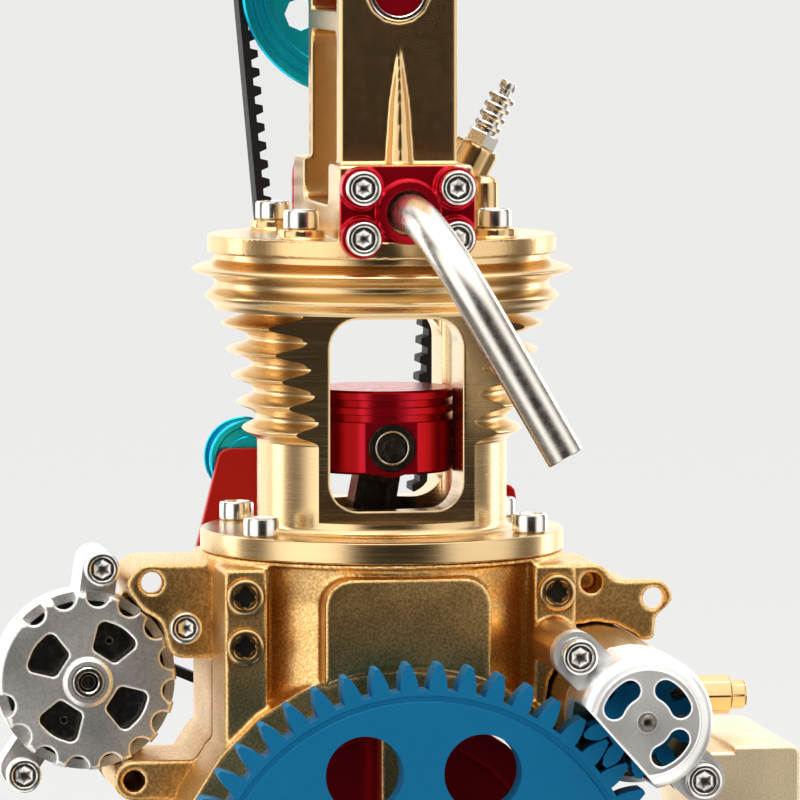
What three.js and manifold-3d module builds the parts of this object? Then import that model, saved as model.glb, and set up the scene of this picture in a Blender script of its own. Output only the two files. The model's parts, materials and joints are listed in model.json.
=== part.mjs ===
/**
 * Four stroke engine model, a desktop display engine of turned and milled metal.
 *
 * Frame: millimetres, +Z up. The origin lies on the table under the cylinder axis. X runs to the
 * right of the engine's front, Y runs back along the crankshaft, towards the timing belt.
 *
 * The engine is drawn at mid stroke, with the crankpin to the left of the crankshaft axis.
 */
import * as THREE from 'three';
import { mergeVertices } from 'three/addons/utils/BufferGeometryUtils.js';
import Module from 'manifold-3d';

const wasm = await Module();
wasm.setup();

// Fits
const SEAT_GAP = 0.1;
const RUNNING_GAP = 0.3;
const EDGE_BREAK = 0.4;
const WELD_GAP = 0.0001;
const CUT_REACH = 62;

// Stand
const FOOT_HEIGHT = 4;
const FOOT_RADIUS = 6;
const FOOT_INSET = 11;
const BASE_WIDTH = 130;
const BASE_DEPTH = 110;
const BASE_THICKNESS = 6;
const BASE_CORNER = 10;
const PEDESTAL_HALF_WIDTH = 31;
const PEDESTAL_HALF_DEPTH = 23;
const PEDESTAL_CORNER = 5;

// Crank train
const CRANK_HEIGHT = 60.5;
const CRANK_THROW = 12.5;
const CASE_FOOT_HEIGHT = 3;
const ROD_LENGTH = 70.4;
const JOURNAL_RADIUS = 3.5;
const WEB_RADIUS = 28.7;
const WEB_THICKNESS = 8;
const WEB_INNER_FACE = 5;
const WEB_RIM_WIDTH = 4.5;
const WEB_POCKET_DEPTH = 1.6;
const CRANKPIN_RADIUS = 3;
const CRANKPIN_BOSS_RADIUS = 5.6;
const ROD_BIG_END_RADIUS = 6.4;
const ROD_SMALL_END_RADIUS = 4.6;
const ROD_HALF_WIDTH = 3.2;
const ROD_HALF_DEPTH = 3.6;
const ROD_POCKET_DEPTH = 1.9;
const ROD_FLANGE = 1.1;

// Piston
const PISTON_RADIUS = 11.3;
const CROWN_ABOVE_PIN = 8.9;
const SKIRT_BELOW_PIN = 4.2;
const CROWN_THICKNESS = 3.6;
const PISTON_WALL = 1.6;
const PIN_BOSS_OUTER = 10.2;
const RING_GROOVE_DEPTH = 0.7;
const RING_GROOVE_HEIGHT = 1.1;
const RING_GROOVE_PITCH = 2.3;
const FIRST_RING_DROP = 1.5;
const WRIST_PIN_RADIUS = 2.5;
const PIN_RECESS_RADIUS = 3.8;
const PIN_RECESS_DEPTH = 0.9;

// Crankcase
const CASE_SPLIT = -4;
const DRUM_RADIUS = 36.5;
const CHAMBER_RADIUS = 31.8;
const DRUM_HALF_DEPTH = 21.5;
const SPIDER_OUTER = 20;
const SPIDER_INNER = 15.6;
const SPIDER_HUB_RADIUS = 10.5;
const SPIDER_HUB_REACH = 27;
const SPOKE_HALF_WIDTH = 3.2;
const CASE_RISE = 52.7;
const CASE_TOP = CRANK_HEIGHT + CASE_RISE;
const TOP_RING_RADIUS = 28.7;
const TOP_RING_THICKNESS = 3.2;
const THROAT_RADIUS = 23.5;
const CASE_BORE_RADIUS = 12.2;
const ROD_SLOT_HALF_WIDTH = 14.6;
const ROD_SLOT_HALF_DEPTH = 4.6;
const ROD_SLOT_DROP = 7.2;
const COLUMN_INNER = 20.9;
const COLUMN_OUTER = 27.6;
const COLUMN_DROP = 1.2;
const COLUMN_HALF_DEPTH = 20;
const BOSS_HALF_WIDTH = 12.3;
const BOSS_DROP = 3;
const BOSS_FACE = 25;
const BOSS_CORNER = 3.4;
const BOSS_EDGE = 1.4;
const FOOT_FLANGE_HALF_WIDTH = 28;
const EAR_DEPTH = 20;
const EAR_WEB = 3;
const EAR_HOLE_RADIUS = 1.75;
const EAR_BACK_HOLE_RADIUS = 2.3;
const EAR_RISE = 2.9;
const EAR_NOSE = 4.7;
const EAR_SHOULDER = 1.5;
const EAR_CORNER = 2.6;
const EAR_SHELF = 6.6;
const LEFT_HOLE_REACH = 37;
const LEFT_HOLE_DROP = 4.7;
const LEFT_EAR_DROP = 12;
const RIGHT_HOLE_REACH = 43.1;
const RIGHT_HOLE_DROP = 8.4;
const RIGHT_EAR_DROP = 6.7;
const RIGHT_EAR_TOP_DROP = 2.9;
const BLIND_HOLE_REACH = 33;
const BLIND_HOLE_DROP = 5.8;
const BLIND_HOLE_DEPTH = 6;
const CASE_SCREW_RADIUS = 2.6;
const CASE_SCREW_DEPTH = 2;
const CASE_SCREW_X = 24.5;
const CASE_SCREW_DROPS = [5.5, 13.2];

// Cylinder
const BASE_FLANGE_THICKNESS = 3.4;
const BARREL_RADIUS = 19.7;
const BORE_RADIUS = 11.6;
const FINS = 5;
const FIRST_FIN_RISE = 19.1;
const FIN_PITCH = 4.14;
const FIRST_FIN_RADIUS = 22.1;
const FIN_GROWTH = 0.83;
const VALLEY_GROWTH = 0.4;
const FIN_ROOT_HALF = 1.35;
const FIN_TIP_HALF = 0.4;
const FIRST_RING_RISE = 40;
const RING_PITCH = 4.2;
const LOWER_RING_RADIUS = 27.9;
const UPPER_RING_RADIUS = 30;
const RING_VALLEY_RADIUS = 26.6;
const RING_ROOT_HALF = 1.5;
const RING_TIP_HALF = 0.5;
const FLAT_Y = 15.4;
const FLAT_RISE = 5.4;
const FLAT_HEIGHT = 32.4;
const WINDOW_HALF_WIDTH = 10.46;
const WINDOW_RISE = 7.1;
const WINDOW_HEIGHT = 29.9;
const WINDOW_CORNER = 4.4;
const CYLINDER_BOLT_X = 21.2;
const CYLINDER_BOLT_Y = 14.4;

// Head
const CYLINDER_HEIGHT = 46.8;
const HEAD_BOTTOM = CASE_TOP + CYLINDER_HEIGHT;
const HEAD_PLATE_RADIUS = 27.5;
const HEAD_PLATE_THICKNESS = 2.9;
const HEAD_PLATE_TOP = HEAD_BOTTOM + HEAD_PLATE_THICKNESS;
const HEAD_BOLT_X = 15.1;
const HEAD_BOLT_Y = 16.1;
const HEAD_BOSS_RADIUS = 3.7;
const HEAD_BOSS_HEIGHT = 1.5;
const PORT_BLOCK_HALF_WIDTH = 10.5;
const PORT_BLOCK_HALF_DEPTH = 24.6;
const PORT_BLOCK_HEIGHT = 14.5;
const PORT_BLOCK_TOP = HEAD_BOTTOM + PORT_BLOCK_HEIGHT;
const PORT_RISE = 7.3;
const PORT_HEIGHT = HEAD_BOTTOM + PORT_RISE;
const PORT_RADIUS = 2.6;
const TOWER_HALF_WIDTH = 9.2;
const TOWER_HALF_DEPTH = 17.4;
const TOWER_WALL = 4;
const TOWER_CORNER = 2.4;
const TOWER_HEIGHT = 48;
const TOWER_TOP = HEAD_BOTTOM + TOWER_HEIGHT;
const TOWER_FLOOR_RISE = 8;
const TOWER_FLOOR = HEAD_BOTTOM + TOWER_FLOOR_RISE;
const DECK_RISE = 34.8;
const DECK_BOTTOM = HEAD_BOTTOM + DECK_RISE;
const DECK_THICKNESS = 3.2;
const DECK_TOP = DECK_BOTTOM + DECK_THICKNESS;
const CAM_RISE = 41.2;
const CAM_HEIGHT = HEAD_BOTTOM + CAM_RISE;
const CAM_HOLE_RADIUS = 4.9;
const SPIRE_RADIUS = 2;
const SPIRE_WAIST_RADIUS = 1.35;
const SPIRE_HEIGHT = 33;
const SPIRE_TOP = HEAD_BOTTOM + SPIRE_HEIGHT;
const OIL_POST_X = 15.2;
const OIL_POST_RADIUS = 2.3;
const OIL_POST_HEIGHT = 11.1;
const OIL_POST_NOSE = 1;
const COVER_HEIGHT = 5.8;
const COVER_SIDE_HEIGHT = 1.3;
const COVER_SIDE_CORNER = 1;
const COVER_CROWN_CORNER = 3.4;
const COVER_TOP = TOWER_TOP + COVER_HEIGHT;

// Valve train
const VALVE_OFFSET = 6.4;
const VALVE_DISC_RADIUS = 4;
const VALVE_DISC_THICKNESS = 0.9;
const VALVE_STEM_RADIUS = 1.1;
const VALVE_POCKET_RADIUS = 3.4;
const TAPPET_RADIUS = 3.4;
const TAPPET_HEIGHT = 5.2;
const CAM_BASE_RADIUS = 4;
const CAM_NOSE_REACH = 5.5;
const CAM_NOSE_RADIUS = 1.7;
const CAM_WIDTH = 4.6;
const CAM_SPREAD = 1.9;
const CAMSHAFT_RADIUS = 2;
const SPRING_COIL_RADIUS = 2.6;
const SPRING_WIRE_RADIUS = 0.45;
const SPRING_TURNS = 6;

// Ports, flanges and pipes
const FLANGE_HALF_WIDTH = 10.5;
const FLANGE_HALF_HEIGHT = 7.1;
const FLANGE_THICKNESS = 2.6;
const FLANGE_CORNER = 3;
const FLANGE_RING_RADIUS = 5;
const FLANGE_RING_HEIGHT = 0.8;
const FLANGE_LOBE_RADIUS = 3.1;
const FLANGE_LOBE_HEIGHT = 0.5;
const FLANGE_SCREW_X = 7.3;
const FLANGE_SCREW_Z = 3.85;
const PIPE_RADIUS = 2.95;
const PIPE_WALL = 0.5;
const PIPE_RUN = 1.5;
const PIPE_BEND = 34;
const PIPE_LEAN = 0.56;
const PIPE_FALL = 0.15;
const PIPE_END_DROP = 36;
const TRUMPET_RADIUS = 6.4;
const TRUMPET_FLARE = 1;
const TRUMPET_LIP = 2;
const TRUMPET_LENGTH = 22;

// Fasteners
const CAP_HEAD_RADIUS = 2.75;
const CAP_HEAD_HEIGHT = 3;
const CAP_SHANK_RADIUS = 1.45;
const CAP_SHANK_LENGTH = 6;
const CAP_SOCKET_RADIUS = 1.45;
const CAP_SOCKET_DEPTH = 1.5;

// Spark plug
const PLUG_TILT = 27;
const PLUG_HEX_X = 15.9;
const PLUG_RISE = 17.6;
const PLUG_HEX_Z = HEAD_BOTTOM + PLUG_RISE;
const PLUG_HEX_RADIUS = 2.7;
const PLUG_HEX_HEIGHT = 2.4;
const PLUG_SHANK_RADIUS = 1.9;
const PLUG_SHANK_LENGTH = 7;
const PLUG_RIB_RADIUS = 2.1;
const PLUG_CORE_RADIUS = 1.35;
const PLUG_RIB_PITCH = 1.6;
const PLUG_RIBS = 4;
const PLUG_KNOB_RADIUS = 1.3;
const PLUG_KNOB_HEIGHT = 2.6;
const PLUG_NECK_RADIUS = 0.85;
const PLUG_NECK_HEIGHT = 0.75;
const PLUG_KNOB_CHAMFER = 0.4;
const RIB_START_SHARE = 0.25;
const RIB_END_SHARE = 0.6;
const RIB_FOOT_SHARE = 0.9;
const PLUG_BOSS_RADIUS = 3.7;

// Starter gears
const GEAR_MODULE = 1.5;
const ROOT_TURN_SHARE = 0.82;
const PRESSURE_ANGLE = 20;
const GEAR_TEETH = 50;
const PINION_TEETH = 10;
const PROFILE_SHIFT = 0.3;
const GEAR_TIP_RADIUS = 38.9;
const PINION_TIP_RADIUS = 9.2;
const TOOTH_DEPTH = 3.7;
const BACKLASH = 0.34;
const GEAR_FACE = 42;
const GEAR_WIDTH = 5;
const GEAR_HUB_RADIUS = 9;
const GEAR_HUB_REACH = 1.4;
const GEAR_HOLE_RADIUS = 6;
const GEAR_HOLE_CIRCLE = 23.8;
const GEAR_HOLES = 8;
const PINION_DIRECTION = 41.6;

// Starter
const STARTER_COVER_FACE = 47;
const STARTER_COVER_DEPTH = 13.6;
const STARTER_COVER_RADIUS = 10.5;
const STARTER_COVER_WALL = 0.9;
const STARTER_SHOULDER = 2.2;
const STARTER_BORE_DEPTH = 5.5;
const MOTOR_END_RADIUS = 6;
const MOTOR_END_REACH = 2.6;
const STARTER_CUT = 5.5;
const STARTER_WINDOWS = [138, 42, -48];
const STARTER_WINDOW_RADIUS = 5.5;
const STARTER_WINDOW_HALF_WIDTH = 1.5;
const STARTER_WINDOW_SPREAD = 17;
const STARTER_LUG_REACH = 13.7;
const STARTER_LUG_RADIUS = 3.7;
const STARTER_LUG_FACE = 40.3;
const STARTER_LUG_THICKNESS = 3.2;
const STARTER_MOTOR_RADIUS = 10.5;
const STARTER_MOTOR_BACK = 18;
const STARTER_SHAFT_RADIUS = 1.3;
const STUD_DROP = 1.1;
const STUD_END = 57.9;
const STUD_STEP = 55.2;
const STUD_RADIUS = 3.2;
const STUD_TIP_RADIUS = 2.4;

// Generator
const GENERATOR_X = -46.8;
const GENERATOR_RISE = 32.2;
const GENERATOR_HEIGHT = CRANK_HEIGHT + GENERATOR_RISE;
const GENERATOR_RADIUS = 14.1;
const GENERATOR_BODY_RADIUS = 11;
const GENERATOR_EDGE = 0.7;
const GENERATOR_RIM = 3;
const GENERATOR_FACE = -0.6;
const GENERATOR_COVER_DEPTH = 10.6;
const GENERATOR_WALL = 1.5;
const GENERATOR_BACK = 31;
const SCALLOPS = 16;
const SCALLOP_RADIUS = 1.75;
const SCALLOP_PHASE = -7;
const SCALLOP_GAPS = [7, 8];
const VENTS = 4;
const VENT_PHASE = 57;
const VENT_INNER = 5.1;
const VENT_OUTER = 10;
const VENT_INNER_SPREAD = 25;
const VENT_OUTER_SPREAD = 22;
const VENT_CORNER = 1;
const GENERATOR_BOSS_RADIUS = 4;
const GENERATOR_BOSS_HEIGHT = 0.7;
const BEARING_RADIUS = 2.5;
const ROTOR_RADIUS = 11.6;
const ROTOR_THICKNESS = 4.6;
const ROTOR_HOLES = 6;
const ROTOR_HOLE_CIRCLE = 7.2;
const ROTOR_HOLE_RADIUS = 0.5;
const ROTOR_SHAFT_RADIUS = 1.2;
const GENERATOR_LUG_TURNS = [82, 236];
const GENERATOR_LUG_REACH = 17.8;
const GENERATOR_LUG_RADIUS = 2.8;
const GENERATOR_LUG_INSET = 3.6;
const ARM_THICKNESS = 6;
const ARM_RING_WIDTH = 4.2;
const ARM_RING_TOP = 62;
const ARM_RING_BOTTOM = -66;
const LOWER_EAR_X = -39.9;
const LOWER_EAR_RADIUS = 3.2;
const LOWER_EAR_RISE = 16.8;
const LOWER_EAR_HEIGHT = CRANK_HEIGHT + LOWER_EAR_RISE;

// Timing drive
const BELT_PITCH = 3;
const BELT_TEETH = 121;
const CAM_PULLEY_TEETH = 36;
const PITCH_TO_LAND = 0.38;
const PITCH_TO_BACK = 0.85;
const BELT_TOOTH_HEIGHT = 1.17;
const BELT_TOOTH_ROOT_HALF = 0.95;
const BELT_TOOTH_TIP_HALF = 0.55;
const BELT_WIDTH = 6;
const BELT_PLANE = 39;
const PULLEY_WIDTH = 7;
const PULLEY_FLANGE_RISE = 0.8;
const PULLEY_FLANGE_THICKNESS = 1.2;
const GROOVE_MOUTH_GAP = 0.24;
const GROOVE_FLOOR_GAP = 0.16;
const ROLLER_FLANGE_WIDTH = 0.6;
const CAMSHAFT_STUB = 1.2;
const PULLEY_RECESS = 1.6;
const PULLEY_RIM = 2.6;
const PULLEY_HUB_RADIUS = 4.6;
const PULLEY_HOLES = 6;
const PULLEY_HOLE_RADIUS = 2.7;
const TENSIONER_RADIUS = 5.2;
const TENSIONER_FLANGE_RADIUS = 6.5;
const TENSIONER_RISE = 63.9;
const TENSIONER_HEIGHT = CRANK_HEIGHT + TENSIONER_RISE;
const BRACKET_THICKNESS = 2;
const BRACKET_Y = 33;
const BRACKET_POST_X = 22;
const BRACKET_POST_DROP = 6.2;
const BRACKET_POST_HEIGHT = CASE_TOP - BRACKET_POST_DROP;
const BRACKET_POST_RADIUS = 3.4;
const BRACKET_HALF_WIDTH = 27.4;
const BRACKET_CORNER = 2;
const BRACKET_FOOT = 5;
const BRACKET_WAIST = 6;
const BRACKET_HORN = 13;
const BRACKET_HORN_WIDTH = 7;
const BRACKET_TOP = 2;
const BRACKET_TOP_INNER = 7.2;
const BRACKET_TOP_OUTER = 5;

// Generator belt
const BAND_THICKNESS = 1.6;
const BAND_WIDTH = 4;
const BAND_PLANE = 47;
const CRANK_BAND_RADIUS = 14.6;
const ROTOR_BAND_RADIUS = 3.2;

// Side box
const BOX_INSET = 1.6;
const BOX_WIDTH = 14.6;
const BOX_HEIGHT = 73;
const BOX_FRONT = -20;
const BOX_BACK = 19;
const BOX_LEDGE = 3.8;
const BOX_LEDGE_DROP = 0.9;
const BOX_CORNER = 1.6;

// Facets round a full turn, by size, and steps along a curve
const BELT_ARC_STEP = 0.21;
const CAM_STEPS = 14;
const CAM_NOSE_STEPS = 4;
const FLANK_STEPS = 2;
const SHOULDER_STEPS = 3;
const COIL_STEPS = 8;
const WIRE_FACETS = 4;
const PIPE_STEPS = 18;
const PIPE_FACETS = 10;
const HEX_FACETS = 6;
const SMALL_FACETS = 8;
const SCREW_FACETS = 8;
const MIDDLE_FACETS = 14;
const ROUND_FACETS = 20;
const LARGE_FACETS = 28;

// Derived positions
const baseTop = FOOT_HEIGHT + BASE_THICKNESS;
const pedestalTop = CRANK_HEIGHT - DRUM_RADIUS - CASE_FOOT_HEIGHT;
const rodTilt = Math.asin(CRANK_THROW / ROD_LENGTH);
const pinHeight = CRANK_HEIGHT + ROD_LENGTH * Math.cos(rodTilt);
const crownHeight = pinHeight + CROWN_ABOVE_PIN;
const skirtHeight = pinHeight - SKIRT_BELOW_PIN;
const gearCentres = GEAR_MODULE * (GEAR_TEETH + PINION_TEETH) / 2;
const pinionX = gearCentres * Math.cos(THREE.MathUtils.degToRad(PINION_DIRECTION));
const pinionHeight = CRANK_HEIGHT + gearCentres * Math.sin(THREE.MathUtils.degToRad(PINION_DIRECTION));
const cylinderBottom = CASE_TOP;
const flangeTop = cylinderBottom + BASE_FLANGE_THICKNESS;
const camPitchRadius = CAM_PULLEY_TEETH * BELT_PITCH / (2 * Math.PI);
const crankPulleyTeeth = CAM_PULLEY_TEETH / 2;
const crankPitchRadius = crankPulleyTeeth * BELT_PITCH / (2 * Math.PI);
const tappetTop = CAM_HEIGHT - CAM_NOSE_REACH - RUNNING_GAP;
const tappetBottom = tappetTop - TAPPET_HEIGHT;

const GOLD = { color: 0xc9a566, roughness: 0.28, metalness: 1 };
const BLASTED_GOLD = { color: 0xc2a06a, roughness: 0.55, metalness: 0.9 };
const BLUE = { color: 0x0073aa, roughness: 0.42, metalness: 0.55 };
const CYAN = { color: 0x19a8d0, roughness: 0.25, metalness: 0.7 };
const RED = { color: 0xa00a22, roughness: 0.35, metalness: 0.6 };
const BRIGHT_RED = { color: 0xd01b1b, roughness: 0.4, metalness: 0.4 };
const STEEL = { color: 0xc9c9c6, roughness: 0.22, metalness: 1 };
const DARK_STEEL = { color: 0x4a4844, roughness: 0.4, metalness: 0.9 };
const BLACK_METAL = { color: 0x1a1a1c, roughness: 0.45, metalness: 0.5 };
const RUBBER = { color: 0x121212, roughness: 0.85, metalness: 0 };

// Solids

/** Gives the signed volume of an indexed triangle mesh. */
function signedVolume(points, triangles) {
  const corner = (index) => new THREE.Vector3().fromArray(points, index * 3);
  let total = 0;
  for (let i = 0; i < triangles.length; i += 3) {
    const a = corner(triangles[i]);
    const b = corner(triangles[i + 1]);
    const c = corner(triangles[i + 2]);
    total += a.dot(b.cross(c));
  }
  return total;
}

/** Turns a closed surface into a solid that can be joined and cut. */
function solidFrom(geometry) {
  const bare = geometry.clone();
  for (const name of Object.keys(bare.attributes)) {
    if (name !== 'position') bare.deleteAttribute(name);
  }
  const merged = mergeVertices(bare, WELD_GAP);
  const points = merged.attributes.position.array;
  const triangles = [];
  for (let i = 0; i < merged.index.count; i += 3) {
    const [a, b, c] = [0, 1, 2].map((k) => merged.index.getX(i + k));
    if (a !== b && b !== c && c !== a) triangles.push(a, b, c);
  }
  const turned = signedVolume(points, triangles) < 0;
  const facing = turned ? triangles.slice().reverse() : triangles;
  return new wasm.Manifold(new wasm.Mesh({
    numProp: 3,
    vertProperties: Float32Array.from(points),
    triVerts: Uint32Array.from(facing),
  }));
}

/** Joins a list of solids into one. */
function join(...solids) {
  return solids.flat().reduce((whole, piece) => whole.add(piece));
}

/** Cuts every tool in a list from a solid. */
function cut(body, ...tools) {
  return tools.flat().reduce((rest, tool) => rest.subtract(tool), body);
}

/** Makes a flat outline from corner points, each corner rounded by its own or the shared radius. */
function outline(points, radius = 0) {
  const shape = new THREE.Shape();
  const corners = points.map((point) => new THREE.Vector2(point[0], point[1]));
  corners.forEach((corner, index) => {
    const before = corners[(index + corners.length - 1) % corners.length];
    const after = corners[(index + 1) % corners.length];
    const own = points[index][2] ?? radius;
    const back = before.clone().sub(corner);
    const on = after.clone().sub(corner);
    const halfAngle = back.angleTo(on) / 2;
    const reach = Math.min(own / Math.tan(halfAngle), back.length() * 0.49, on.length() * 0.49);
    const start = corner.clone().add(back.setLength(reach));
    const end = corner.clone().add(on.setLength(reach));
    if (index === 0) shape.moveTo(start.x, start.y);
    else shape.lineTo(start.x, start.y);
    if (own > 0) shape.quadraticCurveTo(corner.x, corner.y, end.x, end.y);
  });
  shape.closePath();
  return shape;
}

/** Makes a rectangle outline from its two opposite corners. */
function rectangle(left, bottom, right, top, radius = 0) {
  return outline([[left, bottom], [right, bottom], [right, top], [left, top]], radius);
}

/** Makes a round outline. */
function circle(x, y, radius) {
  const shape = new THREE.Shape();
  shape.absarc(x, y, radius, 0, Math.PI * 2, false);
  return shape;
}

/** Extrudes an outline from one level to another with its edges broken by a small bevel. */
function extruded(shape, from, to, bevel = 0, facets = 6) {
  const geometry = new THREE.ExtrudeGeometry(shape, {
    depth: to - from - 2 * bevel,
    bevelEnabled: bevel > 0,
    bevelThickness: bevel,
    bevelSize: bevel,
    bevelOffset: -bevel,
    bevelSegments: 1,
    curveSegments: facets,
  });
  return geometry.translate(0, 0, from + bevel);
}

/** Makes a plate or block that stands up from the table, its outline given in X and Y. */
function upright(shape, bottom, top, bevel = 0, facets = 3) {
  return solidFrom(extruded(shape, bottom, top, bevel, facets));
}

/** Makes a plate or block whose outline, in X and Z, is seen from the front. */
function facing(shape, front, back, bevel = 0, facets = 3) {
  return solidFrom(extruded(shape, -back, -front, bevel, facets).rotateX(Math.PI / 2));
}

/** Makes a plate or block whose outline, in Y and Z, is seen from the side. */
function sideways(shape, left, right, bevel = 0, facets = 3) {
  const turn = new THREE.Matrix4().makeBasis(
    new THREE.Vector3(0, 1, 0),
    new THREE.Vector3(0, 0, 1),
    new THREE.Vector3(1, 0, 0),
  );
  return solidFrom(extruded(shape, left, right, bevel, facets).applyMatrix4(turn));
}

/** Revolves a profile of radius and height pairs about the Y axis. */
function revolve(profile, facets) {
  const points = profile.map(([radius, height]) => new THREE.Vector2(radius, height));
  const first = profile[0];
  const last = profile[profile.length - 1];
  if (first[0] > 0 || last[0] > 0) points.push(points[0].clone());
  return new THREE.LatheGeometry(points, facets);
}

/** Turns a profile about a vertical axis. */
function turnedUp(profile, x = 0, y = 0, facets = MIDDLE_FACETS) {
  return solidFrom(revolve(profile, facets).rotateX(Math.PI / 2).translate(x, y, 0));
}

/** Turns a profile about an axis that runs front to back. */
function turnedBack(profile, x = 0, z = 0, facets = MIDDLE_FACETS) {
  return solidFrom(revolve(profile, facets).translate(x, 0, z));
}

/** Makes a plain round bar or hole tool between two ends of a profile. */
function barProfile(radius, from, to) {
  return [[0, from], [radius, from], [radius, to], [0, to]];
}

/** Makes a closed ring profile. */
function ringProfile(inner, outer, from, to) {
  return [[inner, from], [outer, from], [outer, to], [inner, to]];
}

/** Repeats a maker over equal steps round a full turn. */
function around(count, maker, phase = 0) {
  return Array.from({ length: count }, (_, index) => maker(phase + index * 2 * Math.PI / count, index));
}

/** Gives the point at a radius and angle about a centre, in X and Z. */
function polar(radius, angle, x = 0, z = CRANK_HEIGHT) {
  return [x + radius * Math.cos(angle), z + radius * Math.sin(angle)];
}

const radians = THREE.MathUtils.degToRad;
const engine = new THREE.Group();

/** Adds a solid, or a closed geometry, to the engine as a named piece. */
function place(name, solid, finish) {
  const body = solid.isBufferGeometry ? solidFrom(solid) : solid;
  const mesh = body.getMesh();
  const points = new Float32Array(mesh.triVerts.length * 3);
  mesh.triVerts.forEach((vertex, index) => {
    for (let axis = 0; axis < 3; axis += 1) {
      points[index * 3 + axis] = mesh.vertProperties[vertex * mesh.numProp + axis];
    }
  });
  const geometry = new THREE.BufferGeometry();
  geometry.setAttribute('position', new THREE.BufferAttribute(points, 3));
  geometry.computeVertexNormals();
  const piece = new THREE.Mesh(geometry, new THREE.MeshStandardMaterial(finish));
  piece.name = name;
  engine.add(piece);
}

// Fasteners

/** Makes a socket cap screw along +Z with the underside of its head at the origin. */
function capScrew(shankLength = CAP_SHANK_LENGTH, headHeight = CAP_HEAD_HEIGHT) {
  const body = turnedUp([
    [0, -shankLength],
    [CAP_SHANK_RADIUS, -shankLength],
    [CAP_SHANK_RADIUS, 0],
    [CAP_HEAD_RADIUS, 0],
    [CAP_HEAD_RADIUS, headHeight],
    [0, headHeight],
  ], 0, 0, SCREW_FACETS);
  const socketFloor = headHeight - CAP_SOCKET_DEPTH;
  const socketTop = headHeight + CAP_SOCKET_DEPTH;
  return body.subtract(turnedUp(barProfile(CAP_SOCKET_RADIUS, socketFloor, socketTop), 0, 0, HEX_FACETS));
}

/** Sets a screw made along +Z upright at a point. */
function screwUp(screw, x, y, z) {
  return screw.translate([x, y, z]);
}

/** Sets a screw made along +Z so that its head looks to the front. */
function screwFront(screw, x, y, z) {
  return screw.rotate([90, 0, 0]).translate([x, y, z]);
}

/** Makes the hole tool for a screw shank along Z. */
function holeUp(x, y, bottom, top, radius = CAP_SHANK_RADIUS + SEAT_GAP) {
  return turnedUp(barProfile(radius, bottom, top), x, y, SCREW_FACETS);
}

/** Makes the hole tool for a screw shank along Y. */
function holeBack(x, z, front, back, radius = CAP_SHANK_RADIUS + SEAT_GAP) {
  return turnedBack(barProfile(radius, front, back), x, z, SCREW_FACETS);
}

// Stand

place('base_plate', upright(
  rectangle(-BASE_WIDTH / 2, -BASE_DEPTH / 2, BASE_WIDTH / 2, BASE_DEPTH / 2, BASE_CORNER),
  FOOT_HEIGHT,
  baseTop,
  EDGE_BREAK * 2,
), BLACK_METAL);

const footTaper = FOOT_RADIUS / 8;
const FOOT_NAMES = ['foot_front_left', 'foot_front_right', 'foot_back_left', 'foot_back_right'];
FOOT_NAMES.forEach((name, index) => {
  const x = (BASE_WIDTH / 2 - FOOT_INSET) * (index % 2 ? 1 : -1);
  const y = (BASE_DEPTH / 2 - FOOT_INSET) * (index > 1 ? 1 : -1);
  place(name, turnedUp([
    [0, 0],
    [FOOT_RADIUS - footTaper, 0],
    [FOOT_RADIUS, FOOT_HEIGHT],
    [0, FOOT_HEIGHT],
  ], x, y), RUBBER);
});

place('oil_pan', upright(
  rectangle(
    -PEDESTAL_HALF_WIDTH,
    -PEDESTAL_HALF_DEPTH,
    PEDESTAL_HALF_WIDTH,
    PEDESTAL_HALF_DEPTH,
    PEDESTAL_CORNER,
  ),
  baseTop,
  pedestalTop,
  EDGE_BREAK / 2,
), GOLD);

// Crankcase

/** Makes the hub and straight spokes that carry one main bearing. */
function bearingSpider(side) {
  const outer = side * SPIDER_OUTER;
  const inner = side * SPIDER_INNER;
  const front = Math.min(outer, inner);
  const back = Math.max(outer, inner);
  const reach = CHAMBER_RADIUS + EDGE_BREAK * 2;
  const low = CRANK_HEIGHT - SPOKE_HALF_WIDTH;
  const high = CRANK_HEIGHT + SPOKE_HALF_WIDTH;
  const bars = [
    facing(rectangle(-reach, low, reach, high), front, back),
    facing(rectangle(
      -SPOKE_HALF_WIDTH,
      CRANK_HEIGHT - reach,
      SPOKE_HALF_WIDTH,
      CRANK_HEIGHT + reach,
    ), front, back),
  ];
  const far = side * SPIDER_HUB_REACH;
  const hub = turnedBack(
    barProfile(SPIDER_HUB_RADIUS, Math.min(inner, far), Math.max(inner, far)),
    0,
    CRANK_HEIGHT,
    MIDDLE_FACETS,
  );
  return join(bars, hub);
}

/** Makes the outer form of the crankcase between two depths, before its chamber is opened. */
function caseBlock(front, back) {
  const drum = turnedBack(barProfile(DRUM_RADIUS, front, back), 0, CRANK_HEIGHT, LARGE_FACETS);
  const foot = facing(rectangle(
    -FOOT_FLANGE_HALF_WIDTH,
    pedestalTop,
    FOOT_FLANGE_HALF_WIDTH,
    CRANK_HEIGHT - DRUM_RADIUS / 2,
    EDGE_BREAK,
  ), front, back, 0, 2);
  return join(drum, foot);
}

/** Makes one pair of square columns beside the throat. */
function columns(front, back) {
  return [-1, 1].map((side) => facing(rectangle(
    Math.min(side * COLUMN_INNER, side * COLUMN_OUTER),
    CRANK_HEIGHT,
    Math.max(side * COLUMN_INNER, side * COLUMN_OUTER),
    CASE_TOP - COLUMN_DROP,
    EDGE_BREAK * 2,
  ), front, back, 0, 2));
}

const throat = turnedUp([
  [0, CRANK_HEIGHT],
  [THROAT_RADIUS, CRANK_HEIGHT],
  [THROAT_RADIUS, CASE_TOP - TOP_RING_THICKNESS],
  [TOP_RING_RADIUS - EDGE_BREAK, CASE_TOP - TOP_RING_THICKNESS],
  [TOP_RING_RADIUS, CASE_TOP - TOP_RING_THICKNESS + EDGE_BREAK],
  [TOP_RING_RADIUS, CASE_TOP],
  [0, CASE_TOP],
], 0, 0, LARGE_FACETS);

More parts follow.
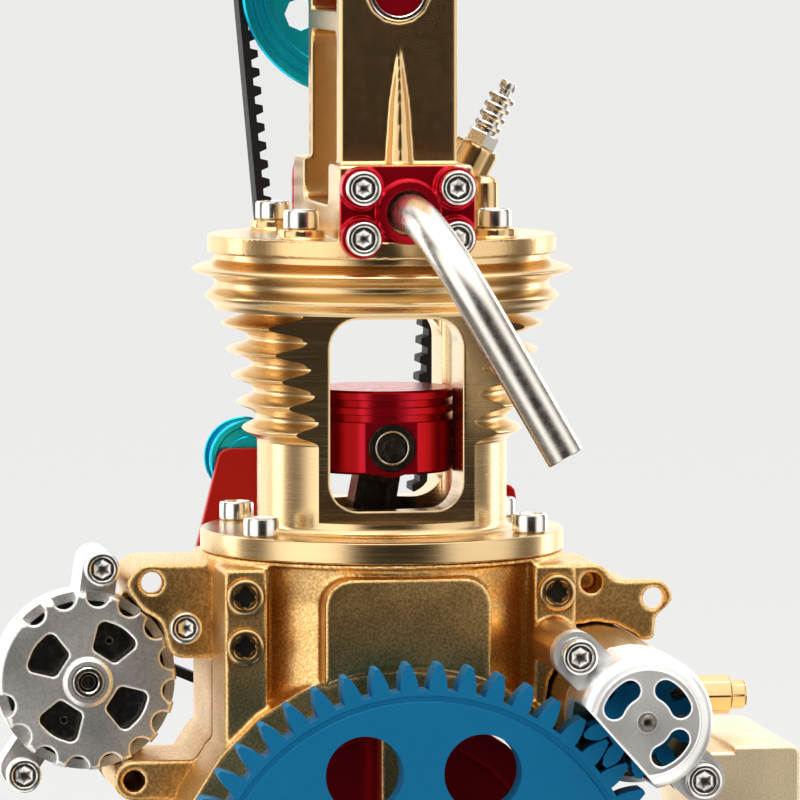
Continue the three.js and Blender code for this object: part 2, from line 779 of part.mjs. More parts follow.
/** Makes the half space tool that keeps one side of the split. */
function slab(front, back) {
  const reach = 2 * CUT_REACH;
  return facing(rectangle(-reach, 0, reach, 2 * reach), front, back);
}

const chamber = turnedBack(
  barProfile(CHAMBER_RADIUS, -CUT_REACH, CUT_REACH),
  0,
  CRANK_HEIGHT,
  LARGE_FACETS,
);
const caseBore = turnedUp(
  barProfile(CASE_BORE_RADIUS, CRANK_HEIGHT + WEB_RADIUS, CASE_TOP + EDGE_BREAK),
  0,
  0,
  MIDDLE_FACETS,
);
const rodSlot = upright(
  rectangle(-ROD_SLOT_HALF_WIDTH, -ROD_SLOT_HALF_DEPTH, ROD_SLOT_HALF_WIDTH, ROD_SLOT_HALF_DEPTH),
  CRANK_HEIGHT + WEB_RADIUS,
  CASE_TOP - ROD_SLOT_DROP,
);
const starterClearance = turnedBack(
  barProfile(STARTER_MOTOR_RADIUS + RUNNING_GAP, -CUT_REACH, CUT_REACH),
  pinionX,
  pinionHeight,
  ROUND_FACETS,
);
const cylinderBoltPlaces = [[-1, -1], [1, -1], [-1, 1], [1, 1]]
  .map(([sideX, sideY]) => [sideX * CYLINDER_BOLT_X, sideY * CYLINDER_BOLT_Y]);
const cylinderBoltHoles = cylinderBoltPlaces.map(([x, y]) => holeUp(
  x,
  y,
  flangeTop - CAP_SHANK_LENGTH - SEAT_GAP * 2,
  flangeTop + EDGE_BREAK,
));
const lugDirection = Math.SQRT1_2;
const starterLugPlaces = [1, -1].map((side) => [
  pinionX - side * STARTER_LUG_REACH * lugDirection,
  pinionHeight + side * STARTER_LUG_REACH * lugDirection,
]);
const starterLugBack = -STARTER_LUG_FACE + STARTER_LUG_THICKNESS;
const lugBosses = starterLugPlaces.map(([x, z]) => turnedBack(
  barProfile(STARTER_LUG_RADIUS, starterLugBack, -COLUMN_HALF_DEPTH + EDGE_BREAK),
  x,
  z,
  MIDDLE_FACETS,
));
const starterScrewHoles = starterLugPlaces.map(([x, z]) => holeBack(
  x,
  z,
  -STARTER_LUG_FACE - EDGE_BREAK,
  -STARTER_LUG_FACE + CAP_SHANK_LENGTH + SEAT_GAP * 2,
));

const frontBoss = cut(
  facing(
    rectangle(-BOSS_HALF_WIDTH, CRANK_HEIGHT, BOSS_HALF_WIDTH, CASE_TOP - BOSS_DROP, BOSS_CORNER),
    -BOSS_FACE,
    -BOSS_FACE / 2,
    BOSS_EDGE,
    3,
  ),
  turnedBack(barProfile(DRUM_RADIUS - EDGE_BREAK, -CUT_REACH, 0), 0, CRANK_HEIGHT, LARGE_FACETS),
);
const throatFront = cut(
  throat,
  turnedBack(barProfile(DRUM_RADIUS - EDGE_BREAK, -CUT_REACH, -DRUM_HALF_DEPTH), 0, CRANK_HEIGHT, LARGE_FACETS),
  turnedBack(barProfile(DRUM_RADIUS - EDGE_BREAK, DRUM_HALF_DEPTH, CUT_REACH), 0, CRANK_HEIGHT, LARGE_FACETS),
);
const shaftBore = turnedBack(
  barProfile(JOURNAL_RADIUS + SEAT_GAP * 2, -CUT_REACH, CUT_REACH),
  0,
  CRANK_HEIGHT,
  MIDDLE_FACETS,
);
const caseScrewPlaces = [
  [-CASE_SCREW_X, CASE_SCREW_DROPS[0]],
  [-CASE_SCREW_X, CASE_SCREW_DROPS[1]],
  [CASE_SCREW_X, CASE_SCREW_DROPS[0]],
];
const caseScrewSeats = caseScrewPlaces.map(([x, drop]) => turnedBack(
  barProfile(CASE_SCREW_RADIUS, -COLUMN_HALF_DEPTH - EDGE_BREAK, -COLUMN_HALF_DEPTH + CASE_SCREW_DEPTH),
  x,
  CASE_TOP - drop,
));

const caseFront = cut(
  join(
    cut(
      join(
        caseBlock(-DRUM_HALF_DEPTH, CASE_SPLIT),
        columns(-COLUMN_HALF_DEPTH, CASE_SPLIT),
        throatFront.intersect(slab(-CUT_REACH, CASE_SPLIT)),
        frontBoss,
        lugBosses[0],
      ),
      chamber,
    ),
    bearingSpider(-1),
  ),
  caseBore,
  rodSlot,
  shaftBore,
  starterClearance,
  cylinderBoltHoles,
  starterScrewHoles,
  caseScrewSeats,
);
place('crankcase_front', caseFront, BLASTED_GOLD);

const earBack = CASE_SPLIT + EAR_DEPTH;
const leftHole = [-LEFT_HOLE_REACH, CASE_TOP - LEFT_HOLE_DROP];
const leftEarFoot = leftHole[1] - LEFT_EAR_DROP;
const leftEar = facing(outline([
  [-COLUMN_INNER, leftHole[1] + EAR_RISE, 0],
  [leftHole[0] - EAR_SHOULDER, leftHole[1] + EAR_RISE, EAR_CORNER],
  [leftHole[0] - EAR_NOSE, leftHole[1], EAR_CORNER],
  [leftHole[0] - EAR_SHOULDER, leftHole[1] - EAR_RISE - EAR_SHOULDER, EAR_CORNER],
  [leftHole[0] + EAR_SHOULDER, leftHole[1] - EAR_NOSE - EAR_SHOULDER, EAR_CORNER],
  [leftHole[0] + 2 * EAR_SHOULDER, leftEarFoot, EAR_CORNER],
  [-COLUMN_INNER, leftEarFoot, 0],
]), CASE_SPLIT, earBack);
const rightHole = [RIGHT_HOLE_REACH, CASE_TOP - RIGHT_HOLE_DROP];
const rightEarFoot = rightHole[1] - RIGHT_EAR_DROP;
const rightEarTop = CASE_TOP - RIGHT_EAR_TOP_DROP;
const rightEar = facing(outline([
  [COLUMN_INNER, rightEarFoot, 0],
  [rightHole[0], rightEarFoot, EDGE_BREAK * 2],
  [rightHole[0] + EDGE_BREAK, rightHole[1] - EAR_RISE, EAR_CORNER / 2],
  [rightHole[0] + EAR_RISE + EAR_SHOULDER / 2, rightHole[1], EAR_CORNER],
  [rightHole[0] + EAR_SHOULDER, rightHole[1] + EAR_RISE, EAR_CORNER],
  [rightHole[0] - EAR_SHELF, rightHole[1] + EAR_RISE, EAR_CORNER],
  [rightHole[0] - EAR_SHELF - EAR_SHOULDER, rightEarTop, EAR_CORNER],
  [COLUMN_INNER, rightEarTop, 0],
]), CASE_SPLIT, earBack);
const lugPlaces = GENERATOR_LUG_TURNS.map((degrees) => polar(
  GENERATOR_LUG_REACH,
  radians(degrees),
  GENERATOR_X,
  GENERATOR_HEIGHT,
));
const lipBack = CASE_SPLIT + EAR_WEB;
const armFront = GENERATOR_FACE + GENERATOR_COVER_DEPTH + SEAT_GAP;
const armBack = armFront + ARM_THICKNESS;
/** Makes a straight arm with a round end between two points, seen from the front. */
function arm(from, to, halfWidth, front, back) {
  const start = new THREE.Vector2(from[0], from[1]);
  const end = new THREE.Vector2(to[0], to[1]);
  const side = end.clone().sub(start).normalize().rotateAround(new THREE.Vector2(), Math.PI / 2);
  side.multiplyScalar(halfWidth);
  const link = facing(outline([
    [start.x + side.x, start.y + side.y],
    [start.x - side.x, start.y - side.y],
    [end.x - side.x, end.y - side.y],
    [end.x + side.x, end.y + side.y],
  ]), front, back);
  return join(
    link,
    turnedBack(barProfile(halfWidth, front, back), start.x, start.y),
    turnedBack(barProfile(halfWidth, front, back), end.x, end.y),
  );
}
const generatorAxis = [GENERATOR_X, GENERATOR_HEIGHT];
const armRingSector = facing(outline([
  generatorAxis,
  polar(2 * GENERATOR_RADIUS, radians(ARM_RING_BOTTOM), ...generatorAxis),
  polar(2 * GENERATOR_RADIUS, 0, ...generatorAxis),
  polar(2 * GENERATOR_RADIUS, radians(ARM_RING_TOP), ...generatorAxis),
]), armFront, armBack);
const armRing = turnedBack(ringProfile(
  GENERATOR_BODY_RADIUS + SEAT_GAP,
  GENERATOR_BODY_RADIUS + ARM_RING_WIDTH,
  armFront,
  armBack,
), ...generatorAxis, LARGE_FACETS).intersect(armRingSector);
const lowerEar = arm(
  [-COLUMN_OUTER, LOWER_EAR_HEIGHT],
  [LOWER_EAR_X, LOWER_EAR_HEIGHT],
  LOWER_EAR_RADIUS,
  CASE_SPLIT,
  armBack,
);
const generatorClearance = join(
  turnedBack(
    barProfile(GENERATOR_RADIUS + RUNNING_GAP, lipBack, armFront),
    ...generatorAxis,
    LARGE_FACETS,
  ),
  turnedBack(
    barProfile(GENERATOR_BODY_RADIUS + SEAT_GAP, armFront - EDGE_BREAK, CUT_REACH),
    ...generatorAxis,
    LARGE_FACETS,
  ),
  lugPlaces.map((point) => arm(
    generatorAxis,
    point,
    GENERATOR_LUG_RADIUS + RUNNING_GAP,
    lipBack,
    CUT_REACH,
  )),
);
/** Makes the tool for a hole through an ear at a point, wider from behind a thin web. */
function earHole(point, behind) {
  const web = turnedBack(
    barProfile(EAR_HOLE_RADIUS, CASE_SPLIT - EDGE_BREAK, lipBack + EDGE_BREAK),
    ...point,
  );
  return join(web, behind);
}
const leftEarHole = earHole(leftHole, arm(
  leftHole,
  [leftHole[0] + 2 * EAR_SHOULDER, leftHole[1] - EAR_SHOULDER],
  EAR_BACK_HOLE_RADIUS,
  lipBack,
  CUT_REACH,
));
const rightEarHole = earHole(rightHole, turnedBack(
  barProfile(EAR_NOSE + EAR_BACK_HOLE_RADIUS / 2, lipBack, CUT_REACH),
  rightHole[0] + EAR_SHOULDER,
  rightHole[1],
));
const lowerEarHole = turnedBack(
  barProfile(EAR_HOLE_RADIUS - SEAT_GAP, CASE_SPLIT - EDGE_BREAK, CUT_REACH),
  LOWER_EAR_X,
  LOWER_EAR_HEIGHT,
);
const blindHole = turnedBack(
  barProfile(EAR_HOLE_RADIUS - SEAT_GAP, CASE_SPLIT - EDGE_BREAK, CASE_SPLIT + BLIND_HOLE_DEPTH),
  BLIND_HOLE_REACH,
  CASE_TOP - BLIND_HOLE_DROP,
);
const bracketPosts = [-1, 1].map((side) => turnedBack(
  barProfile(BRACKET_POST_RADIUS, COLUMN_HALF_DEPTH - EDGE_BREAK, BRACKET_Y),
  side * BRACKET_POST_X,
  BRACKET_POST_HEIGHT,
  MIDDLE_FACETS,
));
const caseBack = cut(
  join(
    cut(
      join(
        caseBlock(CASE_SPLIT, DRUM_HALF_DEPTH),
        columns(CASE_SPLIT, COLUMN_HALF_DEPTH),
        throatFront.intersect(slab(CASE_SPLIT, CUT_REACH)),
        cut(join(leftEar, lowerEar, armRing), generatorClearance),
        rightEar,
        bracketPosts,
      ),
      chamber,
    ),
    bearingSpider(1),
  ),
  caseBore,
  rodSlot,
  shaftBore,
  starterClearance,
  cylinderBoltHoles,
  leftEarHole,
  rightEarHole,
  lowerEarHole,
  blindHole,
);
place('crankcase_back', caseBack, BLASTED_GOLD);

// Cylinder

/** Lists the profile points of one cooling fin between its roots. */
function finProfile(height, tip, root, rootHalf, tipHalf) {
  return [
    [root, height - rootHalf],
    [tip, height - tipHalf],
    [tip, height + tipHalf],
    [root, height + rootHalf],
  ];
}

const finProfiles = Array.from({ length: FINS }, (_, index) => finProfile(
  cylinderBottom + FIRST_FIN_RISE + index * FIN_PITCH,
  FIRST_FIN_RADIUS + index * FIN_GROWTH,
  BARREL_RADIUS + index * VALLEY_GROWTH,
  FIN_ROOT_HALF,
  FIN_TIP_HALF,
)).flat();
const ringRadii = [LOWER_RING_RADIUS, UPPER_RING_RADIUS];
const ringProfiles = ringRadii.flatMap((radius, index) => finProfile(
  cylinderBottom + FIRST_RING_RISE + index * RING_PITCH,
  radius,
  RING_VALLEY_RADIUS,
  RING_ROOT_HALF,
  RING_TIP_HALF,
));
const barrel = turnedUp([
  [BORE_RADIUS, cylinderBottom],
  [TOP_RING_RADIUS, cylinderBottom],
  [TOP_RING_RADIUS, flangeTop - EDGE_BREAK],
  [TOP_RING_RADIUS - EDGE_BREAK, flangeTop],
  [BARREL_RADIUS, flangeTop],
  ...finProfiles,
  ...ringProfiles,
  [RING_VALLEY_RADIUS, HEAD_BOTTOM],
  [BORE_RADIUS, HEAD_BOTTOM],
], 0, 0, LARGE_FACETS);
const flatBottom = cylinderBottom + FLAT_RISE;
const windowBottom = cylinderBottom + WINDOW_RISE;
const flats = [-1, 1].map((side) => facing(
  rectangle(-TOP_RING_RADIUS, flatBottom, TOP_RING_RADIUS, flatBottom + FLAT_HEIGHT),
  side < 0 ? -CUT_REACH : FLAT_Y,
  side < 0 ? -FLAT_Y : CUT_REACH,
));
const sightWindow = facing(
  rectangle(
    -WINDOW_HALF_WIDTH,
    windowBottom,
    WINDOW_HALF_WIDTH,
    windowBottom + WINDOW_HEIGHT,
    WINDOW_CORNER,
  ),
  -CUT_REACH,
  CUT_REACH,
);
const headBoltPlaces = [[-1, -1], [1, -1], [-1, 1], [1, 1]]
  .map(([sideX, sideY]) => [sideX * HEAD_BOLT_X, sideY * HEAD_BOLT_Y]);
const headBoltSeat = HEAD_PLATE_TOP + HEAD_BOSS_HEIGHT;
const headBoltLength = headBoltSeat - HEAD_BOTTOM + PULLEY_RIM;
const headBoltHoles = headBoltPlaces.map(([x, y]) => holeUp(
  x,
  y,
  headBoltSeat - headBoltLength - SEAT_GAP * 2,
  headBoltSeat + EDGE_BREAK,
));
place('cylinder', cut(barrel, flats, sightWindow, cylinderBoltHoles, headBoltHoles), GOLD);

const QUARTERS = ['front_left', 'front_right', 'back_left', 'back_right'];
QUARTERS.forEach((quarter, index) => {
  const [x, y] = cylinderBoltPlaces[index];
  place(`cylinder_bolt_${quarter}`, screwUp(capScrew(), x, y, flangeTop), STEEL);
});

// Head

const plate = turnedUp([
  [0, HEAD_BOTTOM],
  [HEAD_PLATE_RADIUS, HEAD_BOTTOM],
  [HEAD_PLATE_RADIUS, HEAD_PLATE_TOP - EDGE_BREAK],
  [HEAD_PLATE_RADIUS - EDGE_BREAK, HEAD_PLATE_TOP],
  [0, HEAD_PLATE_TOP],
], 0, 0, LARGE_FACETS);
const headBosses = headBoltPlaces.map(([x, y]) => turnedUp(
  barProfile(HEAD_BOSS_RADIUS, HEAD_BOTTOM + EDGE_BREAK, headBoltSeat),
  x,
  y,
));
const portBlock = upright(rectangle(
  -PORT_BLOCK_HALF_WIDTH,
  -PORT_BLOCK_HALF_DEPTH,
  PORT_BLOCK_HALF_WIDTH,
  PORT_BLOCK_HALF_DEPTH,
  EDGE_BREAK,
), HEAD_BOTTOM + EDGE_BREAK, PORT_BLOCK_TOP, EDGE_BREAK, 2);
const towerBlock = upright(rectangle(
  -TOWER_HALF_WIDTH,
  -TOWER_HALF_DEPTH,
  TOWER_HALF_WIDTH,
  TOWER_HALF_DEPTH,
  EDGE_BREAK,
), HEAD_PLATE_TOP - EDGE_BREAK, TOWER_TOP, 0, 2);
const innerDepth = TOWER_HALF_DEPTH - TOWER_WALL;
const lowerWindow = sideways(
  rectangle(-innerDepth, TOWER_FLOOR, innerDepth, DECK_BOTTOM, TOWER_CORNER),
  -CUT_REACH,
  CUT_REACH,
);
const upperWindow = sideways(
  rectangle(-innerDepth, DECK_TOP, innerDepth, TOWER_TOP + EDGE_BREAK, 0),
  -CUT_REACH,
  CUT_REACH,
);
const camSlots = [-1, 1].map((side) => upright(rectangle(
  -CAM_NOSE_REACH - RUNNING_GAP,
  side * VALVE_OFFSET - CAM_WIDTH / 2 - RUNNING_GAP,
  CAM_NOSE_REACH + RUNNING_GAP,
  side * VALVE_OFFSET + CAM_WIDTH / 2 + RUNNING_GAP,
), DECK_BOTTOM - EDGE_BREAK, DECK_TOP + EDGE_BREAK));
const tappetBores = [-1, 1].map((side) => turnedUp(
  barProfile(TAPPET_RADIUS + RUNNING_GAP, DECK_BOTTOM - EDGE_BREAK, DECK_TOP + EDGE_BREAK),
  0,
  side * VALVE_OFFSET,
));
const valvePockets = [-1, 1].map((side) => join(
  turnedUp([
    [0, HEAD_BOTTOM - EDGE_BREAK],
    [VALVE_DISC_RADIUS + RUNNING_GAP, HEAD_BOTTOM - EDGE_BREAK],
    [VALVE_DISC_RADIUS + RUNNING_GAP, HEAD_BOTTOM + VALVE_DISC_THICKNESS + RUNNING_GAP],
    [VALVE_POCKET_RADIUS, HEAD_BOTTOM + VALVE_DISC_THICKNESS + RUNNING_GAP * 2],
    [VALVE_POCKET_RADIUS, PORT_HEIGHT - PORT_RADIUS / 2],
    [0, PORT_HEIGHT - PORT_RADIUS / 2],
  ], 0, side * VALVE_OFFSET),
  turnedUp(
    barProfile(VALVE_STEM_RADIUS + SEAT_GAP * 2, HEAD_BOTTOM, TOWER_FLOOR + EDGE_BREAK),
    0,
    side * VALVE_OFFSET,
    SMALL_FACETS,
  ),
));
const ports = [-1, 1].map((side) => turnedBack(barProfile(
  PORT_RADIUS,
  Math.min(side * VALVE_OFFSET, side * CUT_REACH),
  Math.max(side * VALVE_OFFSET, side * CUT_REACH),
), 0, PORT_HEIGHT, SCREW_FACETS));
const camHole = turnedBack(barProfile(CAM_HOLE_RADIUS, -CUT_REACH, 0), 0, CAM_HEIGHT);
const camBackHole = turnedBack(barProfile(CAMSHAFT_RADIUS + SEAT_GAP * 2, 0, CUT_REACH), 0, CAM_HEIGHT);
const spire = turnedUp(
  [
    [0, HEAD_PLATE_TOP],
    [SPIRE_RADIUS, HEAD_PLATE_TOP],
    [SPIRE_RADIUS, PORT_BLOCK_TOP],
    [SPIRE_WAIST_RADIUS, (PORT_BLOCK_TOP + SPIRE_TOP) / 2],
    [0, SPIRE_TOP],
  ],
  0,
  -TOWER_HALF_DEPTH,
  SMALL_FACETS,
);

const flangeFace = -PORT_BLOCK_HALF_DEPTH - FLANGE_THICKNESS;
const flangeNotches = [-1, 1].map((side) => facing(
  rectangle(
    -FLANGE_HALF_WIDTH - RUNNING_GAP,
    PORT_HEIGHT - FLANGE_HALF_HEIGHT - RUNNING_GAP,
    FLANGE_HALF_WIDTH + RUNNING_GAP,
    PORT_BLOCK_TOP,
  ),
  side < 0 ? -CUT_REACH : PORT_BLOCK_HALF_DEPTH,
  side < 0 ? -PORT_BLOCK_HALF_DEPTH : CUT_REACH,
));
const plugTurn = radians(PLUG_TILT);
const plugSeatDrop = PLUG_HEX_HEIGHT / 2;
/** Lays a solid made along +Z on the tilted axis of the spark plug, zero at the plug's seat. */
function onPlugAxis(solid) {
  const seatX = PLUG_HEX_X - plugSeatDrop * Math.sin(plugTurn);
  const seatZ = PLUG_HEX_Z - plugSeatDrop * Math.cos(plugTurn);
  return solid.rotate([0, PLUG_TILT, 0]).translate([seatX, 0, seatZ]);
}
const plugBossLength = (PLUG_HEX_Z - HEAD_PLATE_TOP) / Math.cos(plugTurn);
const plugBoss = onPlugAxis(turnedUp(barProfile(PLUG_BOSS_RADIUS, -plugBossLength, 0)))
  .intersect(upright(circle(0, 0, HEAD_PLATE_RADIUS), HEAD_BOTTOM + EDGE_BREAK, COVER_TOP, 0, MIDDLE_FACETS));
const plugBore = onPlugAxis(turnedUp(
  barProfile(PLUG_SHANK_RADIUS + SEAT_GAP, -PLUG_SHANK_LENGTH - SEAT_GAP * 2, EDGE_BREAK),
  0,
  0,
  SCREW_FACETS,
));
const oilBoss = turnedUp([
  [0, HEAD_BOTTOM + EDGE_BREAK],
  [OIL_POST_RADIUS, HEAD_BOTTOM + EDGE_BREAK],
  [OIL_POST_RADIUS, HEAD_BOTTOM + OIL_POST_HEIGHT],
  [OIL_POST_RADIUS - OIL_POST_NOSE, HEAD_BOTTOM + OIL_POST_HEIGHT + OIL_POST_NOSE],
  [0, HEAD_BOTTOM + OIL_POST_HEIGHT + OIL_POST_NOSE],
], OIL_POST_X, -VALVE_OFFSET);

place('cylinder_head', cut(
  join(
    cut(join(portBlock, towerBlock), lowerWindow, upperWindow),
    plate,
    headBosses,
    spire,
    plugBoss,
    oilBoss,
  ),
  camSlots,
  tappetBores,
  valvePockets,
  ports,
  camHole,
  camBackHole,
  flangeNotches,
  headBoltHoles,
  plugBore,
), GOLD);

QUARTERS.forEach((quarter, index) => {
  const [x, y] = headBoltPlaces[index];
  place(`head_bolt_${quarter}`, screwUp(capScrew(headBoltLength), x, y, headBoltSeat), STEEL);
});

const coverSpring = TOWER_TOP + COVER_SIDE_HEIGHT;
place('cam_cover', facing(outline([
  [-TOWER_HALF_WIDTH, TOWER_TOP, 0],
  [TOWER_HALF_WIDTH, TOWER_TOP, 0],
  [TOWER_HALF_WIDTH, coverSpring, COVER_SIDE_CORNER],
  [TOWER_HALF_WIDTH / 2, COVER_TOP, COVER_CROWN_CORNER],
  [-TOWER_HALF_WIDTH / 2, COVER_TOP, COVER_CROWN_CORNER],
  [-TOWER_HALF_WIDTH, coverSpring, COVER_SIDE_CORNER],
]), -TOWER_HALF_DEPTH, TOWER_HALF_DEPTH, EDGE_BREAK, 4), GOLD);

// Valve train

/** Outlines one cam with its nose towards the given angle. */
function camOutline(noseAngle) {
  const noseCentre = CAM_NOSE_REACH - CAM_NOSE_RADIUS;
  const lean = Math.acos((CAM_BASE_RADIUS - CAM_NOSE_RADIUS) / noseCentre);
  const points = [];
  for (let i = 0; i <= CAM_STEPS; i += 1) {
    const turn = noseAngle + lean + (2 * Math.PI - 2 * lean) * i / CAM_STEPS;
    points.push(polar(CAM_BASE_RADIUS, turn, 0, CAM_HEIGHT));
  }
  const [noseX, noseZ] = polar(noseCentre, noseAngle, 0, CAM_HEIGHT);
  for (let i = 0; i <= CAM_NOSE_STEPS; i += 1) {
    points.push(polar(CAM_NOSE_RADIUS, noseAngle - lean + 2 * lean * i / CAM_NOSE_STEPS, noseX, noseZ));
  }
  return outline(points);
}

const cams = [-1, 1].map((side) => facing(
  camOutline(Math.PI / 2 - side * CAM_SPREAD / 2),
  side * VALVE_OFFSET - CAM_WIDTH / 2,
  side * VALVE_OFFSET + CAM_WIDTH / 2,
));
const pulleyFront = BELT_PLANE - PULLEY_WIDTH / 2;
const pulleyBack = BELT_PLANE + PULLEY_WIDTH / 2;
const camShaftEnd = pulleyBack + CAMSHAFT_STUB;
place('camshaft', join(
  turnedBack([
    [0, -TOWER_HALF_DEPTH + EDGE_BREAK],
    [CAM_HOLE_RADIUS - RUNNING_GAP, -TOWER_HALF_DEPTH + EDGE_BREAK],
    [CAM_HOLE_RADIUS - RUNNING_GAP, -innerDepth],
    [CAMSHAFT_RADIUS, -innerDepth],
    [CAMSHAFT_RADIUS, camShaftEnd],
    [0, camShaftEnd],
  ], 0, CAM_HEIGHT),
  cams,
), RED);

const valveBottom = HEAD_BOTTOM + SEAT_GAP;
const VALVES = [['exhaust', -1], ['intake', 1]];
VALVES.forEach(([name, side]) => {
  place(`${name}_valve`, turnedUp([
    [0, valveBottom],
    [VALVE_DISC_RADIUS, valveBottom],
    [VALVE_DISC_RADIUS, valveBottom + VALVE_DISC_THICKNESS / 2],
    [VALVE_STEM_RADIUS, valveBottom + VALVE_DISC_THICKNESS * 2],
    [VALVE_STEM_RADIUS, tappetBottom],
    [TAPPET_RADIUS, tappetBottom],
    [TAPPET_RADIUS, tappetTop - EDGE_BREAK],
    [TAPPET_RADIUS - EDGE_BREAK, tappetTop],
    [0, tappetTop],
  ], 0, side * VALVE_OFFSET, ROUND_FACETS / 2), STEEL);
});

/** A coil that climbs round the valve stem. */
class SpringPath extends THREE.Curve {
  constructor(y, bottom, top) {
    super();
    this.y = y;
    this.bottom = bottom;
    this.top = top;
  }

  getPoint(share, target = new THREE.Vector3()) {
    const turn = share * SPRING_TURNS * 2 * Math.PI;
    return target.set(
      SPRING_COIL_RADIUS * Math.cos(turn),
      this.y + SPRING_COIL_RADIUS * Math.sin(turn),
      THREE.MathUtils.lerp(this.bottom, this.top, share),
    );
  }
}

const springInset = SPRING_WIRE_RADIUS + SEAT_GAP;
VALVES.forEach(([name, side]) => {
  const path = new SpringPath(
    side * VALVE_OFFSET,
    TOWER_FLOOR + springInset,
    tappetBottom - springInset,
  );
  const section = new THREE.Shape(new THREE.Path().absarc(0, 0, SPRING_WIRE_RADIUS, 0, 2 * Math.PI)
    .getPoints(WIRE_FACETS).slice(0, WIRE_FACETS));
  const coil = new THREE.ExtrudeGeometry(section, { steps: SPRING_TURNS * COIL_STEPS, extrudePath: path });
  place(`${name}_valve_spring`, coil, STEEL);
});

// Flanges and pipes

const flangeScrewPlaces = [[-1, -1], [1, -1], [-1, 1], [1, 1]]
  .map(([sideX, sideZ]) => [sideX * FLANGE_SCREW_X, PORT_HEIGHT + sideZ * FLANGE_SCREW_Z]);

/** Makes the flange of the exhaust, with a raised lobe for each screw and a ring for the pipe. */
function portFlange() {
  const plateSolid = facing(rectangle(
    -FLANGE_HALF_WIDTH,
    PORT_HEIGHT - FLANGE_HALF_HEIGHT,
    FLANGE_HALF_WIDTH,
    PORT_HEIGHT + FLANGE_HALF_HEIGHT,
    FLANGE_CORNER,
  ), flangeFace, -PORT_BLOCK_HALF_DEPTH, EDGE_BREAK / 2, 3);
  const ring = turnedBack(ringProfile(
    PIPE_RADIUS,
    FLANGE_RING_RADIUS,
    flangeFace - FLANGE_RING_HEIGHT,
    flangeFace + FLANGE_RING_HEIGHT,
  ), 0, PORT_HEIGHT);
  const lobes = flangeScrewPlaces.map(([x, z]) => turnedBack(
    barProfile(FLANGE_LOBE_RADIUS, flangeFace - FLANGE_LOBE_HEIGHT, flangeFace + FLANGE_LOBE_HEIGHT),
    x,
    z,
    SCREW_FACETS,
  ));
  const pipeHole = turnedBack(
    barProfile(PIPE_RADIUS + SEAT_GAP, flangeFace - 2 * FLANGE_RING_HEIGHT, -PORT_BLOCK_HALF_DEPTH + EDGE_BREAK),
    0,
    PORT_HEIGHT,
  );
  return cut(join(plateSolid, ring, lobes), pipeHole);
}

place('exhaust_flange', portFlange(), RED);

const pipeStart = -PORT_BLOCK_HALF_DEPTH - SEAT_GAP;
const pipeBendStart = flangeFace - PIPE_RUN;
const pipeDown = new THREE.Vector3(PIPE_LEAN, -PIPE_FALL, -1).normalize();
const pipeElbow = new THREE.Vector3(0, pipeBendStart - PIPE_BEND / 2, PORT_HEIGHT);
const pipeElbowReach = PIPE_BEND / 2;
const pipePath = new THREE.CurvePath();
const pipeBendEnd = pipeElbow.clone().addScaledVector(pipeDown, pipeElbowReach);
const pipeEnd = pipeElbow.clone().addScaledVector(pipeDown, PIPE_END_DROP / -pipeDown.z);
pipePath.add(new THREE.LineCurve3(
  new THREE.Vector3(0, pipeStart, PORT_HEIGHT),
  new THREE.Vector3(0, pipeBendStart, PORT_HEIGHT),
));
pipePath.add(new THREE.QuadraticBezierCurve3(
  new THREE.Vector3(0, pipeBendStart, PORT_HEIGHT),
  pipeElbow,
  pipeBendEnd,
));
pipePath.add(new THREE.LineCurve3(pipeBendEnd, pipeEnd));
const pipeSection = circle(0, 0, PIPE_RADIUS);
pipeSection.holes.push(circle(0, 0, PIPE_RADIUS - PIPE_WALL));
place('exhaust_pipe', new THREE.ExtrudeGeometry(pipeSection, {
  steps: PIPE_STEPS,
  curveSegments: PIPE_FACETS / 2,
  extrudePath: pipePath,
}), STEEL);

const trumpetFace = PORT_BLOCK_HALF_DEPTH + FLANGE_THICKNESS;
const trumpetEnd = trumpetFace + TRUMPET_LENGTH;
const intakePlate = facing(rectangle(
  -FLANGE_HALF_WIDTH,
  PORT_HEIGHT - FLANGE_HALF_HEIGHT,
  FLANGE_HALF_WIDTH,
  PORT_HEIGHT + FLANGE_HALF_HEIGHT,
  FLANGE_CORNER,
), PORT_BLOCK_HALF_DEPTH, trumpetFace, EDGE_BREAK / 2, 3);
const trumpet = turnedBack([
  [0, PORT_BLOCK_HALF_DEPTH + EDGE_BREAK],
  [PIPE_RADIUS + PIPE_WALL * 2, PORT_BLOCK_HALF_DEPTH + EDGE_BREAK],
  [PIPE_RADIUS + PIPE_WALL * 2, trumpetEnd - TRUMPET_RADIUS],
  [TRUMPET_RADIUS - TRUMPET_FLARE, trumpetEnd - TRUMPET_LIP],
  [TRUMPET_RADIUS, trumpetEnd],
  [0, trumpetEnd],
], 0, PORT_HEIGHT);
const trumpetBore = turnedBack([
  [0, PORT_BLOCK_HALF_DEPTH - EDGE_BREAK],
  [PORT_RADIUS, PORT_BLOCK_HALF_DEPTH - EDGE_BREAK],
  [PORT_RADIUS, trumpetEnd - TRUMPET_RADIUS],
  [TRUMPET_RADIUS - TRUMPET_FLARE - PIPE_WALL, trumpetEnd - TRUMPET_LIP / 2],
  [TRUMPET_RADIUS - PIPE_WALL, trumpetEnd + EDGE_BREAK],
  [0, trumpetEnd + EDGE_BREAK],
], 0, PORT_HEIGHT);
place('intake_trumpet', cut(join(intakePlate, trumpet), trumpetBore), RED);

// Spark plug

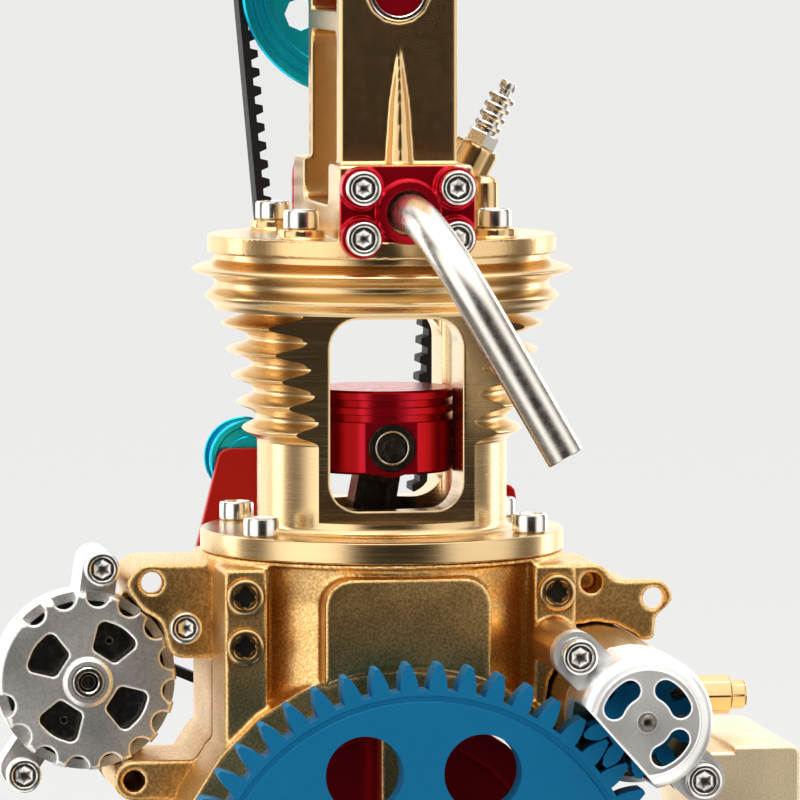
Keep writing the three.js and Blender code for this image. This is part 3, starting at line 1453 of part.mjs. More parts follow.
const ribProfiles = Array.from({ length: PLUG_RIBS }, (_, index) => {
  const bottom = PLUG_HEX_HEIGHT + index * PLUG_RIB_PITCH;
  return [
    [PLUG_CORE_RADIUS, bottom],
    [PLUG_RIB_RADIUS, bottom + PLUG_RIB_PITCH * RIB_START_SHARE],
    [PLUG_RIB_RADIUS, bottom + PLUG_RIB_PITCH * RIB_END_SHARE],
    [PLUG_CORE_RADIUS, bottom + PLUG_RIB_PITCH * RIB_FOOT_SHARE],
  ];
}).flat();
const ribsTop = PLUG_HEX_HEIGHT + PLUG_RIBS * PLUG_RIB_PITCH;
const plugBody = turnedUp([
  [0, -PLUG_SHANK_LENGTH],
  [PLUG_SHANK_RADIUS, -PLUG_SHANK_LENGTH],
  [PLUG_SHANK_RADIUS, 0],
  [PLUG_SHANK_RADIUS, PLUG_HEX_HEIGHT - EDGE_BREAK],
  ...ribProfiles,
  [PLUG_NECK_RADIUS, ribsTop],
  [PLUG_NECK_RADIUS, ribsTop + PLUG_NECK_HEIGHT],
  [PLUG_KNOB_RADIUS, ribsTop + PLUG_NECK_HEIGHT + PLUG_KNOB_CHAMFER],
  [PLUG_KNOB_RADIUS, ribsTop + PLUG_KNOB_HEIGHT - PLUG_KNOB_CHAMFER],
  [PLUG_NECK_RADIUS, ribsTop + PLUG_KNOB_HEIGHT],
  [0, ribsTop + PLUG_KNOB_HEIGHT],
], 0, 0, SCREW_FACETS);
const plugHex = turnedUp(barProfile(PLUG_HEX_RADIUS, 0, PLUG_HEX_HEIGHT), 0, 0, HEX_FACETS);
place('spark_plug', onPlugAxis(join(plugBody, plugHex)), STEEL);

// Crank train

/** Makes a crank web with its main journal, on the front or back side. */
function crankWeb(side, shaftEnd) {
  const inner = WEB_INNER_FACE;
  const outer = WEB_INNER_FACE + WEB_THICKNESS;
  const pocket = outer - WEB_POCKET_DEPTH;
  const rim = WEB_RADIUS - WEB_RIM_WIDTH;
  const disc = revolve([
    [0, inner],
    [WEB_RADIUS, inner],
    [WEB_RADIUS, outer],
    [rim, outer],
    [rim, pocket],
    [JOURNAL_RADIUS * 2, pocket],
    [JOURNAL_RADIUS * 2, outer],
    [JOURNAL_RADIUS, outer],
    [JOURNAL_RADIUS, shaftEnd],
    [0, shaftEnd],
  ], LARGE_FACETS);
  if (side < 0) disc.rotateX(Math.PI);
  return solidFrom(disc.translate(0, 0, CRANK_HEIGHT));
}
/** Makes the boss and the pressed end of the crankpin on the outer face of a web. */
function pinBoss(side) {
  const near = side * (WEB_INNER_FACE + WEB_THICKNESS / 2);
  const far = side * (WEB_INNER_FACE + WEB_THICKNESS);
  return turnedBack(
    barProfile(CRANKPIN_BOSS_RADIUS, Math.min(near, far), Math.max(near, far)),
    -CRANK_THROW,
    CRANK_HEIGHT,
  );
}
const gearSeatEnd = GEAR_FACE + GEAR_HUB_REACH + EDGE_BREAK;
const bandBack = BAND_PLANE + BAND_WIDTH / 2 + FLANGE_THICKNESS / 2;
place('crank_web_front', join(crankWeb(-1, gearSeatEnd), pinBoss(-1)), RED);
place('crank_web_back', join(crankWeb(1, bandBack + EDGE_BREAK), pinBoss(1)), RED);

const pinReach = WEB_INNER_FACE - RUNNING_GAP;
place('crank_pin', turnedBack(
  barProfile(CRANKPIN_RADIUS, -pinReach, pinReach),
  -CRANK_THROW,
  CRANK_HEIGHT,
), STEEL);

/** Makes the connecting rod upright with its small end at the origin. */
function rodUpright() {
  const eyes = join(
    turnedBack(barProfile(ROD_SMALL_END_RADIUS, -ROD_HALF_DEPTH, ROD_HALF_DEPTH), 0, 0),
    turnedBack(barProfile(ROD_BIG_END_RADIUS, -ROD_HALF_DEPTH, ROD_HALF_DEPTH), 0, -ROD_LENGTH),
  );
  const shank = facing(outline([
    [-ROD_HALF_WIDTH, 0],
    [ROD_HALF_WIDTH, 0],
    [ROD_HALF_WIDTH + EDGE_BREAK * 2, -ROD_LENGTH],
    [-ROD_HALF_WIDTH - EDGE_BREAK * 2, -ROD_LENGTH],
  ]), -ROD_HALF_DEPTH, ROD_HALF_DEPTH);
  const pocketTop = -ROD_SMALL_END_RADIUS - ROD_FLANGE;
  const pocketBottom = -ROD_LENGTH + ROD_BIG_END_RADIUS + ROD_FLANGE;
  const pocketHalf = ROD_HALF_WIDTH - ROD_FLANGE;
  const pockets = [-1, 1].map((side) => facing(
    rectangle(-pocketHalf, pocketBottom, pocketHalf, pocketTop, pocketHalf),
    side < 0 ? -ROD_HALF_DEPTH - EDGE_BREAK : ROD_HALF_DEPTH - ROD_POCKET_DEPTH,
    side < 0 ? -ROD_HALF_DEPTH + ROD_POCKET_DEPTH : ROD_HALF_DEPTH + EDGE_BREAK,
    0,
    3,
  ));
  const eyeHoles = [
    turnedBack(barProfile(WRIST_PIN_RADIUS + SEAT_GAP * 2, -WEB_INNER_FACE, WEB_INNER_FACE), 0, 0),
    turnedBack(barProfile(CRANKPIN_RADIUS + SEAT_GAP, -WEB_INNER_FACE, WEB_INNER_FACE), 0, -ROD_LENGTH),
  ];
  return cut(join(eyes, shank), pockets, eyeHoles);
}
const tiltDegrees = THREE.MathUtils.radToDeg(rodTilt);
place('connecting_rod', rodUpright().rotate([0, tiltDegrees, 0]).translate([0, 0, pinHeight]), STEEL);

// Piston

const grooveProfiles = [0, 1].flatMap((index) => {
  const top = crownHeight - FIRST_RING_DROP - index * RING_GROOVE_PITCH;
  return [
    [PISTON_RADIUS, top],
    [PISTON_RADIUS - RING_GROOVE_DEPTH, top],
    [PISTON_RADIUS - RING_GROOVE_DEPTH, top - RING_GROOVE_HEIGHT],
    [PISTON_RADIUS, top - RING_GROOVE_HEIGHT],
  ];
});
const pistonShell = turnedUp([
  [0, crownHeight - CROWN_THICKNESS],
  [0, crownHeight],
  [PISTON_RADIUS - EDGE_BREAK, crownHeight],
  [PISTON_RADIUS, crownHeight - EDGE_BREAK],
  ...grooveProfiles,
  [PISTON_RADIUS, skirtHeight],
  [PISTON_RADIUS - PISTON_WALL, skirtHeight],
  [PISTON_RADIUS - PISTON_WALL, crownHeight - CROWN_THICKNESS],
], 0, 0, ROUND_FACETS);
const pinBossInner = ROD_HALF_DEPTH + RUNNING_GAP * 2;
const pinBosses = [-1, 1].map((side) => turnedBack(barProfile(
  PIN_RECESS_RADIUS + PIN_RECESS_DEPTH,
  side < 0 ? -PIN_BOSS_OUTER : pinBossInner,
  side < 0 ? -pinBossInner : PIN_BOSS_OUTER,
), 0, pinHeight).intersect(turnedUp(
  barProfile(PISTON_RADIUS - EDGE_BREAK, skirtHeight, crownHeight),
  0,
  0,
  ROUND_FACETS,
)));
const pinRecessFace = PISTON_RADIUS - PIN_RECESS_DEPTH;
const pinRecesses = [-1, 1].map((side) => turnedBack(barProfile(
  PIN_RECESS_RADIUS,
  side < 0 ? -CUT_REACH : pinRecessFace,
  side < 0 ? -pinRecessFace : CUT_REACH,
), 0, pinHeight));
const wristPinBore = turnedBack(
  barProfile(WRIST_PIN_RADIUS + SEAT_GAP, -CUT_REACH, CUT_REACH),
  0,
  pinHeight,
);
place('piston', cut(join(pistonShell, pinBosses), pinRecesses, wristPinBore), RED);

const wristPinEnd = PISTON_RADIUS - PIN_RECESS_DEPTH / 2;
place('wrist_pin', turnedBack([
  [0, -wristPinEnd],
  [WRIST_PIN_RADIUS - EDGE_BREAK, -wristPinEnd],
  [WRIST_PIN_RADIUS, -wristPinEnd + EDGE_BREAK],
  [WRIST_PIN_RADIUS, wristPinEnd - EDGE_BREAK],
  [WRIST_PIN_RADIUS - EDGE_BREAK, wristPinEnd],
  [0, wristPinEnd],
], 0, pinHeight), DARK_STEEL);

// Gears

/** Gives the involute of an angle. */
function involute(angle) {
  return Math.tan(angle) - angle;
}

/** Outlines a spur gear with involute flanks, one tooth centred on the start angle. */
function gearOutline(teeth, shift, tipRadius, startAngle, x, z) {
  const pressure = radians(PRESSURE_ANGLE);
  const pitchRadius = GEAR_MODULE * teeth / 2;
  const baseRadius = pitchRadius * Math.cos(pressure);
  const rootRadius = pitchRadius + GEAR_MODULE * (1 + shift) - TOOTH_DEPTH;
  const thickness = GEAR_MODULE * (Math.PI / 2 + 2 * shift * Math.tan(pressure)) - BACKLASH / 2;
  const halfTooth = thickness / (2 * pitchRadius);
  const flankStart = Math.max(baseRadius, rootRadius);
    const flank = [];
  for (let i = 0; i <= FLANK_STEPS; i += 1) {
    const radius = flankStart + (tipRadius - flankStart) * i / FLANK_STEPS;
    const turn = halfTooth + involute(pressure) - involute(Math.acos(Math.min(1, baseRadius / radius)));
    flank.push([radius, turn]);
  }
  const rootTurn = Math.min(flank[0][1], Math.PI / teeth * ROOT_TURN_SHARE);
  const points = [];
  for (let tooth = 0; tooth < teeth; tooth += 1) {
    const middle = startAngle + tooth * 2 * Math.PI / teeth;
    points.push(polar(rootRadius, middle - rootTurn, x, z));
    for (const [radius, turn] of flank) points.push(polar(radius, middle - turn, x, z));
    for (const [radius, turn] of flank.slice().reverse()) points.push(polar(radius, middle + turn, x, z));
    points.push(polar(rootRadius, middle + rootTurn, x, z));
  }
  return new THREE.Shape(points.map(([px, pz]) => new THREE.Vector2(px, pz)));
}

const gearToothTurn = 2 * Math.PI / GEAR_TEETH;
const gearPhase = Math.PI / 2 + gearToothTurn / 2;
const pinionTurn = radians(PINION_DIRECTION);
const gearLead = (((gearPhase - pinionTurn) % gearToothTurn) + gearToothTurn) % gearToothTurn;
const pinionGapAngle = pinionTurn + Math.PI - gearLead * GEAR_TEETH / PINION_TEETH;
const pinionPhase = pinionGapAngle + Math.PI / PINION_TEETH;

const gearBlank = facing(
  gearOutline(GEAR_TEETH, -PROFILE_SHIFT, GEAR_TIP_RADIUS, gearPhase, 0, CRANK_HEIGHT),
  -GEAR_FACE,
  -GEAR_FACE + GEAR_WIDTH,
);
const gearHub = turnedBack([
  [0, -GEAR_FACE - GEAR_HUB_REACH],
  [GEAR_HUB_RADIUS, -GEAR_FACE - GEAR_HUB_REACH],
  [GEAR_HUB_RADIUS, -SPIDER_HUB_REACH - RUNNING_GAP],
  [0, -SPIDER_HUB_REACH - RUNNING_GAP],
], 0, CRANK_HEIGHT);
const gearHoles = around(GEAR_HOLES, (angle) => turnedBack(
  barProfile(GEAR_HOLE_RADIUS, -GEAR_FACE - EDGE_BREAK, -GEAR_FACE + GEAR_WIDTH + EDGE_BREAK),
  ...polar(GEAR_HOLE_CIRCLE, angle),
  ROUND_FACETS / 2,
), Math.PI / 2 + Math.PI / GEAR_HOLES);
const gearBore = turnedBack(
  barProfile(JOURNAL_RADIUS + SEAT_GAP, -CUT_REACH, 0),
  0,
  CRANK_HEIGHT,
  MIDDLE_FACETS,
);
place('flywheel_gear', cut(join(gearBlank, gearHub), gearHoles, gearBore), BLUE);

const coverBack = -STARTER_COVER_FACE + STARTER_COVER_DEPTH;
const motorFront = coverBack + SEAT_GAP;
place('starter_pinion', join(
  facing(
    gearOutline(PINION_TEETH, PROFILE_SHIFT, PINION_TIP_RADIUS, pinionPhase, pinionX, pinionHeight),
    -GEAR_FACE,
    -GEAR_FACE + GEAR_WIDTH,
  ),
  turnedBack(
    barProfile(STARTER_SHAFT_RADIUS, -STARTER_COVER_FACE, motorFront + STARTER_SHOULDER * 2),
    pinionX,
    pinionHeight,
    SCREW_FACETS,
  ),
), BLUE);

// Starter

const cupOuter = STARTER_COVER_RADIUS;
const cupFace = -STARTER_COVER_FACE;
const shoulderProfile = Array.from({ length: SHOULDER_STEPS + 1 }, (_, index) => {
  const turn = Math.PI / 2 * index / SHOULDER_STEPS;
  return [
    cupOuter - STARTER_SHOULDER + STARTER_SHOULDER * Math.sin(turn),
    cupFace + STARTER_SHOULDER - STARTER_SHOULDER * Math.cos(turn),
  ];
});
const cup = turnedBack(
  [[0, cupFace], ...shoulderProfile, [cupOuter, coverBack], [0, coverBack]],
  pinionX,
  pinionHeight,
  ROUND_FACETS,
);
const cupHollow = turnedBack([
  [0, cupFace + STARTER_COVER_WALL],
  [cupOuter - STARTER_SHOULDER, cupFace + STARTER_COVER_WALL],
  [cupOuter - STARTER_COVER_WALL, cupFace + STARTER_SHOULDER],
  [cupOuter - STARTER_COVER_WALL, coverBack + EDGE_BREAK],
  [0, coverBack + EDGE_BREAK],
], pinionX, pinionHeight);
const starterLugs = starterLugPlaces.map((point) => arm(
  [pinionX, pinionHeight],
  point,
  STARTER_LUG_RADIUS,
  -STARTER_LUG_FACE,
  starterLugBack - SEAT_GAP,
));
const towardGear = new THREE.Vector2(-Math.cos(pinionTurn), -Math.sin(pinionTurn));
const alongCut = towardGear.clone().rotateAround(new THREE.Vector2(), Math.PI / 2);
/** Gives a point from the starter axis, measured toward the gear and along the cut. */
function fromStarter(toward, along) {
  return [
    pinionX + towardGear.x * toward + alongCut.x * along,
    pinionHeight + towardGear.y * toward + alongCut.y * along,
  ];
}
const gearSide = facing(outline([
  fromStarter(STARTER_CUT, -gearCentres),
  fromStarter(gearCentres, -gearCentres),
  fromStarter(gearCentres, gearCentres),
  fromStarter(STARTER_CUT, gearCentres),
]), cupFace - EDGE_BREAK, -GEAR_FACE + GEAR_WIDTH + RUNNING_GAP * 2);
/** Makes one bean-shaped window of the starter cover. */
function beanWindow(degrees) {
  const spread = radians(STARTER_WINDOW_SPREAD);
  const middle = radians(degrees);
  const ends = [-1, 1].map((side) => polar(
    STARTER_WINDOW_RADIUS,
    middle + side * spread,
    pinionX,
    pinionHeight,
  ));
  return arm(ends[0], ends[1], STARTER_WINDOW_HALF_WIDTH, cupFace - EDGE_BREAK, cupFace + STARTER_SHOULDER);
}
const coverShaftHole = turnedBack(
  barProfile(STARTER_SHAFT_RADIUS + SEAT_GAP, cupFace - EDGE_BREAK, cupFace + STARTER_SHOULDER),
  pinionX,
  pinionHeight,
  SCREW_FACETS,
);
place('starter_cover', cut(
  join(cup, starterLugs),
  cupHollow,
  gearSide,
  STARTER_WINDOWS.map(beanWindow),
  coverShaftHole,
  starterScrewHoles,
), STEEL);

const starterMotor = turnedBack([
  [0, motorFront],
  [STARTER_MOTOR_RADIUS - EDGE_BREAK, motorFront],
  [STARTER_MOTOR_RADIUS, motorFront + EDGE_BREAK],
  [STARTER_MOTOR_RADIUS, STARTER_MOTOR_BACK - EDGE_BREAK],
  [STARTER_MOTOR_RADIUS - EDGE_BREAK, STARTER_MOTOR_BACK],
  [MOTOR_END_RADIUS, STARTER_MOTOR_BACK],
  [MOTOR_END_RADIUS, STARTER_MOTOR_BACK + MOTOR_END_REACH],
  [0, STARTER_MOTOR_BACK + MOTOR_END_REACH],
], pinionX, pinionHeight, ROUND_FACETS);
const motorShaftBore = turnedBack(
  barProfile(STARTER_SHAFT_RADIUS + SEAT_GAP * 2, motorFront - EDGE_BREAK, motorFront + STARTER_BORE_DEPTH),
  pinionX,
  pinionHeight,
  SCREW_FACETS,
);
const coverClearance = turnedBack(
  barProfile(STARTER_COVER_RADIUS + RUNNING_GAP, -CUT_REACH, motorFront),
  pinionX,
  pinionHeight,
);
place('starter_motor', cut(
  join(
    starterMotor,
    cut(lugBosses[1].intersect(slab(-CUT_REACH, -COLUMN_HALF_DEPTH)), coverClearance),
    arm(
      [pinionX, pinionHeight],
      starterLugPlaces[1],
      STARTER_LUG_RADIUS,
      motorFront,
      -COLUMN_HALF_DEPTH,
    ),
  ),
  motorShaftBore,
  starterScrewHoles,
), GOLD);

['starter_screw_upper', 'starter_screw_lower'].forEach((name, index) => {
  const [x, z] = starterLugPlaces[index];
  place(name, screwFront(capScrew(), x, -STARTER_LUG_FACE, z), STEEL);
});

const studRoot = pinionX + Math.sqrt(STARTER_MOTOR_RADIUS ** 2 - STUD_RADIUS ** 2) + RUNNING_GAP * 2;
const stud = revolve([
  [0, studRoot],
  [STUD_RADIUS, studRoot],
  [STUD_RADIUS, STUD_STEP],
  [STUD_TIP_RADIUS, STUD_STEP],
  [STUD_TIP_RADIUS, STUD_END - EDGE_BREAK],
  [STUD_TIP_RADIUS - EDGE_BREAK, STUD_END],
  [0, STUD_END],
], SCREW_FACETS).rotateZ(-Math.PI / 2).translate(0, CASE_SPLIT, pinionHeight - STUD_DROP);
place('starter_stud', stud, GOLD);

// Generator

const coverRearFace = GENERATOR_FACE + GENERATOR_COVER_DEPTH;
const generatorCup = turnedBack([
  [0, GENERATOR_FACE - GENERATOR_BOSS_HEIGHT],
  [GENERATOR_BOSS_RADIUS, GENERATOR_FACE - GENERATOR_BOSS_HEIGHT],
  [GENERATOR_BOSS_RADIUS, GENERATOR_FACE],
  [GENERATOR_RADIUS - GENERATOR_EDGE, GENERATOR_FACE],
  [GENERATOR_RADIUS, GENERATOR_FACE + GENERATOR_EDGE],
  [GENERATOR_RADIUS, coverRearFace],
  [0, coverRearFace],
], ...generatorAxis, LARGE_FACETS);
const hollowRadius = GENERATOR_RADIUS - GENERATOR_WALL;
const generatorHollow = turnedBack(
  barProfile(hollowRadius, GENERATOR_FACE + GENERATOR_WALL, coverRearFace + EDGE_BREAK),
  ...generatorAxis,
  LARGE_FACETS,
);
const generatorLugs = lugPlaces.map((point, index) => arm(
  polar(hollowRadius, radians(GENERATOR_LUG_TURNS[index]), ...generatorAxis),
  point,
  GENERATOR_LUG_RADIUS,
  GENERATOR_FACE + GENERATOR_LUG_INSET,
  coverRearFace,
));
const generatorScrewHoles = lugPlaces.map(([x, z]) => holeBack(
  x,
  z,
  GENERATOR_FACE,
  armBack + EDGE_BREAK,
));
const scallops = around(SCALLOPS, (angle, index) => (SCALLOP_GAPS.includes(index) ? [] : turnedBack(
  barProfile(SCALLOP_RADIUS, GENERATOR_FACE - EDGE_BREAK, GENERATOR_FACE + GENERATOR_RIM),
  ...polar(GENERATOR_RADIUS - GENERATOR_EDGE / 2, angle, ...generatorAxis),
  HEX_FACETS,
)), radians(SCALLOP_PHASE)).flat();
/** Makes one rounded window of the generator's face. */
function ventWindow(middle) {
  const inner = radians(VENT_INNER_SPREAD);
  const outer = radians(VENT_OUTER_SPREAD);
  const points = [
    [...polar(VENT_INNER, middle - inner, ...generatorAxis), VENT_CORNER],
    [...polar(VENT_OUTER, middle - outer, ...generatorAxis), VENT_CORNER],
    [...polar(VENT_OUTER / Math.cos(outer / 2), middle, ...generatorAxis), VENT_OUTER / 3],
    [...polar(VENT_OUTER, middle + outer, ...generatorAxis), VENT_CORNER],
    [...polar(VENT_INNER, middle + inner, ...generatorAxis), VENT_CORNER],
  ];
  return facing(outline(points), GENERATOR_FACE - EDGE_BREAK, GENERATOR_FACE + GENERATOR_WALL + EDGE_BREAK);
}
const bearingSeat = turnedBack(
  barProfile(BEARING_RADIUS, GENERATOR_FACE - 2 * GENERATOR_BOSS_HEIGHT, GENERATOR_FACE),
  ...generatorAxis,
);
const rotorShaftHole = turnedBack(
  barProfile(ROTOR_SHAFT_RADIUS + RUNNING_GAP, -CUT_REACH, CUT_REACH),
  ...generatorAxis,
  SCREW_FACETS,
);
place('generator_cover', cut(
  join(generatorCup, generatorLugs),
  generatorHollow,
  scallops,
  around(VENTS, ventWindow, radians(VENT_PHASE)),
  bearingSeat,
  rotorShaftHole,
  generatorScrewHoles,
), STEEL);

const generatorDrum = turnedBack([
  [0, coverRearFace - GENERATOR_WALL],
  [hollowRadius - SEAT_GAP, coverRearFace - GENERATOR_WALL],
  [hollowRadius - SEAT_GAP, coverRearFace],
  [GENERATOR_BODY_RADIUS, coverRearFace],
  [GENERATOR_BODY_RADIUS, GENERATOR_BACK - GENERATOR_WALL],
  [GENERATOR_BODY_RADIUS - GENERATOR_WALL, GENERATOR_BACK],
  [2 * BEARING_RADIUS, GENERATOR_BACK],
  [2 * BEARING_RADIUS, GENERATOR_BACK + GENERATOR_WALL],
  [0, GENERATOR_BACK + GENERATOR_WALL],
], ...generatorAxis, ROUND_FACETS);
const bodyLugs = lugPlaces.map((point) => arm(
  generatorAxis,
  point,
  GENERATOR_LUG_RADIUS,
  armFront,
  armBack,
));
const lowerArm = arm(
  [GENERATOR_X, GENERATOR_HEIGHT - GENERATOR_BODY_RADIUS / 2],
  [LOWER_EAR_X, LOWER_EAR_HEIGHT],
  LOWER_EAR_RADIUS,
  armBack + SEAT_GAP,
  armBack + ARM_THICKNESS,
);
place('generator_body', cut(
  join(generatorDrum, bodyLugs, lowerArm),
  rotorShaftHole,
  generatorScrewHoles,
), STEEL);

const rotorFront = GENERATOR_FACE + GENERATOR_WALL + RUNNING_GAP * 2;
const rotorBack = rotorFront + ROTOR_THICKNESS;
const bandFront = BAND_PLANE - BAND_WIDTH / 2 - RUNNING_GAP;
const bandRear = BAND_PLANE + BAND_WIDTH / 2 + RUNNING_GAP;
const rotorFlange = ROTOR_BAND_RADIUS + BAND_THICKNESS;
const rotorShape = turnedBack([
  [0, GENERATOR_FACE - EDGE_BREAK],
  [ROTOR_SHAFT_RADIUS, GENERATOR_FACE - EDGE_BREAK],
  [ROTOR_SHAFT_RADIUS, rotorFront],
  [ROTOR_RADIUS, rotorFront],
  [ROTOR_RADIUS, rotorBack],
  [ROTOR_SHAFT_RADIUS, rotorBack],
  [ROTOR_SHAFT_RADIUS, bandFront - EDGE_BREAK],
  [rotorFlange, bandFront - EDGE_BREAK],
  [rotorFlange, bandFront],
  [ROTOR_BAND_RADIUS, bandFront],
  [ROTOR_BAND_RADIUS, bandRear],
  [rotorFlange, bandRear],
  [rotorFlange, bandRear + EDGE_BREAK],
  [0, bandRear + EDGE_BREAK],
], GENERATOR_X, GENERATOR_HEIGHT, MIDDLE_FACETS);
const rotorHoles = around(ROTOR_HOLES, (angle) => turnedBack(
  barProfile(ROTOR_HOLE_RADIUS, rotorFront - EDGE_BREAK, rotorBack + EDGE_BREAK),
  ...polar(ROTOR_HOLE_CIRCLE, angle, ...generatorAxis),
  HEX_FACETS,
));
place('generator_rotor', cut(rotorShape, rotorHoles), DARK_STEEL);

const generatorScrewSeat = GENERATOR_FACE + GENERATOR_LUG_INSET;
const generatorScrewLength = armBack - generatorScrewSeat;
['generator_screw_upper', 'generator_screw_lower'].forEach((name, index) => {
  const [x, z] = lugPlaces[index];
  place(name, screwFront(capScrew(generatorScrewLength), x, generatorScrewSeat, z), STEEL);
});

// Timing drive

/** Finds where a straight run leaves one wheel and meets the next, with each wheel's turning side. */
function tangentRun(from, to) {
  const span = new THREE.Vector2(to.x - from.x, to.z - from.z);
  const distance = span.length();
  const heading = span.angle();
  const swing = from.side === to.side
    ? Math.asin((from.radius - to.radius) / distance)
    : Math.asin((from.radius + to.radius) / distance);
  const runHeading = heading + from.side * swing;
  const fromTurn = runHeading - from.side * Math.PI / 2;
  const toTurn = runHeading - to.side * Math.PI / 2;
  return {
    start: polar(from.radius, fromTurn, from.x, from.z),
    end: polar(to.radius, toTurn, to.x, to.z),
    fromTurn,
    toTurn,
  };
}

/** Lists the straight and curved stretches of a belt that runs round wheels in order. */
function beltStretches(wheels) {
  const runs = wheels.map((wheel, index) => tangentRun(wheel, wheels[(index + 1) % wheels.length]));
  return wheels.flatMap((wheel, index) => {
    const arriving = runs[(index + wheels.length - 1) % wheels.length];
    const leaving = runs[index];
    const full = 2 * Math.PI;
    const swept = ((((leaving.fromTurn - arriving.toTurn) * wheel.side) % full) + full) % full;
    const start = new THREE.Vector2(...leaving.start);
    const end = new THREE.Vector2(...leaving.end);
    return [
      { wheel, from: arriving.toTurn, swept, length: swept * wheel.radius },
      { start, end, length: start.distanceTo(end) },
    ];
  });
}

/** Adds up the length of a belt's stretches. */
function stretchLength(stretches) {
  return stretches.reduce((sum, stretch) => sum + stretch.length, 0);
}

/** Gives the point and the outward direction at a distance along a belt. */
function beltPoint(stretches, distance) {
  const total = stretchLength(stretches);
  let left = ((distance % total) + total) % total;
  for (const stretch of stretches) {
    if (left <= stretch.length + Number.EPSILON * total) {
      if (stretch.wheel) {
        const { wheel } = stretch;
        const turn = stretch.from + wheel.side * left / wheel.radius;
        const point = new THREE.Vector2(...polar(wheel.radius, turn, wheel.x, wheel.z));
        const out = new THREE.Vector2(Math.cos(turn), Math.sin(turn)).multiplyScalar(wheel.side);
        return { point, out };
      }
      const along = stretch.end.clone().sub(stretch.start).normalize();
      const point = stretch.start.clone().addScaledVector(along, left);
      return { point, out: new THREE.Vector2(along.y, -along.x) };
    }
    left -= stretch.length;
  }
  return beltPoint(stretches, 0);
}

const tensionerPitchRadius = TENSIONER_RADIUS + SEAT_GAP + PITCH_TO_BACK;
/** Lists the three wheels of the timing belt for a place of the tensioner. */
function timingWheels(tensionerX) {
  return [
    { x: 0, z: CAM_HEIGHT, radius: camPitchRadius, side: 1 },
    { x: tensionerX, z: TENSIONER_HEIGHT, radius: tensionerPitchRadius, side: -1 },
    { x: 0, z: CRANK_HEIGHT, radius: crankPitchRadius, side: 1 },
  ];
}

/** Finds the tensioner's place that takes up the belt's whole number of teeth. */
function findTensioner() {
  let slack = -camPitchRadius - tensionerPitchRadius;
  let tight = 0;
  for (let i = 0; i < 50; i += 1) {
    const middle = (slack + tight) / 2;
    const length = stretchLength(beltStretches(timingWheels(middle)));
    if (length > BELT_TEETH * BELT_PITCH) tight = middle;
    else slack = middle;
  }
  return (slack + tight) / 2;
}
const tensionerX = findTensioner();
const timingStretches = beltStretches(timingWheels(tensionerX));

/** Outlines the toothed side of the timing belt. */
function toothedSide() {
  const points = [];
  const tip = PITCH_TO_LAND + BELT_TOOTH_HEIGHT;
  const profile = [
    [-BELT_TOOTH_ROOT_HALF, PITCH_TO_LAND],
    [-BELT_TOOTH_TIP_HALF, tip],
    [BELT_TOOTH_TIP_HALF, tip],
    [BELT_TOOTH_ROOT_HALF, PITCH_TO_LAND],
  ];
  for (let tooth = 0; tooth < BELT_TEETH; tooth += 1) {
    const { point, out } = beltPoint(timingStretches, tooth * BELT_PITCH);
    const along = new THREE.Vector2(-out.y, out.x);
    for (const [offset, depth] of profile) {
      points.push(point.clone().addScaledVector(along, offset).addScaledVector(out, -depth));
    }
  }
  return points;
}

/** Outlines the smooth side of a belt at a distance outside its path. */
function smoothSide(stretches, offset) {
  let travelled = 0;
  return stretches.flatMap((stretch) => {
    const start = travelled;
    travelled += stretch.length;
    if (!stretch.wheel) return [];
    const steps = Math.max(2, Math.ceil(stretch.swept / BELT_ARC_STEP));
    return Array.from({ length: steps + 1 }, (_, index) => {
      const { point, out } = beltPoint(stretches, start + stretch.length * index / steps);
      return point.addScaledVector(out, offset);
    });
  });
}

const timingShape = new THREE.Shape(smoothSide(timingStretches, PITCH_TO_BACK));
timingShape.holes.push(new THREE.Path(toothedSide()));
place('timing_belt', facing(
  timingShape,
  BELT_PLANE - BELT_WIDTH / 2,
  BELT_PLANE + BELT_WIDTH / 2,
), RUBBER);

/** Outlines a timing pulley whose grooves meet the belt, from the angle of one groove. */
function pulleyOutline(teeth, grooveAngle, x, z) {
  const pitchRadius = teeth * BELT_PITCH / (2 * Math.PI);
  const land = pitchRadius - PITCH_TO_LAND - SEAT_GAP;
  const floor = land - BELT_TOOTH_HEIGHT - SEAT_GAP;
  const mouthTurn = (BELT_TOOTH_ROOT_HALF + GROOVE_MOUTH_GAP) / land;
  const floorTurn = (BELT_TOOTH_TIP_HALF + GROOVE_FLOOR_GAP) / floor;
  const points = around(teeth, (angle) => [
    polar(land, angle - mouthTurn, x, z),
    polar(floor, angle - floorTurn, x, z),
    polar(floor, angle + floorTurn, x, z),
    polar(land, angle + mouthTurn, x, z),
  ], grooveAngle).flat();
  return new THREE.Shape(points.map(([px, pz]) => new THREE.Vector2(px, pz)));
}

/** Finds the angle, on one wheel, of a belt tooth that lies in it. */
function grooveAngleOn(wheelIndex) {
  const before = timingStretches.slice(0, wheelIndex * 2);
  const travelled = stretchLength(before);
  const { wheel, from } = timingStretches[wheelIndex * 2];
  const firstTooth = Math.ceil(travelled / BELT_PITCH) * BELT_PITCH;
  return from + wheel.side * (firstTooth - travelled) / wheel.radius;
}

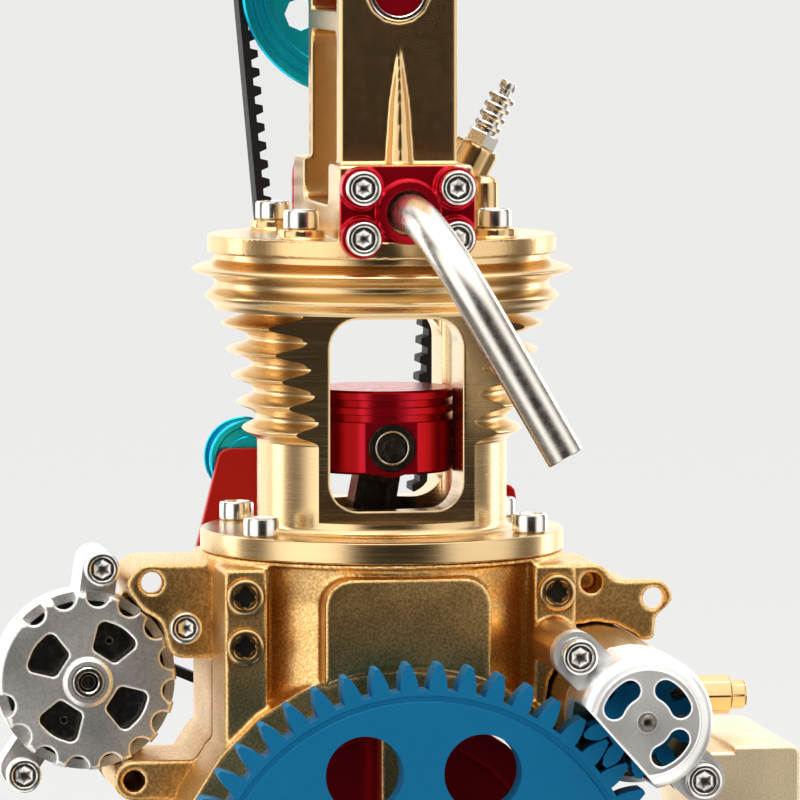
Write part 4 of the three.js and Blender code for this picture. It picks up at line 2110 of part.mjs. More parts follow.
const camLand = camPitchRadius - PITCH_TO_LAND;
const camGroove = facing(
  pulleyOutline(CAM_PULLEY_TEETH, grooveAngleOn(0), 0, CAM_HEIGHT),
  pulleyFront,
  pulleyBack,
);
const pulleyFlangeBack = BELT_PLANE - BELT_WIDTH / 2 - RUNNING_GAP;
const pulleyFace = pulleyFlangeBack - PULLEY_FLANGE_THICKNESS;
const pulleyFlange = turnedBack(
  barProfile(camLand + PULLEY_FLANGE_RISE, pulleyFace, pulleyFlangeBack),
  0,
  CAM_HEIGHT,
  LARGE_FACETS,
);
const pulleyRecess = turnedBack(ringProfile(
  PULLEY_HUB_RADIUS,
  camLand - BELT_TOOTH_HEIGHT - PULLEY_RIM,
  pulleyFace - EDGE_BREAK,
  pulleyFace + PULLEY_RECESS,
), 0, CAM_HEIGHT, ROUND_FACETS);
const pulleyHoleCircle = (PULLEY_HUB_RADIUS + camLand - BELT_TOOTH_HEIGHT - PULLEY_RIM) / 2;
const pulleyHoles = around(PULLEY_HOLES, (angle) => turnedBack(
  barProfile(PULLEY_HOLE_RADIUS, pulleyFace - EDGE_BREAK, pulleyBack + EDGE_BREAK),
  ...polar(pulleyHoleCircle, angle, 0, CAM_HEIGHT),
  SMALL_FACETS,
), Math.PI / 2);
const camPulleyBore = turnedBack(
  barProfile(CAMSHAFT_RADIUS + SEAT_GAP, pulleyFace - EDGE_BREAK, pulleyBack + EDGE_BREAK),
  0,
  CAM_HEIGHT,
);
place('cam_pulley', cut(
  join(camGroove, pulleyFlange),
  pulleyRecess,
  pulleyHoles,
  camPulleyBore,
), CYAN);

const crankGroove = facing(
  pulleyOutline(crankPulleyTeeth, grooveAngleOn(2), 0, CRANK_HEIGHT),
  pulleyFront,
  pulleyBack,
);
const bandWheelFlange = CRANK_BAND_RADIUS + BAND_THICKNESS;
const bandWheel = turnedBack([
  [0, pulleyBack - EDGE_BREAK],
  [JOURNAL_RADIUS * 2, pulleyBack - EDGE_BREAK],
  [JOURNAL_RADIUS * 2, bandFront],
  [CRANK_BAND_RADIUS, bandFront],
  [CRANK_BAND_RADIUS, bandRear],
  [bandWheelFlange, bandRear],
  [bandWheelFlange, bandRear + EDGE_BREAK * 2],
  [0, bandRear + EDGE_BREAK * 2],
], 0, CRANK_HEIGHT, LARGE_FACETS);
const crankPulleyBore = turnedBack(
  barProfile(JOURNAL_RADIUS + SEAT_GAP, 0, CUT_REACH),
  0,
  CRANK_HEIGHT,
  MIDDLE_FACETS,
);
place('crank_pulley', cut(join(crankGroove, bandWheel), crankPulleyBore), CYAN);

const rollerFront = BELT_PLANE - BELT_WIDTH / 2 - RUNNING_GAP;
const rollerBack = BELT_PLANE + BELT_WIDTH / 2 + RUNNING_GAP;
const axleRadius = CAP_SHANK_RADIUS;
place('tensioner_roller', turnedBack([
  [axleRadius + RUNNING_GAP, rollerFront - ROLLER_FLANGE_WIDTH],
  [TENSIONER_FLANGE_RADIUS, rollerFront - ROLLER_FLANGE_WIDTH],
  [TENSIONER_FLANGE_RADIUS, rollerFront],
  [TENSIONER_RADIUS, rollerFront],
  [TENSIONER_RADIUS, rollerBack],
  [TENSIONER_FLANGE_RADIUS, rollerBack],
  [TENSIONER_FLANGE_RADIUS, rollerBack + ROLLER_FLANGE_WIDTH],
  [axleRadius + RUNNING_GAP, rollerBack + ROLLER_FLANGE_WIDTH],
], tensionerX, TENSIONER_HEIGHT), CYAN);

const bracketBack = BRACKET_Y + BRACKET_THICKNESS;
const bracketFoot = BRACKET_POST_HEIGHT - BRACKET_FOOT;
const bracketWaist = BRACKET_POST_HEIGHT + BRACKET_WAIST;
const bracketHorn = BRACKET_POST_HEIGHT + BRACKET_HORN;
const bracketTop = TENSIONER_HEIGHT + BRACKET_TOP;
const bracketPlate = facing(outline([
  [-BRACKET_HALF_WIDTH, bracketFoot, BRACKET_CORNER],
  [BRACKET_HALF_WIDTH, bracketFoot, BRACKET_CORNER],
  [BRACKET_HALF_WIDTH, bracketHorn, BRACKET_CORNER],
  [BRACKET_HALF_WIDTH - BRACKET_HORN_WIDTH, bracketHorn, BRACKET_CORNER],
  [BRACKET_HALF_WIDTH / 2, bracketWaist, BRACKET_WAIST],
  [tensionerX + BRACKET_TOP_INNER + BRACKET_TOP_OUTER, bracketWaist, 2 * BRACKET_CORNER],
  [tensionerX + BRACKET_TOP_INNER, bracketTop, BRACKET_CORNER],
  [tensionerX - BRACKET_TOP_OUTER, bracketTop, BRACKET_CORNER],
]), BRACKET_Y, bracketBack, EDGE_BREAK / 2, 3);
const bracketAxle = turnedBack(
  barProfile(axleRadius, BRACKET_Y + EDGE_BREAK, rollerBack + ROLLER_FLANGE_WIDTH + EDGE_BREAK),
  tensionerX,
  TENSIONER_HEIGHT,
  SCREW_FACETS,
);
place('tensioner_bracket', join(bracketPlate, bracketAxle), BRIGHT_RED);

const bandWheels = [
  { x: GENERATOR_X, z: GENERATOR_HEIGHT, radius: ROTOR_BAND_RADIUS + SEAT_GAP, side: 1 },
  { x: 0, z: CRANK_HEIGHT, radius: CRANK_BAND_RADIUS + SEAT_GAP, side: 1 },
];
const bandStretches = beltStretches(bandWheels);
const bandShape = new THREE.Shape(smoothSide(bandStretches, BAND_THICKNESS));
bandShape.holes.push(new THREE.Path(smoothSide(bandStretches, 0)));
place('generator_belt', facing(
  bandShape,
  BAND_PLANE - BAND_WIDTH / 2,
  BAND_PLANE + BAND_WIDTH / 2,
), RUBBER);

// Side box

const boxRight = BASE_WIDTH / 2 - BOX_INSET;
const boxLeft = boxRight - BOX_WIDTH;
const boxStep = boxLeft + BOX_LEDGE;
const boxTop = baseTop + BOX_HEIGHT;
place('side_box', facing(outline([
  [boxLeft, baseTop, 0],
  [boxRight, baseTop, 0],
  [boxRight, boxTop, BOX_CORNER],
  [boxStep, boxTop, 0],
  [boxStep, boxTop - BOX_LEDGE_DROP, 0],
  [boxLeft, boxTop - BOX_LEDGE_DROP, 0],
]), BOX_FRONT, BOX_BACK, EDGE_BREAK, 3), GOLD);

export default engine;
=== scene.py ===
"""Four stroke engine model: finishes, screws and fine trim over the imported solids, in metres."""

import json
import logging
import math
from collections.abc import Callable, Iterable, Sequence
from dataclasses import dataclass, field, replace
from enum import Enum

import bmesh
import bpy
from mathutils import Matrix, Vector
from mathutils.geometry import tessellate_polygon

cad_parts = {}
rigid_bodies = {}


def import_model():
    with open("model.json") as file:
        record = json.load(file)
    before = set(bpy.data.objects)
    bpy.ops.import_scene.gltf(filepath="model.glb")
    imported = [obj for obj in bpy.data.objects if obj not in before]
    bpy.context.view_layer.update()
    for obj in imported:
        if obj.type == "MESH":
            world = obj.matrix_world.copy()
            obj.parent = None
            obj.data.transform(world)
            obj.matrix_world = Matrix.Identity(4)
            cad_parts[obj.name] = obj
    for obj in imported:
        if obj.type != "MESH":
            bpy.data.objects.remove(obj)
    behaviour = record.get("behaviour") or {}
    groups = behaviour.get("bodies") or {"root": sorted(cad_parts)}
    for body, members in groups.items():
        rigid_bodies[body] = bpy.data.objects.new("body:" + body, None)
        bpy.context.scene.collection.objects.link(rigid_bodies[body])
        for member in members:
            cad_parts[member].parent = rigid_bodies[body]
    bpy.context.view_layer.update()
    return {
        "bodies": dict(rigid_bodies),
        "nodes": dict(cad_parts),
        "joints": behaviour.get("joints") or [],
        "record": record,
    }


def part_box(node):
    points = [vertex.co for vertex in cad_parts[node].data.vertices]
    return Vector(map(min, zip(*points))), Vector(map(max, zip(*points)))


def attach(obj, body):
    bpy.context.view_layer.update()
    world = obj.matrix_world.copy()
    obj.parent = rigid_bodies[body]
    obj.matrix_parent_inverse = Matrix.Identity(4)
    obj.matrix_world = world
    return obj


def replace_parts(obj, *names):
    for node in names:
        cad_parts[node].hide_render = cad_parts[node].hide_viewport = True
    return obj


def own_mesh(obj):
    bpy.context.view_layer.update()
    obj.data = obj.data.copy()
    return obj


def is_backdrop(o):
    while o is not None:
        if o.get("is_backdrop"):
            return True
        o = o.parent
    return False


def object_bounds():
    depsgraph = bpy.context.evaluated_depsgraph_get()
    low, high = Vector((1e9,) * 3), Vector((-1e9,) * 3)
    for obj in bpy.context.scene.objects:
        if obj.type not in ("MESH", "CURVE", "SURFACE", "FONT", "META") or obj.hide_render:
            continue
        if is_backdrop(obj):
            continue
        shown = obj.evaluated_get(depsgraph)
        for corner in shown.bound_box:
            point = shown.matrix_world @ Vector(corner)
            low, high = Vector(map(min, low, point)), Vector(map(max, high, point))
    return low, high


LOG = logging.getLogger("engine")
MM = 0.001
FULL_TURN = 2 * math.pi
EVEN = Vector((1.0, 1.0, 1.0))
ORIGIN = Vector((0.0, 0.0, 0.0))
OVERRUN = 1.0 * MM
AXIS_BORE = 0.1 * MM
MIX_FIRST, MIX_SECOND, MIX_RESULT = 6, 7, 2  # the colour sockets of a mix node
NOISE_LOW, NOISE_HIGH = 0.3, 0.7  # where most of a noise value lies
WELD_GAP = 1e-6
FLAT_LIMIT = math.radians(0.6)
EDGE_FACES = 2
FACE_WEIGHT = 80
CAST_STEP = 0.5
CAST_KEPT = 0.3
SLOPE_OVERRUN = 0.5

Colour = tuple[float, float, float]
Ring = list[Vector]
Flat = tuple[float, float]
Outline = list[Flat]


class Axis(Enum):
    """The way a turned piece points, from its seat to its free end."""

    UP = Vector((0, 0, 1))
    FRONT = Vector((0, -1, 0))
    BACK = Vector((0, 1, 0))

    def turn(self) -> Matrix:
        """Returns the rotation that takes +Z to this axis."""
        return self.value.to_track_quat("Z", "Y").to_matrix().to_4x4()


class Work(Enum):
    """What is done to a piece with other pieces."""

    JOIN = "UNION"
    CUT = "DIFFERENCE"
    OVERLAP = "INTERSECT"


# Finishes


class Graph:
    """A node tree, with short ways to add and join nodes."""

    def __init__(self, name: str) -> None:
        """Starts an empty material.

        Args:
            name: The material's name.
        """
        self.material = bpy.data.materials.new(name)
        self.material.use_nodes = True
        self.tree = self.material.node_tree
        self.tree.nodes.clear()
        self.output = self.add("ShaderNodeOutputMaterial")

    @classmethod
    def over(cls, tree: bpy.types.NodeTree) -> "Graph":
        """Returns a graph over a tree that exists, emptied."""
        graph = cls.__new__(cls)
        graph.tree = tree
        tree.nodes.clear()
        return graph

    def add(self, kind: str, values: dict[str, object] | None = None, **settings: object) -> bpy.types.Node:
        """Adds a node.

        Args:
            kind: The node's type.
            values: Values or sockets for its inputs, by input name.
            settings: Properties of the node itself.

        Returns:
            The new node.
        """
        node = self.tree.nodes.new(kind)
        for key, setting in settings.items():
            setattr(node, key, setting)
        for key, value in (values or {}).items():
            if isinstance(value, bpy.types.NodeSocket):
                self.tree.links.new(value, node.inputs[key])
            else:
                node.inputs[key].default_value = value
        return node

    def place(self, stretch: Vector) -> bpy.types.NodeSocket:
        """Returns the object's own coordinates, scaled by stretch."""
        coordinates = self.add("ShaderNodeTexCoord")
        mapping = self.add("ShaderNodeMapping", {"Vector": coordinates.outputs["Object"], "Scale": stretch})
        return mapping.outputs["Vector"]

    def noise(self, place: bpy.types.NodeSocket, scale: float, detail: float = 3.0) -> bpy.types.NodeSocket:
        """Returns a noise value at a place, from 0 to 1."""
        node = self.add("ShaderNodeTexNoise", {"Vector": place, "Scale": scale, "Detail": detail})
        return node.outputs["Fac"]

    def spread(self, value: bpy.types.NodeSocket, low: float, high: float) -> bpy.types.NodeSocket:
        """Returns a value moved from the middle of the noise's range to low..high."""
        limits = {"From Min": NOISE_LOW, "From Max": NOISE_HIGH, "To Min": low, "To Max": high}
        return self.add("ShaderNodeMapRange", {"Value": value, **limits}).outputs["Result"]

    def blend(self, share: bpy.types.NodeSocket, first: Colour, second: Colour) -> bpy.types.NodeSocket:
        """Mixes two colours.

        Args:
            share: How much of the second colour shows, from 0 to 1.
            first: The first colour.
            second: The second colour.

        Returns:
            The mixed colour.
        """
        node = self.add("ShaderNodeMix", data_type="RGBA")
        self.tree.links.new(share, node.inputs["Factor"])
        node.inputs[MIX_FIRST].default_value = (*first, 1)
        node.inputs[MIX_SECOND].default_value = (*second, 1)
        return node.outputs[MIX_RESULT]

    def sum(self, kind: str, first: bpy.types.NodeSocket, second: bpy.types.NodeSocket) -> bpy.types.NodeSocket:
        """Adds or multiplies two values.

        Args:
            kind: ADD or MULTIPLY.
            first: The first value.
            second: The second value.

        Returns:
            The result.
        """
        node = self.add("ShaderNodeMath", operation=kind)
        self.tree.links.new(first, node.inputs[0])
        self.tree.links.new(second, node.inputs[1])
        return node.outputs["Value"]

    def bump(self, height: bpy.types.NodeSocket, depth: float, strength: float) -> bpy.types.NodeSocket:
        """Returns a normal from a height map of the given depth in metres."""
        node = self.add("ShaderNodeBump", {"Height": height, "Distance": depth, "Strength": strength})
        return node.outputs["Normal"]

    def surface(self, values: dict[str, object]) -> bpy.types.Material:
        """Adds the shader with these inputs and returns the finished material."""
        shader = self.add("ShaderNodeBsdfPrincipled", values)
        self.tree.links.new(shader.outputs["BSDF"], self.output.inputs["Surface"])
        return self.material


@dataclass(frozen=True)
class Finish:
    """A surface finish: how a kind of stock looks once it is made and coated."""

    name: str
    slot: str

    def graph(self) -> bpy.types.Material:
        """Builds the material."""
        raise NotImplementedError

    def material(self) -> bpy.types.Material:
        """Returns the material, built once."""
        return bpy.data.materials.get(self.name) or self.graph()


@dataclass(frozen=True)
class CutMetal(Finish):
    """Milled or turned metal under a thin coat, with fine tool marks that run one way."""

    tint: Colour = (0.6, 0.45, 0.25)
    shade: Colour = (0.5, 0.36, 0.18)
    metallic: float = 1.0
    roughness: float = 0.3
    scatter: float = 0.08
    marks: tuple[float, float, float] = (1.0, 1.0, 8.0)
    mark_scale: float = 900.0
    mark_depth: float = 4e-6
    mark_strength: float = 0.5
    cloud_scale: float = 45.0
    detail: float = 2.0

    def graph(self) -> bpy.types.Material:
        """Builds the material.

        Returns:
            The new material.
        """
        graph = Graph(self.name)
        cloud = graph.noise(graph.place(EVEN), self.cloud_scale, self.detail)
        streaks = graph.noise(graph.place(Vector(self.marks)), self.mark_scale, self.detail)
        low, high = self.roughness - self.scatter, self.roughness + self.scatter
        return graph.surface(
            {
                "Base Color": graph.blend(cloud, self.shade, self.tint),
                "Metallic": self.metallic,
                "Roughness": graph.spread(streaks, low, high),
                "Normal": graph.bump(streaks, self.mark_depth, self.mark_strength),
            }
        )


@dataclass(frozen=True)
class BlastedMetal(Finish):
    """Bead blasted metal under a thin coat: an even, fine grain."""

    tint: Colour = (0.6, 0.45, 0.25)
    shade: Colour = (0.5, 0.36, 0.18)
    roughness: float = 0.42
    scatter: float = 0.05
    grain: float = 2600.0
    grain_detail: float = 1.0
    grain_depth: float = 2e-5
    grain_strength: float = 0.6
    patch: float = 30.0
    patch_detail: float = 2.0

    def graph(self) -> bpy.types.Material:
        """Builds the material.

        Returns:
            The new material.
        """
        graph = Graph(self.name)
        place = graph.place(EVEN)
        speck = graph.noise(place, self.grain, self.grain_detail)
        patches = graph.noise(place, self.grain / self.patch, self.patch_detail)
        return graph.surface(
            {
                "Base Color": graph.blend(graph.spread(speck, 0.0, 1.0), self.shade, self.tint),
                "Metallic": 1.0,
                "Roughness": graph.spread(patches, self.roughness - self.scatter, self.roughness + self.scatter),
                "Normal": graph.bump(speck, self.grain_depth, self.grain_strength),
            }
        )


@dataclass(frozen=True)
class MouldedStock(Finish):
    """Rubber or powder coat: no metal shows, and the skin has a light texture."""

    tint: Colour = (0.02, 0.02, 0.02)
    shade: Colour = (0.01, 0.01, 0.01)
    roughness: float = 0.6
    scatter: float = 0.06
    grain: float = 900.0
    grain_detail: float = 3.0
    grain_depth: float = 3e-5
    grain_strength: float = 0.4
    cloud_scale: float = 80.0
    cloud_detail: float = 2.0

    def graph(self) -> bpy.types.Material:
        """Builds the material.

        Returns:
            The new material.
        """
        graph = Graph(self.name)
        place = graph.place(EVEN)
        grain = graph.noise(place, self.grain, self.grain_detail)
        cloud = graph.noise(place, self.cloud_scale, self.cloud_detail)
        return graph.surface(
            {
                "Base Color": graph.blend(cloud, self.shade, self.tint),
                "Metallic": 0.0,
                "Roughness": graph.spread(grain, self.roughness - self.scatter, self.roughness + self.scatter),
                "Normal": graph.bump(grain, self.grain_depth, self.grain_strength),
            }
        )


GOLD = CutMetal(
    "satin_gold", "gold", tint=(0.80, 0.58, 0.32), shade=(0.72, 0.505, 0.26), roughness=0.25, scatter=0.015,
    marks=(1.0, 1.0, 1.0), mark_depth=1.5e-7,
)
TURNED_GOLD = CutMetal(
    "turned_gold", "gold", tint=(0.80, 0.60, 0.35), shade=(0.72, 0.525, 0.285), roughness=0.25, scatter=0.03,
    marks=(0.1, 0.1, 6.0), mark_depth=2e-6,
)
BLASTED_GOLD = BlastedMetal(
    "grained_gold", "blasted_gold", tint=(1.0, 0.69, 0.34), shade=(0.62, 0.39, 0.15), roughness=0.35
)
BLUE = CutMetal(
    "satin_blue", "blue", tint=(0.0, 0.20, 0.40), shade=(0.0, 0.175, 0.355), metallic=0.25, roughness=0.5,
    marks=(1.0, 1.0, 1.0), scatter=0.03, mark_depth=4e-7,
)
CYAN = CutMetal(
    "bright_cyan", "cyan", tint=(0.02, 0.62, 0.85), shade=(0.01, 0.54, 0.78), metallic=0.75, roughness=0.2,
    scatter=0.03, mark_depth=4e-7,
)
RED = CutMetal(
    "deep_red", "red", tint=(0.62, 0.012, 0.035), shade=(0.52, 0.006, 0.025), metallic=0.7, roughness=0.24,
    scatter=0.03, mark_depth=5e-7,
)
BRIGHT_RED = CutMetal(
    "painted_red", "bright_red", tint=(0.55, 0.010, 0.008), shade=(0.48, 0.007, 0.006), metallic=0.2, roughness=0.32,
    scatter=0.04, mark_depth=5e-7,
)
STEEL = CutMetal(
    "bright_steel", "steel", tint=(0.88, 0.87, 0.85), shade=(0.78, 0.77, 0.75), roughness=0.2, scatter=0.03,
    mark_depth=4e-7,
)
NICKEL = CutMetal(
    "satin_nickel", "steel", tint=(0.82, 0.81, 0.79), shade=(0.72, 0.71, 0.70), roughness=0.3, scatter=0.04,
    mark_depth=5e-7,
)
SATIN_NICKEL = BlastedMetal(
    "blasted_nickel", "steel", tint=(0.97, 0.96, 0.94), shade=(0.80, 0.79, 0.77), roughness=0.40, grain_depth=6e-6
)
SATIN_SILVER = BlastedMetal(
    "blasted_silver", "steel", tint=(0.98, 0.98, 0.98), shade=(0.93, 0.93, 0.93), roughness=0.42, grain_depth=3e-6
)
PIPE_STEEL = CutMetal(
    "pipe_steel", "steel", tint=(0.80, 0.775, 0.73), shade=(0.70, 0.67, 0.62), roughness=0.27, scatter=0.04,
    marks=(1.0, 1.0, 1.0), mark_depth=5e-7,
)
PAINTED_GOLD = BlastedMetal(
    "pale_gold", "gold", tint=(0.96, 0.83, 0.62), shade=(0.84, 0.70, 0.48), roughness=0.48, grain_depth=4e-6
)
DARK_STEEL = CutMetal(
    "blackened_steel", "dark_steel", tint=(0.24, 0.22, 0.20), shade=(0.16, 0.147, 0.135), roughness=0.26, scatter=0.04,
    marks=(1.0, 1.0, 1.0), mark_depth=2e-7,
)
BLACK_COAT = MouldedStock("black_coat", "black_metal", roughness=0.42, grain=1500.0, grain_depth=4e-5)
RUBBER = MouldedStock(
    "belt_rubber", "rubber", tint=(0.011, 0.011, 0.012), shade=(0.007, 0.007, 0.008), roughness=0.6
)


# Shaping


def link(name: str, shape: bmesh.types.BMesh) -> bpy.types.Object:
    """Turns a finished mesh sketch into a piece in the scene.

    Args:
        name: The new piece's name.
        shape: The sketch, which is freed.

    Returns:
        The new piece.
    """
    bmesh.ops.recalc_face_normals(shape, faces=shape.faces)
    mesh = bpy.data.meshes.new(name)
    shape.to_mesh(mesh)
    shape.free()
    piece = bpy.data.objects.new(name, mesh)
    bpy.context.scene.collection.objects.link(piece)
    return piece


def loft(name: str, rings: Sequence[Ring], closed: bool = False) -> bpy.types.Object:
    """Makes a closed skin through rings of points.

    Args:
        name: The new piece's name.
        rings: Rings of the same number of points, each turning the same way.
        closed: Whether the last ring joins the first one, rather than both being capped.

    Returns:
        The new piece.
    """
    shape = bmesh.new()
    loops = [[shape.verts.new(point) for point in ring] for ring in rings]
    pairs = list(zip(loops, loops[1:]))
    if closed:
        pairs.append((loops[-1], loops[0]))
    for lower, upper in pairs:
        for index, corner in enumerate(lower):
            following = (index + 1) % len(lower)
            shape.faces.new((corner, lower[following], upper[following], upper[index]))
    if not closed:
        shape.faces.new(list(reversed(loops[0])))
        shape.faces.new(loops[-1])
    return link(name, shape)


def circle(radius: float, height: float, steps: int) -> Ring:
    """Returns a ring of points of a radius, at a height."""
    return polygon(lambda _: radius, height, steps)


def polygon(radius: Callable[[float], float], height: float, steps: int) -> Ring:
    """Returns a ring whose radius is worked out from the angle, at a height."""
    turns = (FULL_TURN * step / steps for step in range(steps))
    return [Vector((radius(turn) * math.cos(turn), radius(turn) * math.sin(turn), height)) for turn in turns]


def hexagon(across_flats: float) -> Callable[[float], float]:
    """Returns the radius of a hexagon by angle."""
    return lambda turn: across_flats / 2 / math.cos((turn + math.pi / 6) % (math.pi / 3) - math.pi / 6)


def star(middle: float, wave: float, points: int = 6) -> Callable[[float], float]:
    """Returns the radius of a soft star by angle."""
    return lambda turn: middle + wave * math.cos(points * turn)


def sized(table: Iterable[Flat]) -> Outline:
    """Returns a table of places in metres, from one in millimetres."""
    return [(first * MM, second * MM) for first, second in table]


def lathe(
    name: str, profile: Sequence[Flat], seat: Vector, axis: Axis, steps: int = 96, closed: bool = False
) -> bpy.types.Object:
    """Turns a profile about an axis.

    Args:
        name: The new piece's name.
        profile: Radius and height of each point, from the first cap to the last one.
        seat: Where height zero lies on the axis.
        axis: The way heights grow.
        steps: How many faces go round.
        closed: Whether the profile runs back to its start, for a piece with a bore.

    Returns:
        The new piece.
    """
    piece = loft(name, [circle(radius, height, steps) for radius, height in profile], closed)
    piece.data.transform(Matrix.Translation(seat) @ axis.turn())
    return piece


def polar(radius: float, turn: float, centre: Flat = (0.0, 0.0)) -> Flat:
    """Returns a point at a distance and angle from a centre."""
    return centre[0] + radius * math.cos(turn), centre[1] + radius * math.sin(turn)


def arc(centre: Flat, radius: float, start: float, end: float, steps: int) -> Outline:
    """Returns points along an arc, both ends included."""
    return [polar(radius, start + (end - start) * step / steps, centre) for step in range(steps + 1)]


def disc(centre: Flat, radius: float, steps: int = 48) -> Outline:
    """Returns a full circle."""
    return arc(centre, radius, 0.0, FULL_TURN * (steps - 1) / steps, steps - 1)


def rounded(corners: Sequence[tuple[float, float, float]], steps: int = 8) -> Outline:
    """Returns an outline whose corners are rounded.

    Args:
        corners: Each corner's place and radius, in order round the outline.
        steps: How many faces go round one corner.

    Returns:
        The outline's points.
    """
    points: Outline = []
    for index, (x, y, radius) in enumerate(corners):
        corner = Vector((x, y))
        before = (Vector(corners[index - 1][:2]) - corner).normalized()
        after = (Vector(corners[(index + 1) % len(corners)][:2]) - corner).normalized()
        half = before.angle(after) / 2
        if radius <= 0:
            points.append((x, y))
            continue
        middle = corner + (before + after).normalized() * (radius / math.sin(half))
        start = corner + before * (radius / math.tan(half)) - middle
        end = corner + after * (radius / math.tan(half)) - middle
        sweep = start.angle_signed(end)
        for step in range(steps + 1):
            turned = start.copy()
            turned.rotate(Matrix.Rotation(-sweep * step / steps, 2))
            points.append(tuple(middle + turned))
    return points


def bar(start: Flat, end: Flat, half_width: float, steps: int = 20) -> Outline:
    """Draws a straight bar with round ends.

    Args:
        start: The middle of its first end.
        end: The middle of its last end.
        half_width: Half of its width, which is also the radius of its ends.
        steps: How many faces go round each end.

    Returns:
        The outline's points.
    """
    heading = math.atan2(end[1] - start[1], end[0] - start[0])
    quarter = math.pi / 2
    return arc(end, half_width, heading - quarter, heading + quarter, steps) + arc(
        start, half_width, heading + quarter, heading + 3 * quarter, steps
    )


def bean(centre: Flat, radius: float, half_width: float, middle: float, spread: float, steps: int = 12) -> Outline:
    """Draws a slot that is bent round a centre.

    Args:
        centre: The centre.
        radius: How far the slot's middle line is from the centre.
        half_width: Half of the slot's width.
        middle: The angle of its middle.
        spread: The angle from its middle to the middle of each end.
        steps: How many faces go along it, and round each end.

    Returns:
        The outline's points.
    """
    first, last = middle - spread, middle + spread
    outer = arc(centre, radius + half_width, first, last, steps)
    inner = arc(centre, radius - half_width, last, first, steps)
    far = arc(polar(radius, last, centre), half_width, last, last + math.pi, steps)
    near = arc(polar(radius, first, centre), half_width, first + math.pi, first + FULL_TURN, steps)
    return outer + far[1:-1] + inner + near[1:-1]


def slab(name: str, outline: Outline, front: float, back: float, holes: Sequence[Outline] = ()) -> bpy.types.Object:
    """Makes a flat piece that faces the front, with through holes.

    Args:
        name: The new piece's name.
        outline: Its outer edge, in X and Z.
        front: Where its front face lies on Y.
        back: Where its back face lies on Y.
        holes: The edges of its holes.

    Returns:
        The new piece.
    """
    shape = bmesh.new()
    loops = [outline, *holes]
    sheets = []
    for depth in (front, back):
        sheets.append([[shape.verts.new((x, depth, z)) for x, z in loop] for loop in loops])
    for near, far in zip(*sheets):
        for index, corner in enumerate(near):
            following = (index + 1) % len(near)
            shape.faces.new((corner, near[following], far[following], far[index]))
    triangles = tessellate_polygon([[Vector((x, z, 0)) for x, z in loop] for loop in loops])
    for sheet in sheets:
        flat = [vertex for loop in sheet for vertex in loop]
        for triangle in triangles:
            shape.faces.new([flat[index] for index in triangle])
    return link(name, shape)


def grown(outline: Outline, width: float) -> Outline:
    """Moves an outline outwards.

    Args:
        outline: The outline.
        width: How far it moves; a width below zero moves it inwards.

    Returns:
        The moved outline's points.
    """
    count = len(outline)
    following = outline[1:] + outline[:1]
    area = sum(x * next_y - next_x * y for (x, y), (next_x, next_y) in zip(outline, following))
    way = math.copysign(1.0, area)
    points: Outline = []
    for index, (x, y) in enumerate(outline):
        before, after = outline[index - 1], outline[(index + 1) % count]
        along = Vector((after[0] - before[0], after[1] - before[1])).normalized()
        points.append((x + along.y * width * way, y - along.x * width * way))
    return points


def countersink(
    name: str, outline: Outline, width: float, depth: float, face: float, way: int = 1
) -> bpy.types.Object:
    """Makes a tool that slopes the mouth of an opening.

    Args:
        name: The tool's name.
        outline: The opening's edge, in X and Z.
        width: How far the slope reaches out on the face.
        depth: How deep the slope goes.
        face: Where the face lies on Y.
        way: 1 when the face looks to the front, -1 when it looks to the back.

    Returns:
        The tool.
    """
    shape = bmesh.new()
    over = SLOPE_OVERRUN
    levels = [
        (grown(outline, width * (1 + over)), face - way * depth * over),
        (grown(outline, -width * over), face + way * depth * (1 + over)),
    ]
    loops = [[shape.verts.new((x, y, z)) for x, z in loop] for loop, y in levels]
    for index, corner in enumerate(loops[0]):
        following = (index + 1) % len(loops[0])
        shape.faces.new((corner, loops[0][following], loops[1][following], loops[1][index]))
    for (flat, _), loop in zip(levels, loops):
        for triangle in tessellate_polygon([[Vector((x, z, 0)) for x, z in flat]]):
            shape.faces.new([loop[index] for index in triangle])
    return link(name, shape)


def settle(piece: bpy.types.Object) -> bpy.types.Object:
    """Turns a piece's modifiers into its mesh.

    Args:
        piece: The piece.

    Returns:
        The same piece.
    """
    view = bpy.context.evaluated_depsgraph_get()
    mesh = bpy.data.meshes.new_from_object(piece.evaluated_get(view))
    piece.modifiers.clear()
    piece.data = mesh
    return piece


def combine(piece: bpy.types.Object, work: Work, others: Iterable[bpy.types.Object]) -> bpy.types.Object:
    """Works on a piece with other pieces, and takes these away.

    Args:
        piece: The piece.
        work: What is done to it.
        others: The pieces that it is joined to, cut with or kept inside of.

    Returns:
        The same piece.
    """
    used = list(others)
    for other in used:
        step = piece.modifiers.new("combine", "BOOLEAN")
        step.operation = work.value
        step.solver = "EXACT"
        step.object = other
    settle(piece)
    for other in used:
        bpy.data.objects.remove(other)
    return piece


def soften(piece: bpy.types.Object, width: float, limit: float = 32.0) -> None:
    """Breaks a piece's edges and evens out its shading, without touching its points.

    Args:
        piece: The piece or solid.
        width: The width of the broken edge, in metres.
        limit: The least angle between faces that counts as an edge, in degrees.
    """
    for face in piece.data.polygons:
        face.use_smooth = True
    weld = piece.modifiers.new("weld", "WELD")
    weld.merge_threshold = WELD_GAP
    flats = piece.modifiers.new("flats", "DECIMATE")
    flats.decimate_type = "DISSOLVE"
    flats.angle_limit = FLAT_LIMIT
    edges = piece.modifiers.new("edges", "BEVEL")
    edges.width = width
    edges.segments = EDGE_FACES
    edges.limit_method = "ANGLE"
    edges.angle_limit = math.radians(limit)
    edges.use_clamp_overlap = True
    shading = piece.modifiers.new("shading", "WEIGHTED_NORMAL")
    shading.keep_sharp = False
    shading.weight = FACE_WEIGHT


